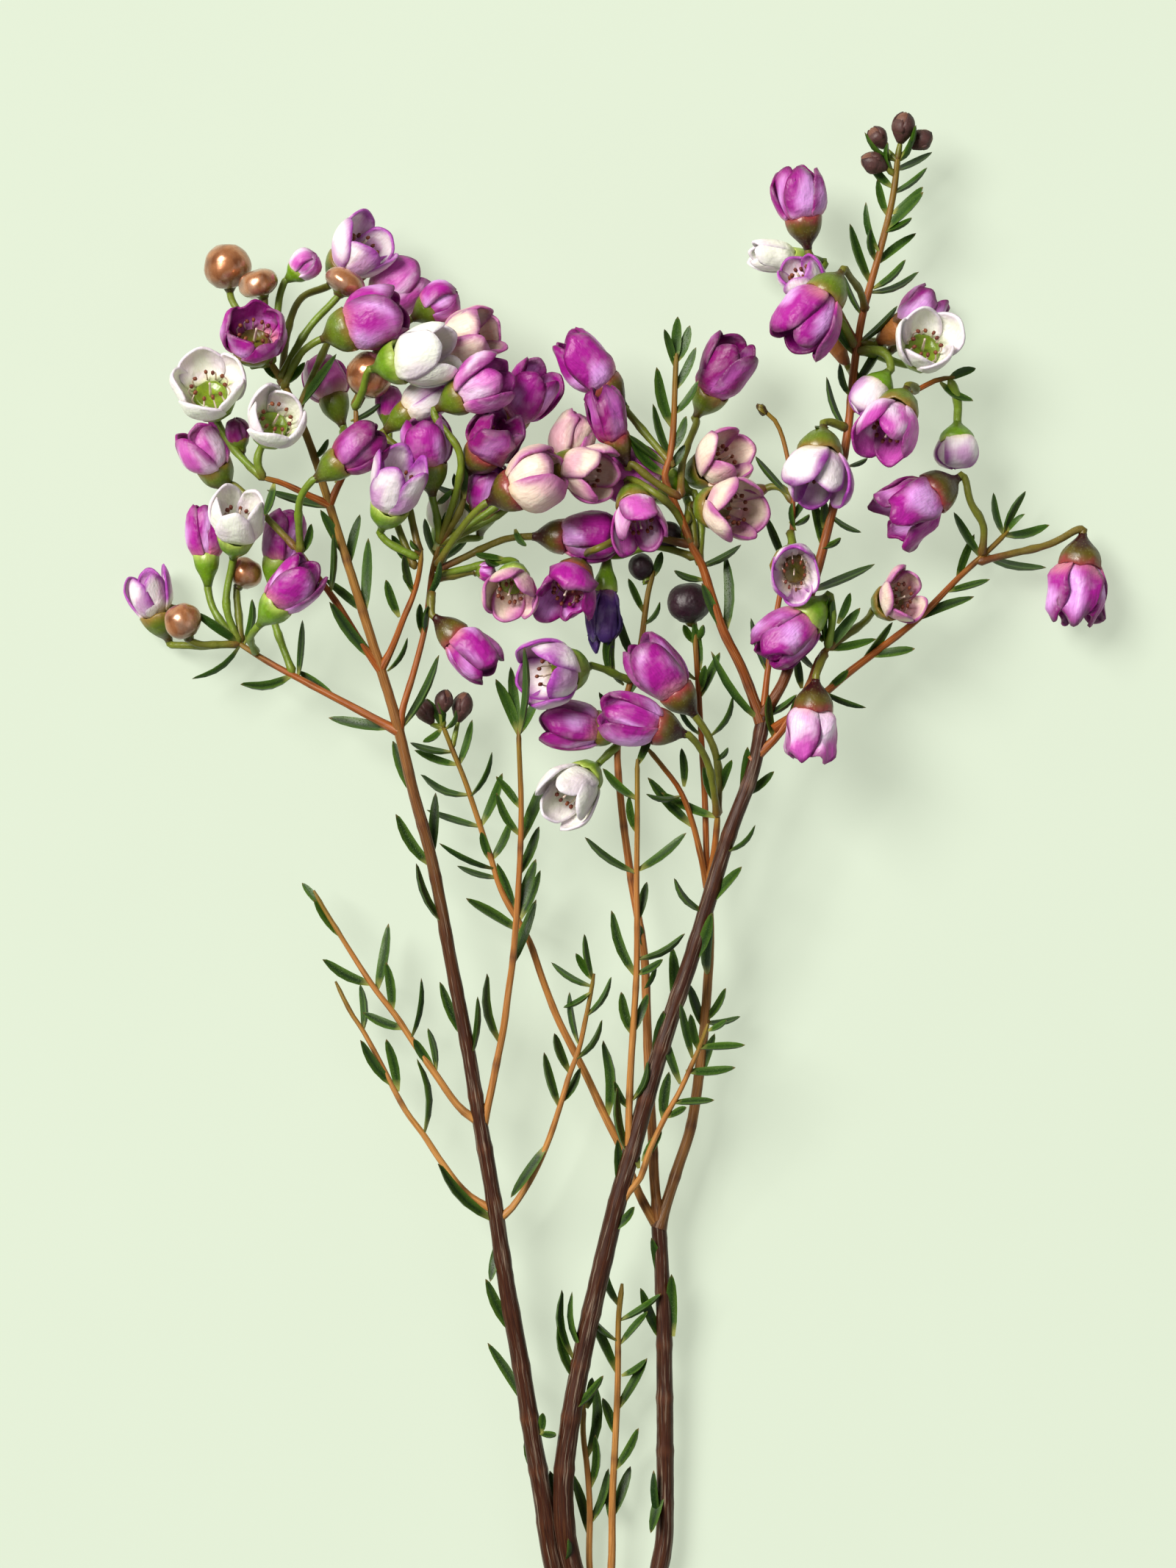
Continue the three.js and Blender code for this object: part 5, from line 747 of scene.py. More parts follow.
def ripple(bm: BMesh, height: float, size: float, seed: float) -> None:
    """Moves vertices by up to a height, in seeded smooth bumps of a size."""
    for v in bm.verts:
        v.co += noise.noise_vector(v.co / size + Vector((seed, 1.7 * seed, 2.3 * seed))) * height


@dataclass
class Growth:
    """One finished piece, gathered from many small bodies."""

    name: str
    bm: BMesh = field(default_factory=blank)
    bodies: int = 0

    def add(self, item: BMesh) -> None:
        """Takes a body in and frees it.

        Args:
            item: The body, in the layout's millimetres.
        """
        carrier = bpy.data.meshes.new("carrier")
        item.to_mesh(carrier)
        item.free()
        self.bm.from_mesh(carrier)
        bpy.data.meshes.remove(carrier)
        self.bodies += 1

    def finish(
        self, material: bpy.types.Material, slot: str, nodes: Sequence[str] = (), crease: float = 60.0
    ) -> bpy.types.Object:
        """Turns the gathered bodies into an object in the frame.

        Args:
            material: Its finish.
            slot: The record's material slot. It is not used.
            nodes: The frame's nodes that it stands for.
            crease: Edges sharper than this many degrees stay sharp.

        Returns:
            The object.
        """
        for v in self.bm.verts:
            v.co.z = max(v.co.z, 0.0)
        mesh = bpy.data.meshes.new(self.name)
        moved(self.bm, TO_FRAME).to_mesh(mesh)
        self.bm.free()
        mesh.shade_smooth()
        mesh.set_sharp_from_angle(angle=math.radians(crease))
        mesh.materials.append(material)
        piece = bpy.data.objects.new(self.name, mesh)
        bpy.context.scene.collection.objects.link(piece)
        if nodes:
            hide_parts(*nodes)
        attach(piece, "root")
        mesh.calc_loop_triangles()
        LOG.info("%s: %d bodies, %d triangles", self.name, self.bodies, len(mesh.loop_triangles))
        return piece


# ---- finishes


class Recipe:
    """A node material being put together."""

    def __init__(self, name: str, **sockets: object) -> None:
        """Starts from a Principled shader.

        Args:
            name: The material's name.
            sockets: Constants for the shader, spaces in their names written as underscores.
        """
        self.material = bpy.data.materials.new(name)
        self.material.use_nodes = True
        self.tree = self.material.node_tree
        self.tree.nodes.clear()
        self.shader = self.tree.nodes.new("ShaderNodeBsdfPrincipled")
        end = self.tree.nodes.new("ShaderNodeOutputMaterial")
        self.tree.links.new(self.shader.outputs["BSDF"], end.inputs["Surface"])
        for key, value in sockets.items():
            self.feed(self.shader.inputs[key.replace("_", " ")], value)

    def feed(self, socket: Socket, value: object) -> None:
        """Links a socket to an output, or sets it.

        Args:
            socket: The input.
            value: An output socket, a number, a vector or a linear colour.
        """
        if isinstance(value, Socket):
            self.tree.links.new(value, socket)
        else:
            socket.default_value = (*value, 1.0) if socket.type == "RGBA" else value

    def add(self, kind: str, output: str | int, inputs: dict, **settings: object) -> Socket:
        """Adds a node.

        Args:
            kind: Its type.
            output: Which of its outputs is wanted.
            inputs: What each of its inputs is fed.
            settings: Its properties.

        Returns:
            The output.
        """
        made = self.tree.nodes.new(kind)
        for key, value in settings.items():
            setattr(made, key, value)
        for key, value in inputs.items():
            self.feed(made.inputs[key], value)
        return made.outputs[output]

    def read(self, name: str, output: str) -> Socket:
        """The Vector, Color or Alpha of an attribute."""
        return self.add("ShaderNodeAttribute", output, {}, attribute_name=name)

    def grain(self, scale: Sequence[float] = (1.0, 1.0, 1.0)) -> Socket:
        """The grain, with each of its axes stretched."""
        inputs = {0: self.read("grain", "Vector"), 1: scale}
        return self.add("ShaderNodeVectorMath", 0, inputs, operation="MULTIPLY")

    def noise(self, vector: Socket, scale: float = 1.0, detail: float = 3.0) -> Socket:
        """Smooth noise, of about 0.3 to 0.7."""
        return self.add("ShaderNodeTexNoise", "Fac", {"Vector": vector, "Scale": scale, "Detail": detail})

    def dots(self, vector: Socket, scale: float) -> Socket:
        """Small round dots, 1 in their middle, so many to the unit."""
        distance = self.add("ShaderNodeTexVoronoi", "Distance", {"Vector": vector, "Scale": scale})
        return self.span(distance, 0.34, 0.14)

    def span(self, value: Socket, low: float, high: float, first: float = 0.0, last: float = 1.0) -> Socket:
        """The range from low to high, mapped onto first to last and held at its ends."""
        inputs = {"Value": value, "From Min": low, "From Max": high, "To Min": first, "To Max": last}
        return self.add("ShaderNodeMapRange", "Result", inputs)

    def mix(self, share: object, a: object, b: object, way: str = "MIX") -> Socket:
        """The colours a and b, mixed by the share of b."""
        return self.add("ShaderNodeMix", 2, {0: share, 6: a, 7: b}, data_type="RGBA", blend_type=way)

    def times(self, a: Socket, b: object) -> Socket:
        """The product of two numbers."""
        return self.add("ShaderNodeMath", 0, {0: a, 1: b}, operation="MULTIPLY")

    def relief(self, *layers: tuple[Socket, float]) -> None:
        """Stacks bumps on the shader.

        Args:
            layers: Each a height between 0 and 1, and its depth in millimetres.
        """
        inputs = {"Strength": 1.0}
        for height, depth in layers:
            inputs |= {"Distance": depth * 0.001, "Height": height}
            inputs["Normal"] = self.add("ShaderNodeBump", "Normal", inputs)
        self.feed(self.shader.inputs["Normal"], inputs["Normal"])


@dataclass(frozen=True)
class BarkFinish:
    """Fibrous bark: orange-tan on the twigs, brown with grey flakes on the old wood, with pale ridges that
    are partly painted highlight.
    """

    crack: Colour = rgb(34, 16, 8)
    flake: Colour = rgb(176, 156, 136)
    # The pale ridges' colour: partly the bark's own stripes, partly painted highlight.
    pale: Colour = rgb(212, 166, 108)
    furrow: Colour = (0.46, 0.34, 0.28)
    roughness: float = 0.4
    fibre_grain: tuple[float, ...] = (3.4, 3.4, 0.12)
    fine_grain: tuple[float, ...] = (6.5, 6.5, 0.22)
    patch_grain: tuple[float, ...] = (1.5, 1.5, 0.1)

    def material(self) -> bpy.types.Material:
        """Builds the bark.

        Returns:
            The material.
        """
        r = Recipe("bark", Roughness=self.roughness, Specular_IOR_Level=0.26)
        age = r.read("tint", "Alpha")
        fibres = r.noise(r.grain(self.fibre_grain), 1.0, 4.0)
        fine = r.noise(r.grain(self.fine_grain))
        patches = r.noise(r.grain(self.patch_grain))
        furrows = r.span(fibres, 0.54, 0.4, 0.0, 0.5)
        colour = r.mix(furrows, r.read("tint", "Color"), self.furrow, "MULTIPLY")
        # Pale fibre ridges, mostly on the young twigs: partly the bark's own stripes, partly painted
        # highlight.
        pale_ridges_and_highlight = r.times(r.span(fine, 0.52, 0.66, 0.0, 0.3), r.span(age, 0.2, 1.0, 1.0, 0.18))
        colour = r.mix(pale_ridges_and_highlight, colour, self.pale)
        worn = r.times(r.span(patches, 0.54, 0.6), r.span(fine, 0.44, 0.56))
        colour = r.mix(r.times(r.times(worn, age), 0.42), colour, self.flake)
        cracks = r.times(r.span(fine, 0.46, 0.34), r.span(age, 0.0, 1.0, 0.25, 0.8))
        colour = r.mix(cracks, colour, self.crack)
        r.feed(r.shader.inputs["Base Color"], colour)
        r.relief((fibres, 0.05), (fine, 0.025), (worn, 0.03))
        return r.material


@dataclass(frozen=True)
class LeafFinish:
    """Dark green, finely stippled with oil glands."""

    gland: Colour = rgb(112, 142, 62)
    shadow: Colour = (0.55, 0.62, 0.5)
    roughness: float = 0.42

    def material(self) -> bpy.types.Material:
        """Builds the leaves' skin.

        Returns:
            The material.
        """
        r = Recipe(
            "leaf", Roughness=self.roughness, Specular_IOR_Level=0.3, Subsurface_Weight=0.08,
            Subsurface_Radius=(0.3, 0.8, 0.2), Subsurface_Scale=0.0006,
        )
        glands = r.dots(r.grain((1.0, 0.8, 1.0)), 4.0)
        mottle = r.span(r.noise(r.grain(), 0.7, 4.0), 0.35, 0.65, 0.0, 0.45)
        colour = r.mix(mottle, r.read("tint", "Color"), self.shadow, "MULTIPLY")
        colour = r.mix(r.times(glands, 0.18), colour, self.gland)
        r.feed(r.shader.inputs["Base Color"], colour)
        r.relief((r.noise(r.grain((1.6, 0.5, 1.6)), 1.0, 4.0), 0.07), (glands, 0.03))
        return r.material


@dataclass(frozen=True)
class PetalFinish:
    """Satiny petal skin with veins that run from the claw to the rim."""

    name: str
    glow: Colour
    vein: Colour
    roughness: float
    bloom: Colour = (0.95, 0.9, 0.94)

    def material(self) -> bpy.types.Material:
        """Builds this tone.

        Returns:
            The material.
        """
        r = Recipe(
            self.name, Roughness=self.roughness, Specular_IOR_Level=0.32, Subsurface_Weight=0.2,
            Subsurface_Radius=self.glow, Subsurface_Scale=0.0009, Sheen_Weight=0.02, Sheen_Roughness=0.5,
        )
        veins = r.noise(r.grain((4.6, 0.4, 1.0)))
        cloud = r.noise(r.grain((0.42, 0.36, 1.0)), 1.0, 4.0)
        creases = r.noise(r.grain((1.3, 0.9, 1.0)), 1.0, 2.0)
        folds = r.noise(r.grain((0.55, 0.42, 1.0)), 1.0, 2.0)
        colour = r.mix(r.span(veins, 0.48, 0.66, 0.0, 0.3), r.read("tint", "Color"), self.vein, "MULTIPLY")
        colour = r.mix(r.span(cloud, 0.48, 0.68, 0.0, 0.1), colour, self.bloom, "SCREEN")
        r.feed(r.shader.inputs["Base Color"], colour)
        r.relief((folds, 0.34), (creases, 0.12), (veins, 0.03))
        return r.material


@dataclass(frozen=True)
class SkinFinish:
    """Smooth green or painted plant skin with gland dots, and where asked a painted pearly sheen: calyxes,
    stalks, discs and buds.
    """

    name: str
    roughness: float
    coat: float
    dots: float
    dot: Colour
    metallic: float = 0.0
    dent: float = 0.12
    dot_share: float = 0.12
    dot_height: float = 0.015
    painted_sheen_share: float = 0.0
    mottle: Colour = (0.66, 0.6, 0.5)
    streak: Colour = (0.7, 0.56, 0.44)
    # The colour of the painted sheen's pale patches.
    painted_sheen: Colour = rgb(232, 214, 196)

    def material(self) -> bpy.types.Material:
        """Builds this skin.

        Returns:
            The material.
        """
        r = Recipe(
            self.name, Roughness=self.roughness, Coat_Weight=self.coat, Coat_Roughness=0.22,
            Metallic=self.metallic, Subsurface_Weight=0.0 if self.metallic else 0.1,
            Subsurface_Radius=(0.6, 0.8, 0.3), Subsurface_Scale=0.0008,
        )
        glands = r.dots(r.grain(), self.dots)
        mottle = r.noise(r.grain(), 0.8, 4.0)
        dents = r.noise(r.grain(), 0.42, 2.0)
        streaks = r.noise(r.grain((2.2, 2.2, 0.4)))
        colour = r.mix(r.span(mottle, 0.36, 0.64, 0.0, 0.4), r.read("tint", "Color"), self.mottle, "MULTIPLY")
        colour = r.mix(r.span(streaks, 0.52, 0.4, 0.0, 0.3), colour, self.streak, "MULTIPLY")
        colour = r.mix(r.times(glands, self.dot_share), colour, self.dot)
        # Pale pearly patches laid over the colour: painted sheen, none unless its share is set.
        painted_sheen_mask = r.span(r.noise(r.grain((0.5, 0.5, 0.35))), 0.5, 0.66, 0.0, self.painted_sheen_share)
        colour = r.mix(painted_sheen_mask, colour, self.painted_sheen)
        r.feed(r.shader.inputs["Base Color"], colour)
        uneven = r.span(mottle, 0.35, 0.65, self.roughness - 0.06, self.roughness + 0.1)
        r.feed(r.shader.inputs["Roughness"], uneven)
        r.relief((dents, self.dent * 2), (glands, self.dot_height), (mottle, self.dent))
        return r.material


@dataclass(frozen=True)
class GroundFinish:
    """Plain pale ground with a soft, barely seen unevenness."""

    colour: Colour = rgb(131, 139, 130)
    shadow: Colour = rgb(114, 123, 110)
    glow: Colour = rgb(232, 243, 217)
    glow_share: float = 0.61

    def material(self) -> bpy.types.Material:
        """Builds the ground's surface.

        Returns:
            The material.
        """
        r = Recipe(
            "ground", Roughness=0.9, Specular_IOR_Level=0.05, Emission_Color=self.glow,
            Emission_Strength=self.glow_share,
        )
        cloud = r.noise(r.add("ShaderNodeTexCoord", "Object", {}), 14.0, 4.0)
        colour = r.mix(r.span(cloud, 0.35, 0.7, 0.0, 0.12), self.colour, self.shadow)
        r.feed(r.shader.inputs["Base Color"], colour)
        return r.material


# ---- stems


@dataclass(frozen=True)
class Shoot:
    """One stem: its name, its radii, its line, and its number, which seeds it."""

    name: str
    root_radius: float
    tip_radius: float
    points: Sequence[Sequence[float]]
    index: int

    @property
    def seed(self) -> float:
        """Places its nodes and picks its unevenness."""
        return 1.0 + self.index * 0.37

    @property
    def start(self) -> float:
        """The grain's z at its root, so that no two stems share a pattern."""
        return self.index * 40.0

    def size(self, share: float) -> float:
        """Its plain radius at a share of the way up."""
        return self.root_radius + (self.tip_radius - self.root_radius) * share


SHOOTS = [Shoot(*row, index) for index, row in enumerate(STEMS)]


@dataclass
class Stems:
    """The trunk, the three branches and their shoots: barked tubes with nodes and root collars."""

    sides: int = 12
    twig_sides: int = 9
    stout: float = 0.8
    step: float = 1.25
    twig_step: float = 1.625
    node_gap: float = 9.0
    node_swell: float = 0.08
    node_width: float = 0.8
    collar: float = 0.3
    collar_length: float = 2.4
    old_radius: float = 1.12
    stoutness: float = 0.07
    tip_taper: float = 0.55
    cut_lean: float = 2.4
    warm_from: float = 120.0
    warm_to: float = 185.0
    twig: Colour = rgb(186, 130, 66)
    orange: Colour = rgb(152, 78, 24)
    young: Colour = rgb(112, 104, 26)
    wood: Colour = rgb(62, 25, 8)
    ring: Colour = rgb(92, 48, 26)
    heart: Colour = rgb(196, 168, 126)
    pith: Colour = rgb(120, 84, 56)
    scar_size: float = 0.72
    scar_brown: Colour = rgb(58, 42, 22)

    def radius(self, shoot: Shoot, s: float, length: float) -> float:
        """The radius at a place along a stem.

        Args:
            shoot: The stem.
            s: Distance from its root.
            length: Its length.

        Returns:
            The radius.
        """
        base = shoot.size(s / length)
        base *= 1 + self.node_swell * hump(self.beat(shoot, s), self.node_width)
        if shoot.name != "trunk":
            base *= 1 + self.collar * hump(s, self.collar_length)
        base *= 1 + self.stoutness * ease(0.9, 1.4, base)
        return base * (1 + 0.025 * noise.noise(Vector((s / 4.0, shoot.seed, 0.0))))

    def beat(self, shoot: Shoot, s: float) -> float:
        """How far a place along a stem is from its nearest node, with its sign."""
        return ((s + shoot.seed * 7.0) % self.node_gap) - self.node_gap / 2

    def shade(self, shoot: Shoot, length: float, warm: float, place: Vector) -> tuple[float, ...]:
        """The bark's colour and age at a place.

        Args:
            shoot: The stem.
            length: Its length.
            warm: How orange it is rather than tan.
            place: The grain.

        Returns:
            The colour, and the age as its alpha.
        """
        share = (place.z - shoot.start) / length
        age = ease(0.62, self.old_radius, shoot.size(share))
        drift = noise.noise(Vector((place.z / 17.0, shoot.start, 0.0)))
        colour = fade(self.twig, self.orange, min(1.0, warm + 0.3 * ease(0.2, 0.8, share + drift)))
        colour = fade(colour, self.wood, age)
        colour = fade(colour, self.young, ease(0.7, 1.0, share) * (1 - age) * 0.8)
        colour = fade(colour, self.ring, hump(self.beat(shoot, place.z - shoot.start), 0.4) * 0.7)
        return (*colour, age)

    def stem(self, shoot: Shoot) -> BMesh:
        """One stem.

        Args:
            shoot: What it is.

        Returns:
            The mesh.
        """
        thick = shoot.root_radius > self.stout
        line = smooth_line(shoot.points, self.step if thick else self.twig_step)
        count = len(line) - 1
        length = sum((b - a).length for a, b in zip(line, line[1:]))
        radii = [self.radius(shoot, length * k / count, length) for k in range(count + 1)]
        if shoot.name != "trunk":
            radii[-1] *= self.tip_taper
        bm = tube(line, radii, self.sides if thick else self.twig_sides, shoot.start)
        ripple(bm, 0.03 * shoot.root_radius, 1.6, shoot.seed)
        warm = ease(self.warm_from, self.warm_to, sum(p.y for p in line) / len(line))
        stain(bm, lambda grain: self.shade(shoot, length, warm, grain))
        if shoot.name == "trunk":
            self.cut(bm, line[0], shoot.root_radius)
        return bm

    def scar(self, tip: Vector, along: Vector) -> BMesh:
        """The dark, knobbly end of a broken shoot.

        Args:
            tip: Its end.
            along: The shoot's direction there.

        Returns:
            The mesh.
        """
        bm = blank()
        bmesh.ops.create_icosphere(bm, subdivisions=3, radius=self.scar_size)
        note_grain(bm, Vector())
        for v in bm.verts:
            v.co *= 1 + 0.5 * noise.noise(v.co * 1.5) + 0.2 * noise.noise(v.co * 4.0)
            v.co.z *= 1.5
        stain(bm, lambda g: (*fade(self.scar_brown, self.young, ease(0.1, 0.5, noise.noise(g * 2.0))), 0.5))
        return moved(bm, facing_frame(tip - along * 0.5, along, 0.0))

    def cut(self, bm: BMesh, foot: Vector, radius: float) -> None:
        """Slices the trunk's end on a slant and shows the wood and the pith.

        Args:
            bm: The trunk.
            foot: The centre of its end.
            radius: Its radius there.
        """
        place = foot + Vector((0.0, self.cut_lean / 2 + 0.15, 0.0))
        across = Vector((self.cut_lean / (2 * radius), -1.0, 0.25)).normalized()
        geom = bm.verts[:] + bm.edges[:] + bm.faces[:]
        bmesh.ops.bisect_plane(bm, geom=geom, plane_co=place, plane_no=across, clear_outer=True)
        rim = [e for e in bm.edges if e.is_boundary]
        face = bmesh.ops.holes_fill(bm, edges=rim, sides=0)["faces"]
        _, tint = marks(bm)
        for thickness, colour in ((0.35, self.heart), (1.35, self.heart), (0.3, self.pith)):
            bmesh.ops.inset_region(bm, faces=face, thickness=thickness, depth=-0.05)
            for v in {v for f in face for v in f.verts}:
                v[tint] = (*colour, 0.2)
        bmesh.ops.recalc_face_normals(bm, faces=bm.faces)

    def build(self) -> bpy.types.Object:
        """Builds every stem as one piece.

        Returns:
            The piece.
        """
        growth = Growth("stems")
        for shoot in SHOOTS:
            growth.add(self.stem(shoot))
        broken = smooth_line(next(shoot.points for shoot in SHOOTS if shoot.name == "dead"), 1.0)
        growth.add(self.scar(broken[-1], (broken[-1] - broken[-2]).normalized()))
        return growth.finish(BarkFinish().material(), "bark_and_leaf", ("leafy_stem",))


@dataclass
class StemMap:
    """Where the stems and the flower stalks run, for whatever grows on them.

    A row is a place, the direction there, the radius there and the share of the way up.
    """

    spacing: float = 1.0
    places: list[tuple[Vector, Vector, float, float]] = field(default_factory=list)
    twigs: list[tuple[Vector, Vector, float, float]] = field(default_factory=list)

    def survey(self, blooms: Sequence["Bloom"]) -> "StemMap":
        """Walks every stem and stalk once.

        Args:
            blooms: Every flower.

        Returns:
            Itself, with its rows.
        """
        for shoot in SHOOTS:
            line = smooth_line(shoot.points, self.spacing)
            for k, (low, high) in enumerate(zip(line, line[1:])):
                share = k / len(line)
                self.places.append((low, (high - low).normalized(), shoot.size(share), share))
        for bloom in blooms:
            line = smooth_line([*bloom.stalk, bloom.calyx_foot], self.spacing)
            for low, high in zip(line, line[1:]):
                self.twigs.append((low, (high - low).normalized(), STALK_RADIUS, 1.0))
        return self

    def nearest(self, place: Vector, flat: bool = False) -> tuple[Vector, Vector, float, float]:
        """The row of the stem closest to a place, or when flat of the stem or stalk, heights left out."""
        rows = self.places + self.twigs if flat else self.places
        return min(rows, key=lambda row: ((row[0] - place).xy if flat else row[0] - place).length)


# ---- leaves


@dataclass
class Leaves:
    """Needle leaves: keeled, three-sided, gently curved in, each on a short pale foot, with one half painted
    lighter as if lit.
    """

    stems: StemMap
    width: float = 1.95
    seed: int = 2041
    slack: float = 0.55
    blade: Colour = rgb(14, 37, 12)
    fresh: Colour = rgb(42, 78, 8)
    edge: Colour = rgb(76, 108, 30)
    # The leaves' pale edge colour, which is also the colour of the painted light on each leaf's lit half.
    foot: Colour = rgb(150, 150, 78)
    tip: Colour = rgb(122, 92, 50)
    widths: tuple[tuple[float, float], ...] = (
        (0, 0.34), (0.07, 0.5), (0.22, 0.82), (0.5, 1.0), (0.76, 0.84), (0.92, 0.46), (1.0, 0.05),
    )
    heights: tuple[float, ...] = (0.0, 0.07, 0.22, 0.42, 0.62, 0.8, 0.93, 1.0)
    section: tuple[tuple[float, float], ...] = (
        (0.0, -0.12), (-0.97, 0.1), (-0.66, -0.62), (0.0, -1.1), (0.66, -0.62), (0.97, 0.1),
    )

    def template(self) -> bpy.types.Mesh:
        """One straight leaf of length 1 along z and half-width 1, as a mesh to copy.

        Returns:
            The mesh.
        """
        bm = blank()
        grain, _ = marks(bm)
        corners = len(self.section)
        ring = bmesh.ops.create_circle(bm, cap_ends=True, radius=1.0, segments=corners)["verts"]
        ring.sort(key=lambda v: math.atan2(-v.co.x, v.co.y) % FULL_TURN)
        for v, (x, y) in zip(ring, self.section):
            v.co = (x, y, 0.0)
            v[grain] = (x, y, 0.0)
        edges = bm.edges[:]
        size = self.widths[0][1]
        bmesh.ops.scale(bm, vec=(size, size, 1), verts=ring)
        for last, height in zip(self.heights, self.heights[1:]):
            ring, edges = next_ring(bm, edges)
            grown = level(self.widths, height)
            bmesh.ops.scale(bm, vec=(grown / size, grown / size, 1), verts=ring)
            bmesh.ops.translate(bm, vec=(0, 0, height - last), verts=ring)
            size = grown
            for v in ring:
                v[grain] = (v[grain].x, v[grain].y, height)
        bmesh.ops.holes_fill(bm, edges=edges, sides=corners)
        bmesh.ops.recalc_face_normals(bm, faces=bm.faces)
        mesh = bpy.data.meshes.new("leaf_template")
        bm.to_mesh(mesh)
        bm.free()
        return mesh

    def leaf(self, template: bpy.types.Mesh, root: Vector, tip: Vector, draw: random.Random) -> BMesh:
        """One leaf.

        Args:
            template: The straight leaf.
            root: Where it springs.
            tip: Where it ends.
            draw: The source of chance.

        Returns:
            The mesh.
        """
        _, along, _, share = self.stems.nearest(root)
        axis = (tip - root).normalized()
        length = (tip - root).length
        upper = (along - axis * along.dot(axis)) + Vector((0, 0, draw.uniform(0.1, 1.3)))
        upper = (upper - axis * upper.dot(axis)).normalized()
        across = upper.cross(axis)
        half = self.width / 2 * min(1.0, 0.62 + length / 30) * draw.uniform(0.88, 1.1)
        bow = length * draw.uniform(0.02, 0.09)
        sway = length * draw.uniform(-0.06, 0.06)
        young = draw.random()
        side = draw.choice((-1, 1))
        bm = blank()
        bm.from_mesh(template)
        grain, tint = marks(bm)
        blade = fade(self.blade, self.fresh, young * 0.25 + 0.7 * ease(0.55, 1.0, share))
        for v in bm.verts:
            x, y, h = v.co
            belly = math.sin(math.pi * min(h * 1.05, 1.0))
            spot = v[grain]
            v.co = (
                root
                + axis * (length * h)
                + across * (x * half + sway * belly)
                + upper * (y * half * 0.9 - bow * belly)
            )
            # Painted light: one half of each leaf, picked at random, is painted lighter as if lit, and the
            # other stays darker as if in shade.
            painted_lit_half = ease(-0.2, 0.9, spot.x * side) * 0.32
            colour = fade(blade, self.edge, ease(0.7, 1.0, abs(spot.x)) * 0.6 + painted_lit_half)
            colour = fade(colour, self.foot, 1 - ease(0.02, 0.2, h))
            colour = fade(colour, self.tip, ease(0.93, 1.0, h) * (0.4 + young * 0.6))
            v[tint] = (*colour, 1.0)
            v[grain] = Vector((spot.x * half, spot.z * length, spot.y * half)) + Vector((0, 0, young * 90))
        return bm

    def rooted(self, root: Vector, flat: bool) -> Vector:
        """A leaf's root, moved onto its stem where it would hang beside it.

        Args:
            root: Where the leaf springs.
            flat: Whether stalks count as stems.

        Returns:
            The root.
        """
        place, _, radius, _ = self.stems.nearest(root, flat)
        apart = root - place
        if apart.xy.length < radius + self.slack:
            return root
        return place + apart.normalized() * radius * 0.6

    def build(self) -> bpy.types.Object:
        """Builds every leaf as one piece.

        Returns:
            The piece.
        """
        growth = Growth("leaves")
        draw = random.Random(self.seed)
        template = self.template()
        for row in LEAVES:
            growth.add(self.leaf(template, self.rooted(Vector(row[:3]), False), Vector(row[3:]), draw))
        for x0, y0, x1, y1 in SMALL_LEAVES:
            place, _, radius, _ = self.stems.nearest(Vector((x0, y0, 0)), flat=True)
            root = self.rooted(Vector((x0, y0, place.z + radius * 0.4)), True)
            tip = Vector((x1, y1, place.z + radius + draw.uniform(0.5, 2.5)))
            growth.add(self.leaf(template, root, tip, draw))
        bpy.data.meshes.remove(template)
        return growth.finish(LeafFinish().material(), "bark_and_leaf", ("leafy_stem",), crease=50)


# ---- looks of the blooms


@dataclass(frozen=True)
class Tone:
    """The colours of one kind of petal: its body, rim, claw and blushes, which are partly painted highlight,
    and how strong two of them are.
    """

    body: Colour
    rim: Colour
    claw: Colour
    # The blush colour: the petal's own paler tone, and also painted highlight.
    blush: Colour
    rim_share: float
    blush_and_highlight_share: float


class Look(Enum):
    """How a bloom is coloured."""

    snow = Tone(rgb(242, 244, 232), rgb(228, 214, 232), rgb(206, 216, 150), rgb(208, 160, 212), 0.35, 0.35)
    lilac = Tone(rgb(240, 228, 236), rgb(162, 58, 168), rgb(230, 214, 180), rgb(192, 116, 192), 0.95, 0.7)
    shell = Tone(rgb(238, 216, 200), rgb(172, 76, 150), rgb(224, 194, 156), rgb(208, 132, 174), 0.85, 0.6)
    rose = Tone(rgb(200, 84, 182), rgb(140, 12, 120), rgb(232, 184, 186), rgb(240, 208, 240), 0.9, 1.0)
    orchid = Tone(rgb(168, 26, 148), rgb(118, 2, 96), rgb(208, 124, 144), rgb(222, 158, 232), 0.85, 1.0)
    plum = Tone(rgb(138, 16, 112), rgb(98, 2, 78), rgb(154, 46, 80), rgb(192, 98, 188), 0.7, 0.8)
    wilted = Tone(rgb(92, 54, 134), rgb(52, 34, 96), rgb(120, 68, 108), rgb(144, 104, 178), 0.6, 0.5)


class Cup(Enum):
    """How a calyx is coloured: its foot, its middle, its rim, and how far up the foot's colour runs."""

    lime = (rgb(80, 104, 14), rgb(108, 150, 18), rgb(168, 190, 88), 0.25)
    olive = (rgb(76, 58, 14), rgb(100, 122, 22), rgb(138, 112, 48), 0.3)
    wine = (rgb(52, 8, 8), rgb(96, 84, 20), rgb(150, 58, 62), 0.5)


@dataclass(frozen=True)
class Habit:
    """What sets one flower apart: crumpled, broad or narrow petals, a wide disc, or a squeeze across."""

    crumple: float = 0.0
    breadth: float = 1.0
    disc: float = 0.41
    squeeze: float = 1.0


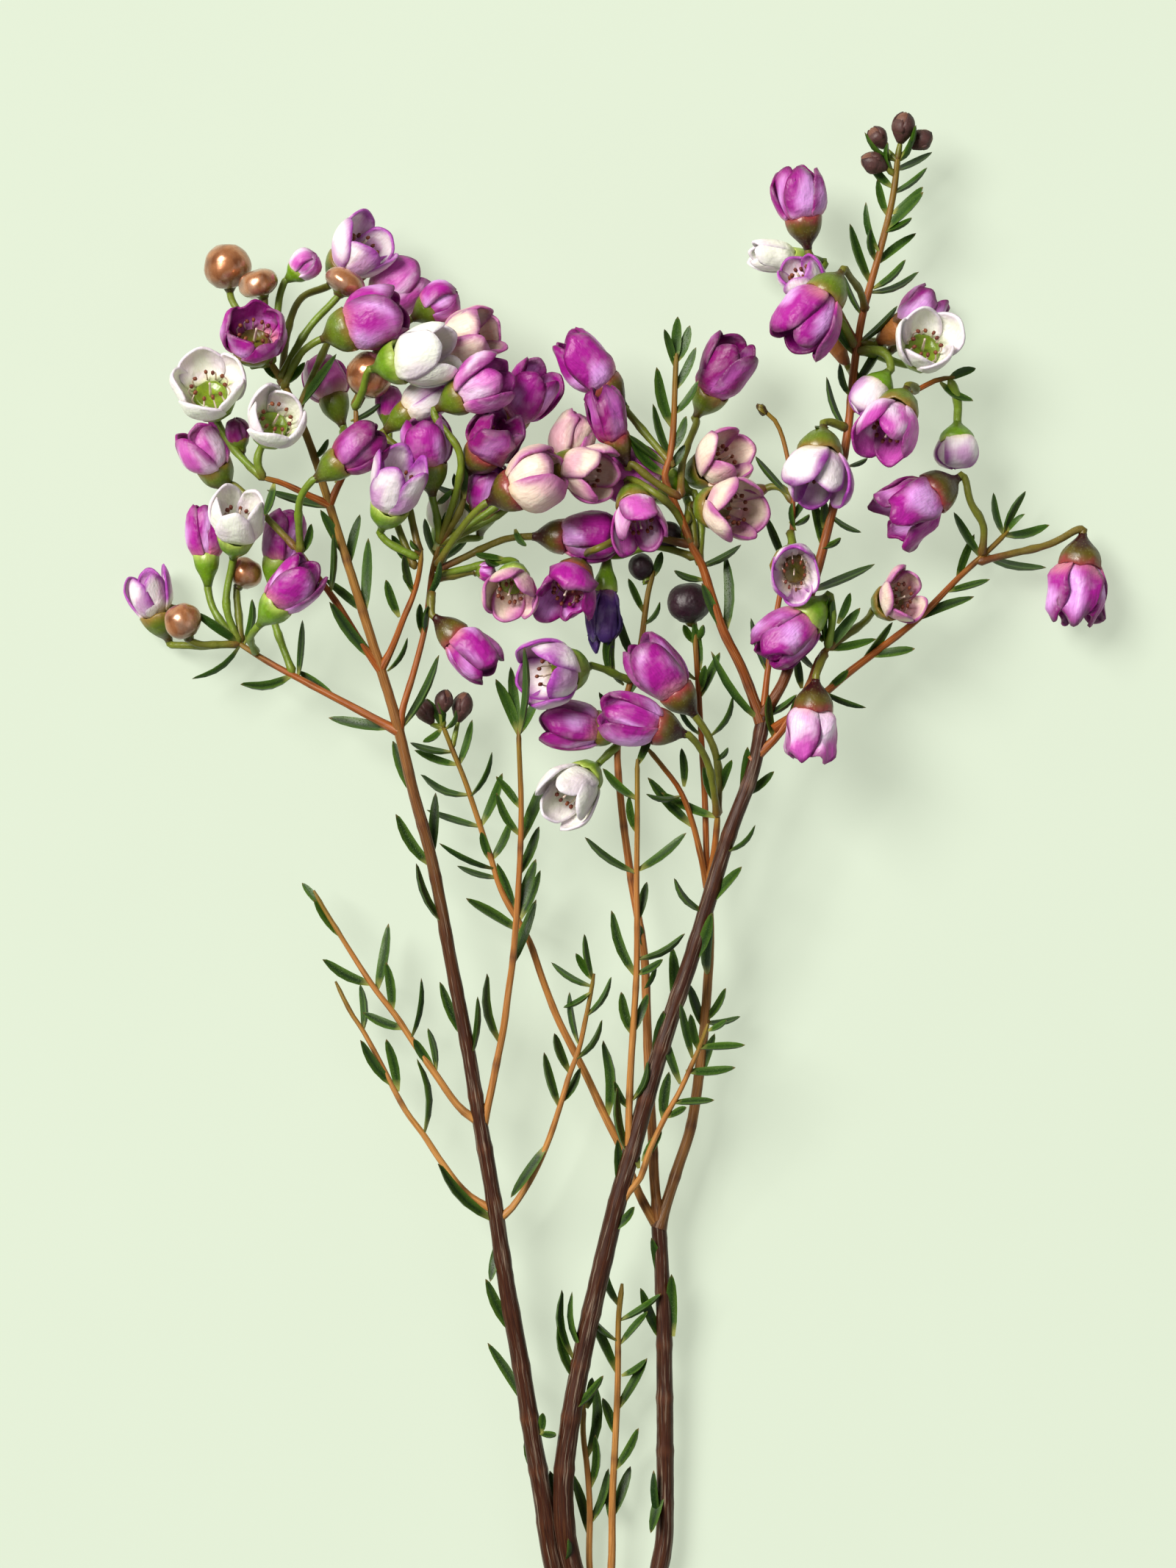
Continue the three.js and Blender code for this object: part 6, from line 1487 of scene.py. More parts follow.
HABITS = {
    "L03": Habit(crumple=0.5), "L08": Habit(breadth=1.12), "L14": Habit(crumple=0.5),
    "L20": Habit(crumple=1.0), "L27": Habit(squeeze=0.8), "M01": Habit(crumple=0.5),
    "M02": Habit(crumple=1.0, breadth=0.85), "M05": Habit(crumple=0.5), "M10": Habit(crumple=0.6, disc=0.5),
    "M11": Habit(crumple=1.3, breadth=0.7), "R01": Habit(crumple=0.4), "R05": Habit(crumple=0.4),
    "R06": Habit(breadth=1.2, disc=0.52), "R10": Habit(crumple=1.0), "R12": Habit(breadth=0.95, squeeze=0.68),
    "R13": Habit(crumple=0.6), "R14": Habit(crumple=0.9, breadth=0.85), "R15": Habit(squeeze=0.8),
    "R16": Habit(crumple=1.1),
}


@dataclass(frozen=True)
class Bloom:
    """One flower: where it is, how large, which way it faces, how far it is open and how it looks."""

    name: str
    middle: Vector
    across: float
    length: float
    facing: Vector
    open: float
    look: Look
    cup: Cup
    stalk: tuple

    @classmethod
    def of_row(cls, row: tuple) -> "Bloom":
        """A bloom from its row of FLOWERS."""
        name, middle, across, length, facing, wide, look, cup, stalk = row
        return cls(name, Vector(middle), across, length, heading(*facing), wide, Look[look], Cup[cup], stalk)

    @property
    def foot(self) -> Vector:
        """Where the petals spring."""
        return self.middle - self.facing * (self.length / 2)

    @property
    def calyx_foot(self) -> Vector:
        """Where the stalk ends and the calyx begins."""
        return self.foot - self.facing * (CALYX_LENGTH + CALYX_GAP)

    @property
    def spin(self) -> float:
        """How far its first petal is turned."""
        return random.Random(self.name).uniform(0, FULL_TURN)

    @property
    def habit(self) -> Habit:
        """What sets it apart."""
        return HABITS.get(self.name, Habit())

    @property
    def place(self) -> Matrix:
        """Its own frame, with z along its axis, squeezed where the bloom is.

        Returns:
            The placing matrix.
        """
        squeeze = Matrix.Scale(self.habit.squeeze, 4, (1.0, 0.0, 0.0))
        centre = Matrix.Translation(self.middle)
        return centre @ squeeze @ centre.inverted() @ facing_frame(self.foot, self.facing, self.spin)


@dataclass(frozen=True)
class BudTraits:
    """What a kind of bud is made of: the look of its petals if it has any, its cup, stalk and colours."""

    look: Look | None = None
    cup: Cup = Cup.olive
    slim: float = 1.0
    light: Colour | None = None
    deep: Colour = rgb(122, 66, 34)


class BudKind(Enum):
    """Shut petals by their look, the round caps of spent flowers, dried cups, and the buds of the tips."""

    violet = BudTraits(Look.orchid)
    purple = BudTraits(Look.plum)
    green = BudTraits(Look.rose, Cup.lime)
    pink = BudTraits(Look.lilac, Cup.lime, 1.15)
    cap = BudTraits(light=rgb(190, 124, 80))
    dark = BudTraits(light=rgb(46, 20, 34), deep=fade(rgb(46, 20, 34), (0, 0, 0), 0.5))
    amber = BudTraits(light=rgb(176, 112, 54))
    husk = BudTraits(light=rgb(132, 120, 58))
    tip = BudTraits(slim=0.62, light=rgb(92, 108, 52), deep=rgb(82, 48, 46))


@dataclass(frozen=True)
class Bud:
    """One bud or cap: its number, its kind, where it is, how large and which way it faces."""

    index: int
    kind: BudKind
    middle: Vector
    across: float
    length: float
    facing: Vector
    stalk: tuple

    @classmethod
    def of_row(cls, index: int, row: tuple) -> "Bud":
        """A bud from its number and its row of BUDS."""
        kind, middle, across, length, facing, stalk = row
        return cls(index, BudKind[kind], Vector(middle), across, length, heading(*facing), stalk)

    @property
    def foot(self) -> Vector:
        """Its lower end."""
        return self.middle - self.facing * (self.length / 2)


# ---- petals


@dataclass
class Petals:
    """Five thick, spoon-shaped petals to a bloom, each edge lying over its neighbour."""

    parts_across: int = 11
    parts_along: int = 10
    thickness: float = 0.42
    ruffle: float = 0.28
    point: float = 0.1
    unevenness: float = 0.045
    layers: tuple[float, ...] = (0.08, -0.08, 0.075, -0.08, 0.0)
    tuck: float = 0.08

    def outline(self, bloom: Bloom, o: float) -> tuple[tuple[float, ...], ...]:
        """The line that a petal's middle follows, out from the axis and up.

        Args:
            bloom: The flower.
            o: How far the petal is open.

        Returns:
            Stops, each a position, a radius and a height.
        """
        r, h = bloom.across / 2, bloom.length
        wide = max(o, 0.0)
        return (
            (0.0, 0.46 * r, -0.05 * h),
            (0.14, (0.68 - 0.12 * wide) * r, 0.02 * h),
            (0.32, (0.90 - 0.14 * wide) * r, (0.19 - 0.03 * o) * h),
            (0.58, (1.03 - 0.09 * wide) * r, (0.54 - 0.12 * o) * h),
            (0.80, (0.86 + 0.19 * o) * r, (0.86 - 0.12 * o) * h),
            (1.0, (0.44 + 0.62 * o) * r, (1.03 - 0.05 * o) * h),
        )

    def colour(self, tone: Tone, x: float, y: float, seed: float) -> Colour:
        """A petal's colour at a place.

        Args:
            tone: The colours.
            x: Across, -1 to 1.
            y: Along, -1 at the claw to 1 at the rim.
            seed: Picks the blushes, which are partly painted highlight.

        Returns:
            The colour.
        """
        reach = math.hypot(x, y)
        patch = noise.noise(Vector((x * 1.1 + seed, y * 1.1, seed * 0.7)))
        # Pale blush patches: partly the petal's own paler colour, partly painted highlight.
        colour = fade(tone.body, tone.blush, ease(-0.04, 0.36, patch) * tone.blush_and_highlight_share)
        blushed = ease(0.6, 0.98, reach + patch * 0.3) * ease(-0.6, 0.1, y)
        colour = fade(colour, tone.rim, blushed * tone.rim_share)
        colour = fade(colour, tone.rim, ease(0.88, 1.0, reach) * ease(-0.5, 0.2, y) * 0.6)
        return fade(colour, tone.claw, 1 - ease(-0.95, -0.25, y + patch * 0.4))

    def petal(self, bloom: Bloom, index: int, draw: random.Random) -> BMesh:
        """One petal, in the bloom's own frame.

        Args:
            bloom: The flower.
            index: Which of the five.
            draw: The source of chance.

        Returns:
            The mesh.
        """
        opened = bloom.open + draw.uniform(-0.26, 0.2) * max(min(bloom.open, 0.8), 0.1)
        stops = self.outline(bloom, opened)
        wide = max(bloom.open, 0.0)
        r = bloom.across / 2
        crumple = bloom.habit.crumple
        breadth = (1.02 - 0.3 * wide) * r * bloom.habit.breadth * draw.uniform(0.92, 1.06)
        turn = FULL_TURN * index / PETALS + draw.uniform(-0.12, 0.12)
        calm = 0.35 + 0.65 * min(1.0, wide / 0.7)
        reach = 1 + calm * (draw.uniform(-0.12, 0.06) - 0.12 * crumple * draw.random())
        lean = calm * draw.uniform(-0.08, 0.11)
        layer = self.layers[index] * r * (1 - 0.5 * wide)
        tuck = self.tuck * r if index == PETALS - 1 else 0.0
        seed = draw.uniform(0, 50)
        bm = blank()
        grain, tint = marks(bm)
        bmesh.ops.create_grid(bm, x_segments=self.parts_across, y_segments=self.parts_along, size=1.0)
        for v in bm.verts:
            x, y = on_disc(v.co)
            along = (y + 1) / 2
            out, up = curve(stops, along)
            out *= 1 + (reach - 1) * ease(0.35, 0.65, along)
            swing = x * breadth / max(out, 0.5 * r)
            out *= 1 - 0.07 * x * x + lean * along
            out += layer - tuck * x
            up += self.point * bloom.length * along * along * (0.4 - abs(x))
            wave = noise.noise_vector(Vector((x * 1.6 + seed, y * 1.3, seed)))
            edge = ease(0.5, 1.0, math.hypot(x, y))
            out += wave.x * (self.ruffle * edge + 1.5 * crumple * along)
            up += wave.y * (self.ruffle * edge + 1.4 * crumple * along)
            swing += wave.z * 0.25 * crumple * along
            v.co = (out * math.cos(turn + swing), out * math.sin(turn + swing), up)
            v[grain] = (x * breadth, along * bloom.length * 1.5, seed)
            v[tint] = (*self.colour(bloom.look.value, x, y, seed), 1.0)
        thicken(bm, 0, self.thickness)
        return bm

    def bloom(self, growth: Growth, bloom: Bloom) -> None:
        """Adds one flower's petals.

        Args:
            growth: The piece that takes them.
            bloom: The flower.
        """
        draw = random.Random("petals " + bloom.name)
        for index in range(PETALS):
            bm = self.petal(bloom, index, draw)
            ripple(bm, self.unevenness * bloom.across, 4.5, bloom.spin)
            growth.add(moved(bm, bloom.place))

    def build(self, blooms: Sequence[Bloom]) -> list[bpy.types.Object]:
        """Builds the petals, one piece for each tone.

        Args:
            blooms: Every flower.

        Returns:
            The pieces.
        """
        finishes = {
            "white_petal": PetalFinish("white_petals", (0.9, 1.0, 0.7), rgb(232, 232, 216), 0.4),
            "blush_petal": PetalFinish("blush_petals", (1.0, 0.6, 0.6), rgb(226, 196, 196), 0.42),
            "magenta_petal": PetalFinish("magenta_petals", (1.0, 0.35, 0.8), rgb(176, 130, 172), 0.4),
            "violet_petal": PetalFinish("violet_petals", (0.6, 0.4, 1.0), rgb(180, 170, 214), 0.45),
        }
        pieces = []
        for slot, finish in finishes.items():
            growth = Growth(finish.name)
            chosen = [b for b in blooms if tone_in_frame(b.name) == slot]
            for bloom in chosen:
                self.bloom(growth, bloom)
            nodes = [f"corolla_{b.name}" for b in chosen]
            pieces.append(growth.finish(finish.material(), slot, nodes, crease=180))
        return pieces


def tone_in_frame(name: str) -> str:
    """The material slot that the frame gives a flower's corolla."""
    return next(p["material_slot"] for p in frame["record"]["subparts"] if p["node"] == f"corolla_{name}")


# ---- stalks and calyxes


@dataclass
class Calyxes:
    """Stalks that widen into smooth, faintly ribbed, top-shaped calyxes with a rim of five low lobes."""

    stems: StemMap
    sides: int = 8
    segments: int = 20
    rim_share: float = 0.345
    ribs: int = 10
    rib: float = 0.025
    lobe: float = 0.55
    root_swell: float = 0.5
    joint_swell: float = 0.22
    joint_at: float = 0.45
    green: Colour = rgb(112, 138, 32)
    red: Colour = rgb(112, 64, 26)
    stalk_red: dict = field(default_factory=lambda: {Cup.lime: -0.12, Cup.olive: 0.22, Cup.wine: 0.42})

    def stalk(
        self, points: Sequence[Sequence[float]], foot: Vector, facing: Vector, cup: Cup, seed: str,
        slim: float = 1.0, top: float = STALK_RADIUS,
    ) -> BMesh:
        """A stalk from its stem to the foot of what it carries.

        Args:
            points: Its root and the points between.
            foot: Where it ends.
            facing: The direction it ends in.
            cup: How the calyx on it is coloured.
            seed: Names the draw.
            slim: Scales its thickness.
            top: Its radius at its upper end.

        Returns:
            The mesh.
        """
        draw = random.Random("stalk " + seed)
        root = Vector(points[0])
        reach = (foot - root).length
        ends = [foot - facing * min(1.6, reach * 0.3), foot + facing * 0.4]
        line = relaxed(smooth_line([*points, *ends], 0.8), 14)
        count = len(line) - 1
        stem_radius = self.stems.nearest(root)[2]
        radii = []
        for k in range(count + 1):
            share = k / count
            size = STALK_RADIUS * slim * (1 + self.root_swell * hump(share * reach, 1.2))
            size = min(size, (0.62 + 0.7 * share * reach / stem_radius) * stem_radius)
            size *= 1 + self.joint_swell * hump((share - self.joint_at) * reach, 0.8)
            radii.append(size + (top - size) * ease(0.8, 1.0, share))
        bm = tube(line, radii, self.sides, draw.uniform(0, 90))
        ripple(bm, 0.05, 1.0, draw.uniform(0, 9))
        redness = draw.uniform(-0.3, 0.3) + self.stalk_red[cup]
        grain, _ = marks(bm)
        start = min(v[grain].z for v in bm.verts)
        span = max(reach, 1.0)

        def shade(g: Vector) -> Colour:
            """Redder towards the stalk's root."""
            low = 1 - ease(0.0, 0.4, (g.z - start) / span)
            return fade(self.green, self.red, max(0.0, redness + 0.5 * low))

        stain(bm, shade)
        return bm

    def funnel(self, foot: Vector, facing: Vector, length: float, rim: float, cup: Cup, seed: str) -> BMesh:
        """A calyx.

        Args:
            foot: Its lower end.
            facing: Its axis.
            length: Its length.
            rim: The radius of its rim.
            cup: Its colours.
            seed: Names the draw.

        Returns:
            The mesh.
        """
        draw = random.Random("calyx " + seed)
        neck = STALK_RADIUS * 1.12
        stops = (
            (0.0, neck, 0.0), (0.14, neck * 1.25, 0.13 * length), (0.36, rim * 0.58, 0.36 * length),
            (0.6, rim * 0.88, 0.64 * length), (0.84, rim, length), (0.92, rim * 0.92, length * 1.0),
            (1.0, rim * 0.66, length * 0.86),
        )
        bm = spun(rounded(stops, 11), self.segments)
        offset = draw.uniform(0, FULL_TURN)
        for v in bm.verts:
            turn = math.atan2(v.co.y, v.co.x)
            swell = 1 + self.rib * math.cos(self.ribs * turn + offset) * ease(0.1, 0.5, v.co.z / length)
            lobed = (0.5 + 0.5 * math.cos(PETALS * turn + offset)) ** 2
            lobe = self.lobe * ease(0.9, 1.0, v.co.z / length) * lobed
            v.co = (v.co.x * swell, v.co.y * swell, v.co.z + lobe)
        ripple(bm, 0.12, 2.2, draw.uniform(0, 9))
        low, middle, top, run = cup.value
        streak = draw.uniform(0, 20)

        def shade(g: Vector) -> Colour:
            """The calyx's colour: its foot, its middle and its rim run into each other."""
            h = g.z / length + 0.16 * noise.noise(Vector((g.x * 0.5 + streak, g.y * 0.5, 0)))
            return fade(fade(low, middle, ease(run - 0.2, run + 0.2, h)), top, ease(0.72, 1.0, h))

        stain(bm, shade)
        grain, _ = marks(bm)
        for v in bm.verts:
            v[grain] = v[grain] + Vector((streak * 3, 0, 0))
        return moved(bm, facing_frame(foot, facing, draw.uniform(0, FULL_TURN)))

    def build(self, blooms: Sequence[Bloom], buds: Sequence[Bud]) -> list[bpy.types.Object]:
        """Builds every stalk and calyx, those of the buds too.

        Args:
            blooms: Every flower.
            buds: Every bud and cap.

        Returns:
            The two pieces.
        """
        stalks, cups = Growth("stalks"), Growth("calyxes")
        tall, top = CALYX_LENGTH + CALYX_GAP, STALK_RADIUS * 1.1
        for b in blooms:
            stalks.add(self.stalk(b.stalk, b.calyx_foot, b.facing, b.cup, b.name, top=top))
            cups.add(self.funnel(b.calyx_foot, b.facing, tall, b.across * self.rim_share, b.cup, b.name))
        for b in buds:
            cup, slim, seed = b.kind.value.cup, b.kind.value.slim, f"bud {b.index}"
            stalks.add(self.stalk(b.stalk, b.foot, b.facing, cup, seed, slim, STALK_RADIUS * slim))
            if b.kind.value.look:
                cups.add(self.funnel(b.foot, b.facing, b.length * 0.44, b.across * 0.42, cup, seed))
            elif b.kind in (BudKind.cap, BudKind.dark):
                foot = b.foot - b.facing * 0.5
                cups.add(self.funnel(foot, b.facing, b.length * 0.3, b.across * 0.26, cup, seed))
        skin = SkinFinish("calyx_skin", 0.36, 0.12, 2.1, rgb(176, 186, 110))
        bark = SkinFinish("stalk_skin", 0.45, 0.05, 2.6, rgb(160, 150, 90))
        return [
            stalks.finish(bark.material(), "bark_and_leaf", ("leafy_stem",)),
            cups.finish(skin.material(), "bark_and_leaf", ("leafy_stem",), crease=180),
        ]


# ---- the hearts of the flowers


@dataclass
class Hearts:
    """What an open flower holds: a glossy disc, ten stamens leaning in, and one style."""

    least_open: float = 0.45
    ring_share: float = 0.5
    bow_share: float = 0.07
    notch: float = 0.07
    thread_radius: float = 0.17
    anther_radius: float = 0.5
    anther_shape: tuple[float, ...] = (0.85, 0.7, 1.1)
    anther: Colour = rgb(104, 40, 28)
    ripe: Colour = rgb(150, 84, 40)
    filament: Colour = rgb(226, 206, 196)
    lime: Colour = rgb(124, 152, 28)
    dark: Colour = rgb(104, 84, 30)
    red: Colour = rgb(122, 50, 52)
    style: Colour = rgb(190, 196, 120)

    def disc(self, bloom: Bloom) -> BMesh:
        """The nectar disc, dished, with a raised edge.

        Args:
            bloom: The flower.

        Returns:
            The mesh.
        """
        r = bloom.across / 2 * bloom.habit.disc
        low = 0.10 * bloom.length
        profile = (
            (0.0, low), (0.3 * r, low + 0.02), (0.62 * r, low + 0.12), (0.86 * r, low + 0.42), (r, low + 0.5),
            (1.12 * r, low + 0.2), (1.15 * r, low - 0.4), (0.6 * r, low - 0.9), (0.0, low - 1.0),
        )
        bm = spun(profile, 20)
        for v in bm.verts:
            turn = math.atan2(v.co.y, v.co.x)
            v.co.z += self.notch * math.cos(STAMENS * turn) * ease(0.5 * r, r, v.co.xy.length)
        green = {Cup.lime: self.lime, Cup.olive: self.dark, Cup.wine: self.red}[bloom.cup]
        stain(bm, lambda g: fade(fade(green, self.lime, 0.35), green, ease(0.1, 0.9, g.xy.length / r)))
        return bm

    def stamens(self, bloom: Bloom, threads: Growth, anthers: Growth, place: Matrix) -> None:
        """Adds the ten stamens and the style.

        Args:
            bloom: The flower.
            threads: Takes the filaments and the style.
            anthers: Takes the anthers.
            place: The flower's frame.
        """
        draw = random.Random("stamens " + bloom.name)
        r = bloom.across / 2
        low = 0.12 * bloom.length
        top = (0.36 + 0.3 * bloom.open) * bloom.length
        half_way = Vector((0, 0, (low + top) / 2))
        for k in range(STAMENS):
            turn = FULL_TURN * (k + draw.uniform(-0.18, 0.18)) / STAMENS
            out = Vector((math.cos(turn), math.sin(turn), 0))
            bow = r * self.ring_share * (0.86 + 0.1 * bloom.open)
            head = out * bow * draw.uniform(0.86, 1.0) + Vector((0, 0, top + draw.uniform(-0.3, 0.4)))
            root = out * r * self.ring_share + Vector((0, 0, low))
            line = smooth_line([root, out * r * (self.ring_share + self.bow_share) + half_way, head], 0.7)
            bm = tube(line, [self.thread_radius - 0.06 * i / len(line) for i in range(len(line))], 5)
            stain(bm, lambda g: self.filament)
            threads.add(moved(bm, place))
            bm = blank()
            bmesh.ops.create_icosphere(bm, subdivisions=1, radius=self.anther_radius)
            bmesh.ops.scale(bm, vec=self.anther_shape, verts=bm.verts)
            note_grain(bm, Vector((turn, 0, 0)))
            tone = fade(self.anther, self.ripe, draw.random() * 0.6)
            stain(bm, lambda g: tone)
            tilt = Matrix.Rotation(turn, 4, "Z") @ Matrix.Rotation(draw.uniform(-0.9, 0.2), 4, "Y")
            anthers.add(moved(bm, place @ Matrix.Translation(head) @ tilt))
        sway = Vector((draw.uniform(-0.5, 0.5), draw.uniform(-0.5, 0.5), 0))
        line = smooth_line([(0, 0, low - 0.2), half_way + sway * 0.4, Vector((0, 0, top + 0.9)) + sway], 0.6)
        count = len(line) - 1
        bm = tube(line, [0.3 - 0.17 * i / count for i in range(count)] + [0.2], 7)
        stain(bm, lambda g: fade(self.style, self.filament, ease(0, 2, g.z)))
        threads.add(moved(bm, place))

    def build(self, blooms: Sequence[Bloom]) -> list[bpy.types.Object]:
        """Builds the discs, the threads and the anthers.

        Args:
            blooms: Every flower.

        Returns:
            The three pieces.
        """
        discs, threads, anthers = Growth("discs"), Growth("filaments"), Growth("anthers")
        for bloom in blooms:
            place = bloom.place
            discs.add(moved(self.disc(bloom), place))
            if bloom.open >= self.least_open:
                self.stamens(bloom, threads, anthers, place)
        gloss = SkinFinish("disc_skin", 0.26, 0.4, 1.6, rgb(170, 184, 70), dot_share=0.0, dot_height=0.0)
        thread = SkinFinish("filament_skin", 0.4, 0.05, 3.0, rgb(240, 220, 210), dent=0.03)
        pollen = SkinFinish("anther_skin", 0.55, 0.0, 3.5, rgb(176, 110, 60), dent=0.06)
        return [
            discs.finish(gloss.material(), "bark_and_leaf"),
            threads.finish(thread.material(), "white_petal", crease=180),
            anthers.finish(pollen.material(), "bark_and_leaf", crease=180),
        ]


# ---- buds and caps


@dataclass
class Buds:
    """Closed petals on their calyxes, the shiny caps of spent flowers, and the dark buds of the tips."""

    petals: Petals
    petal_share: float = 0.68
    shut: float = -0.6
    scales: int = 4
    scale_thickness: float = 0.22
    husk_lobe: float = 0.5
    egg_light: Colour = rgb(120, 78, 62)
    scale_tip: Colour = rgb(60, 34, 38)

    def closed(self, growth: Growth, bud: Bud) -> None:
        """Adds a bud's five shut petals.

        Args:
            growth: The piece that takes them.
            bud: The bud.
        """
        tall = bud.length * self.petal_share
        centre = bud.middle + bud.facing * (bud.length - tall) / 2
        traits = bud.kind.value
        name = f"bud{bud.index}"
        shut = Bloom(name, centre, bud.across, tall, bud.facing, self.shut, traits.look, traits.cup, ())
        self.petals.bloom(growth, shut)

    def cap(self, bud: Bud) -> BMesh:
        """A round cap: a slightly flattened ball with a seam near its foot.

        Args:
            bud: What it is.

        Returns:
            The mesh.
        """
        draw = random.Random(f"cap {bud.index}")
        r, length, traits = bud.across / 2, bud.length, bud.kind.value
        stops = (
            (0.0, 0.24 * r, 0.02 * length), (0.12, 0.56 * r, 0.07 * length), (0.2, 0.72 * r, 0.16 * length),
            (0.24, 0.84 * r, 0.2 * length), (0.45, r, 0.46 * length), (0.7, 0.84 * r, 0.78 * length),
            (0.88, 0.45 * r, 0.96 * length), (1.0, 0.0, 0.985 * length),
        )
        bm = spun(rounded(stops, 18), 24)
        ripple(bm, 0.24, 2.6, draw.uniform(0, 9))
        spin = draw.uniform(0, 9)

        def shade(g: Vector) -> Colour:
            """Darker towards the foot and in broad patches."""
            patch = ease(0.0, 0.5, noise.noise(g / 2.2 + Vector((spin, 0, 0)))) * 0.8
            return fade(traits.light, traits.deep, max(1 - ease(0.1, 0.5, g.z / length), patch))

        stain(bm, shade)
        return moved(bm, facing_frame(bud.foot, bud.facing, spin))

    def husk(self, bud: Bud) -> BMesh:
        """A dried, empty cup.

        Args:
            bud: What it is.

        Returns:
            The mesh.
        """
        draw = random.Random(f"husk {bud.index}")
        r, length, traits = bud.across / 2, bud.length, bud.kind.value
        stops = (
            (0.0, 0.22 * r, 0.0), (0.3, 0.6 * r, 0.3 * length), (0.6, 0.98 * r, 0.8 * length),
            (0.75, r, length), (0.82, 0.86 * r, 0.98 * length), (1.0, 0.1 * r, 0.5 * length),
        )
        bm = spun(rounded(stops, 12), 16)
        for v in bm.verts:
            turn = math.atan2(v.co.y, v.co.x)
            v.co.z += self.husk_lobe * math.cos(PETALS * turn) * ease(0.8, 1.0, v.co.z / length)
        ripple(bm, 0.3, 1.6, draw.uniform(0, 9))
        stain(bm, lambda g: fade(traits.deep, traits.light, ease(0.0, 0.6, g.z / length)))
        return moved(bm, facing_frame(bud.foot, bud.facing, 0.0))

    def tip(self, bud: Bud) -> list[BMesh]:
        """A bud of the growing tip: an egg wrapped in four overlapping scales.

        Args:
            bud: What it is.

        Returns:
            The meshes.
        """
        draw = random.Random(f"tip {bud.index}")
        r, length, traits = bud.across / 2, bud.length, bud.kind.value
        place = facing_frame(bud.foot, bud.facing, draw.uniform(0, FULL_TURN))
        stops = (
            (0.0, 0.3 * r, -0.1 * length), (0.3, 0.84 * r, 0.25 * length), (0.55, 0.9 * r, 0.55 * length),
            (0.85, 0.5 * r, 0.9 * length), (1.0, 0.0, length),
        )
        bulge = ((0.0, 0.32 * r), (0.35, 0.93 * r), (0.62, r), (0.9, 0.66 * r), (1.0, 0.3 * r))

        def shade(g: Vector) -> Colour:
            """A scale's colour: green at its foot, brown above, dark at its tip."""
            colour = fade(traits.light, traits.deep, ease(0.05, 0.3, g.z / length))
            return fade(colour, self.scale_tip, ease(0.6, 1.0, g.z / length))

        egg = spun(rounded(stops, 12), 16)
        stain(egg, lambda g: fade(traits.deep, self.egg_light, ease(0.3, 1.0, g.z / length)))
        made = [egg]
        for k in range(self.scales):
            scale = blank()
            bmesh.ops.create_grid(scale, x_segments=5, y_segments=6, size=1.0)
            turn = FULL_TURN * k / self.scales
            tall = 0.86 if k % 2 else 1.0
            for v in scale.verts:
                x, y = on_disc(v.co)
                h = (y + 1) / 2
                out = level(bulge, h)
                swing = turn + x * (1 - 0.25 * h)
                v.co = (out * math.cos(swing), out * math.sin(swing), h * length * tall)
            thicken(scale, len(scale.faces) // 2, self.scale_thickness)
            note_grain(scale, Vector((k * 3, bud.index, 0)))
            stain(scale, shade)
            made.append(scale)
        return [moved(bm, place) for bm in made]

    def build(self, buds: Sequence[Bud]) -> list[bpy.types.Object]:
        """Builds every bud, cap, husk and tip bud.

        Args:
            buds: Every one.

        Returns:
            The pieces.
        """
        violet, pale = Growth("bud_petals_magenta"), Growth("bud_petals_white")
        caps, dark, husks, tips = Growth("caps"), Growth("dark_caps"), Growth("husks"), Growth("tip_buds")
        for bud in buds:
            if bud.kind.value.look:
                self.closed(pale if bud.kind is BudKind.pink else violet, bud)
            elif bud.kind is BudKind.cap:
                caps.add(self.cap(bud))
            elif bud.kind is BudKind.dark:
                dark.add(self.cap(bud))
            elif bud.kind is BudKind.tip:
                for bm in self.tip(bud):
                    tips.add(bm)
            else:
                husks.add(self.husk(bud))
        magenta = PetalFinish("bud_magenta", (1.0, 0.35, 0.8), rgb(176, 130, 172), 0.4)
        blush = PetalFinish("bud_lilac", (1.0, 0.8, 0.8), rgb(226, 206, 222), 0.42)
        # The bronze caps carry a little painted sheen.
        bronze = SkinFinish(
            "bronze_cap", 0.26, 0.8, 1.7, rgb(196, 140, 104), metallic=0.45, dent=0.05, dot_share=0.0,
            dot_height=0.0, painted_sheen_share=0.2,
        )
        bloomed = SkinFinish(
            "dark_cap", 0.46, 0.1, 1.9, rgb(98, 62, 84), dent=0.2, dot_share=0.1, dot_height=0.0,
        )
        dried = SkinFinish("dry_husk", 0.5, 0.05, 2.2, rgb(170, 130, 70), dent=0.2)
        grainy = SkinFinish("tip_scale", 0.55, 0.05, 2.8, rgb(150, 104, 84), dent=0.16)
        pieces = [
            violet.finish(magenta.material(), "magenta_petal", crease=180),
            pale.finish(blush.material(), "white_petal", crease=180),
        ]
        for growth, skin in ((caps, bronze), (dark, bloomed), (husks, dried), (tips, grainy)):
            pieces.append(growth.finish(skin.material(), "bark_and_leaf", crease=180))
        return pieces


# ---- the set


@dataclass(frozen=True)
class Lamp:
    """A soft square lamp: its place and side in metres, its power in watts and its colour."""

    name: str
    place: tuple[float, ...]
    size: float
    power: float
    colour: Colour


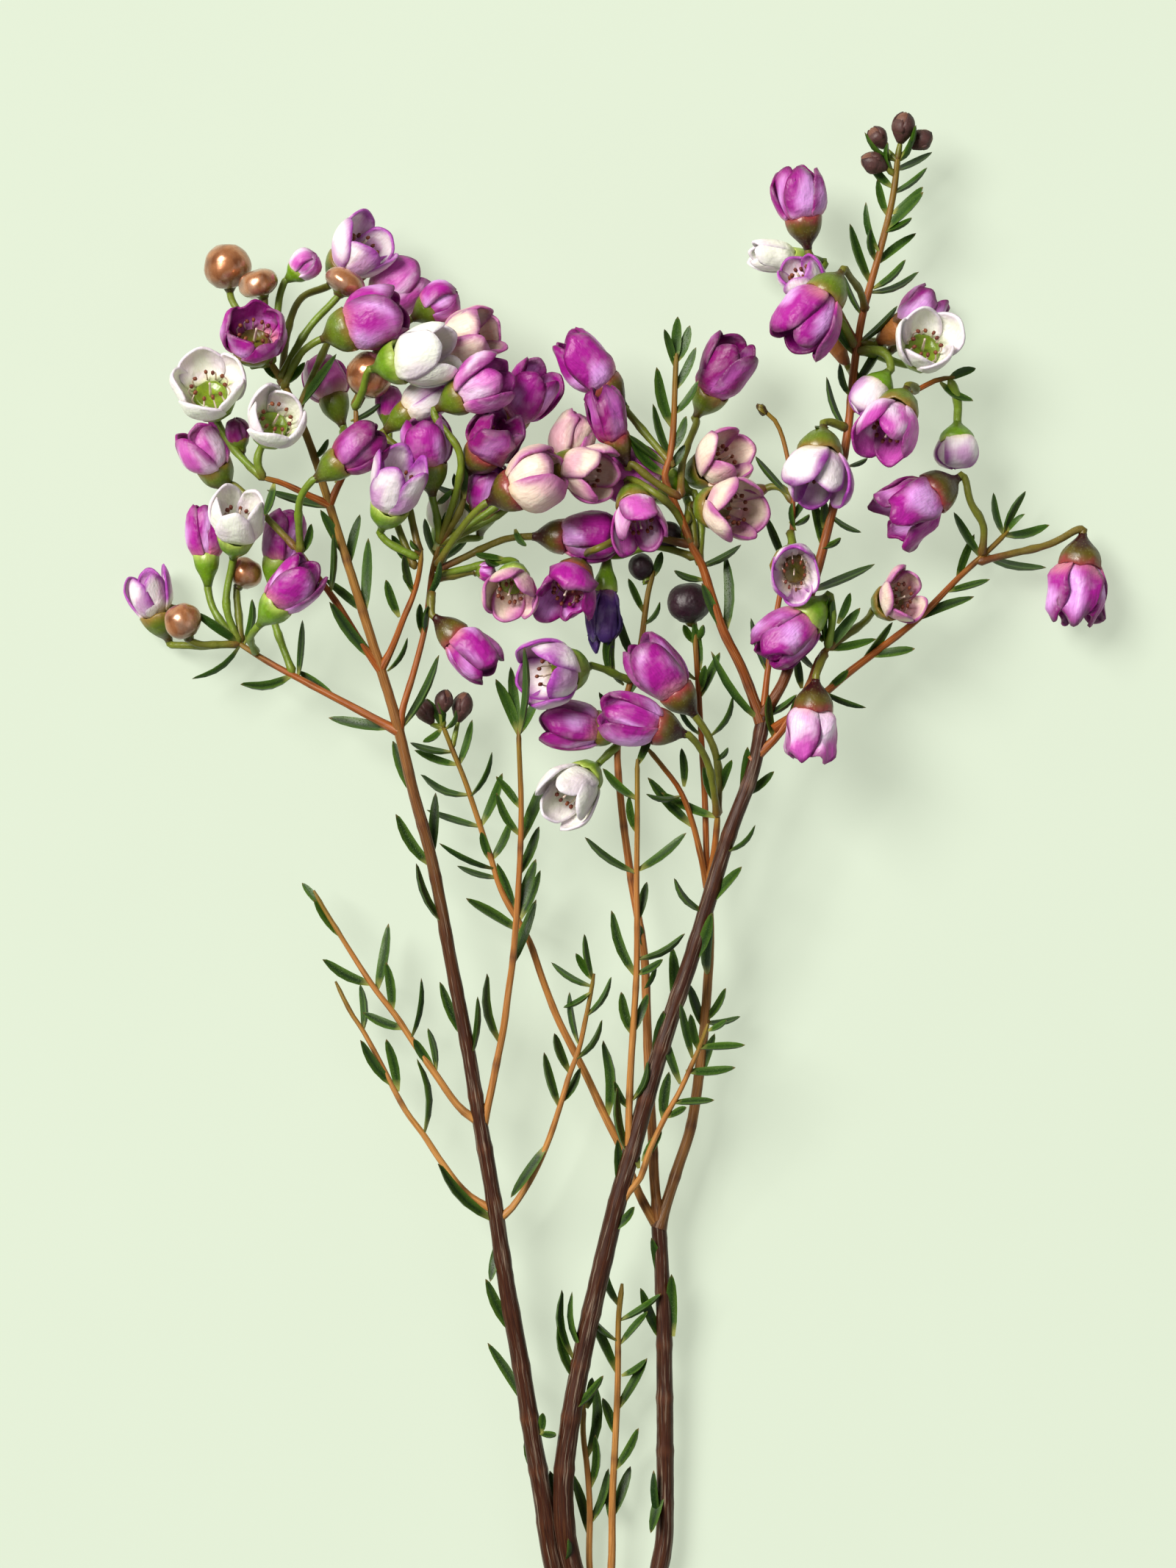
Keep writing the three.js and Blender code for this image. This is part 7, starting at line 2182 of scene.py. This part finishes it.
@dataclass
class Studio:
    """The plain ground, the soft lights and the camera that looks straight down."""

    lens: float = 150.0
    sensor: float = 36.0
    centre: tuple[float, float] = (-0.0045, 0.0290)
    height: float = 1.0807
    ground_size: float = 6.0
    sky: Colour = (0.94, 1.0, 0.9)
    sky_strength: float = 0.16
    lamps: tuple[Lamp, ...] = (
        Lamp("key", (-2.9, 2.1, 4.3), 2.6, 480.0, (1.0, 0.97, 0.9)),
        Lamp("fill", (3.4, -1.5, 4.2), 3.5, 30.0, (0.96, 0.98, 1.0)),
    )

    def ground(self) -> None:
        """Lays the ground."""
        bm = bmesh.new()
        bmesh.ops.create_grid(bm, x_segments=1, y_segments=1, size=self.ground_size / 2)
        mesh = bpy.data.meshes.new("ground")
        bm.to_mesh(mesh)
        bm.free()
        mesh.materials.append(GroundFinish().material())
        ground = bpy.data.objects.new("ground", mesh)
        bpy.context.scene.collection.objects.link(ground)

    def hang(self, lamp: Lamp) -> None:
        """Hangs a lamp that points at the flowers.

        Args:
            lamp: What it is.
        """
        light = bpy.data.lights.new(lamp.name, "AREA")
        light.size, light.energy, light.color = lamp.size, lamp.power, lamp.colour
        hung = bpy.data.objects.new(lamp.name, light)
        aim = Vector((*self.centre, 0.01)) - Vector(lamp.place)
        hung.matrix_world = Matrix.Translation(lamp.place) @ aim.to_track_quat("-Z", "Y").to_matrix().to_4x4()
        bpy.context.scene.collection.objects.link(hung)

    def build(self) -> None:
        """Sets up the ground, the lights, the sky and the camera."""
        scene = bpy.context.scene
        scene.view_settings.view_transform = "Standard"
        self.ground()
        for lamp in self.lamps:
            self.hang(lamp)
        world = bpy.data.worlds.new("sky")
        world.use_nodes = True
        sky = world.node_tree.nodes["Background"]
        sky.inputs["Color"].default_value = (*self.sky, 1.0)
        sky.inputs["Strength"].default_value = self.sky_strength
        scene.world = world
        camera = bpy.data.cameras.new("camera")
        camera.lens, camera.sensor_width, camera.sensor_fit = self.lens, self.sensor, "AUTO"
        camera.clip_start, camera.clip_end = 0.05, 20.0
        eye = bpy.data.objects.new("camera", camera)
        eye.location = (*self.centre, self.height)
        scene.collection.objects.link(eye)
        scene.camera = eye


def main() -> None:
    """Builds the camera and the set, then the plant from its stems to its buds."""
    logging.basicConfig(level=logging.INFO, format="%(name)s: %(message)s")
    Studio().build()
    blooms = [Bloom.of_row(row) for row in FLOWERS]
    buds = [Bud.of_row(index, row) for index, row in enumerate(BUDS)]
    stems = StemMap().survey(blooms)
    petals = Petals()
    made = [Stems().build(), Leaves(stems).build()]
    made += petals.build(blooms)
    made += Calyxes(stems).build(blooms, buds)
    made += Hearts().build(blooms)
    made += Buds(petals).build(buds)
    LOG.info("%d pieces", len(made))


if __name__ == "__main__":
    main()
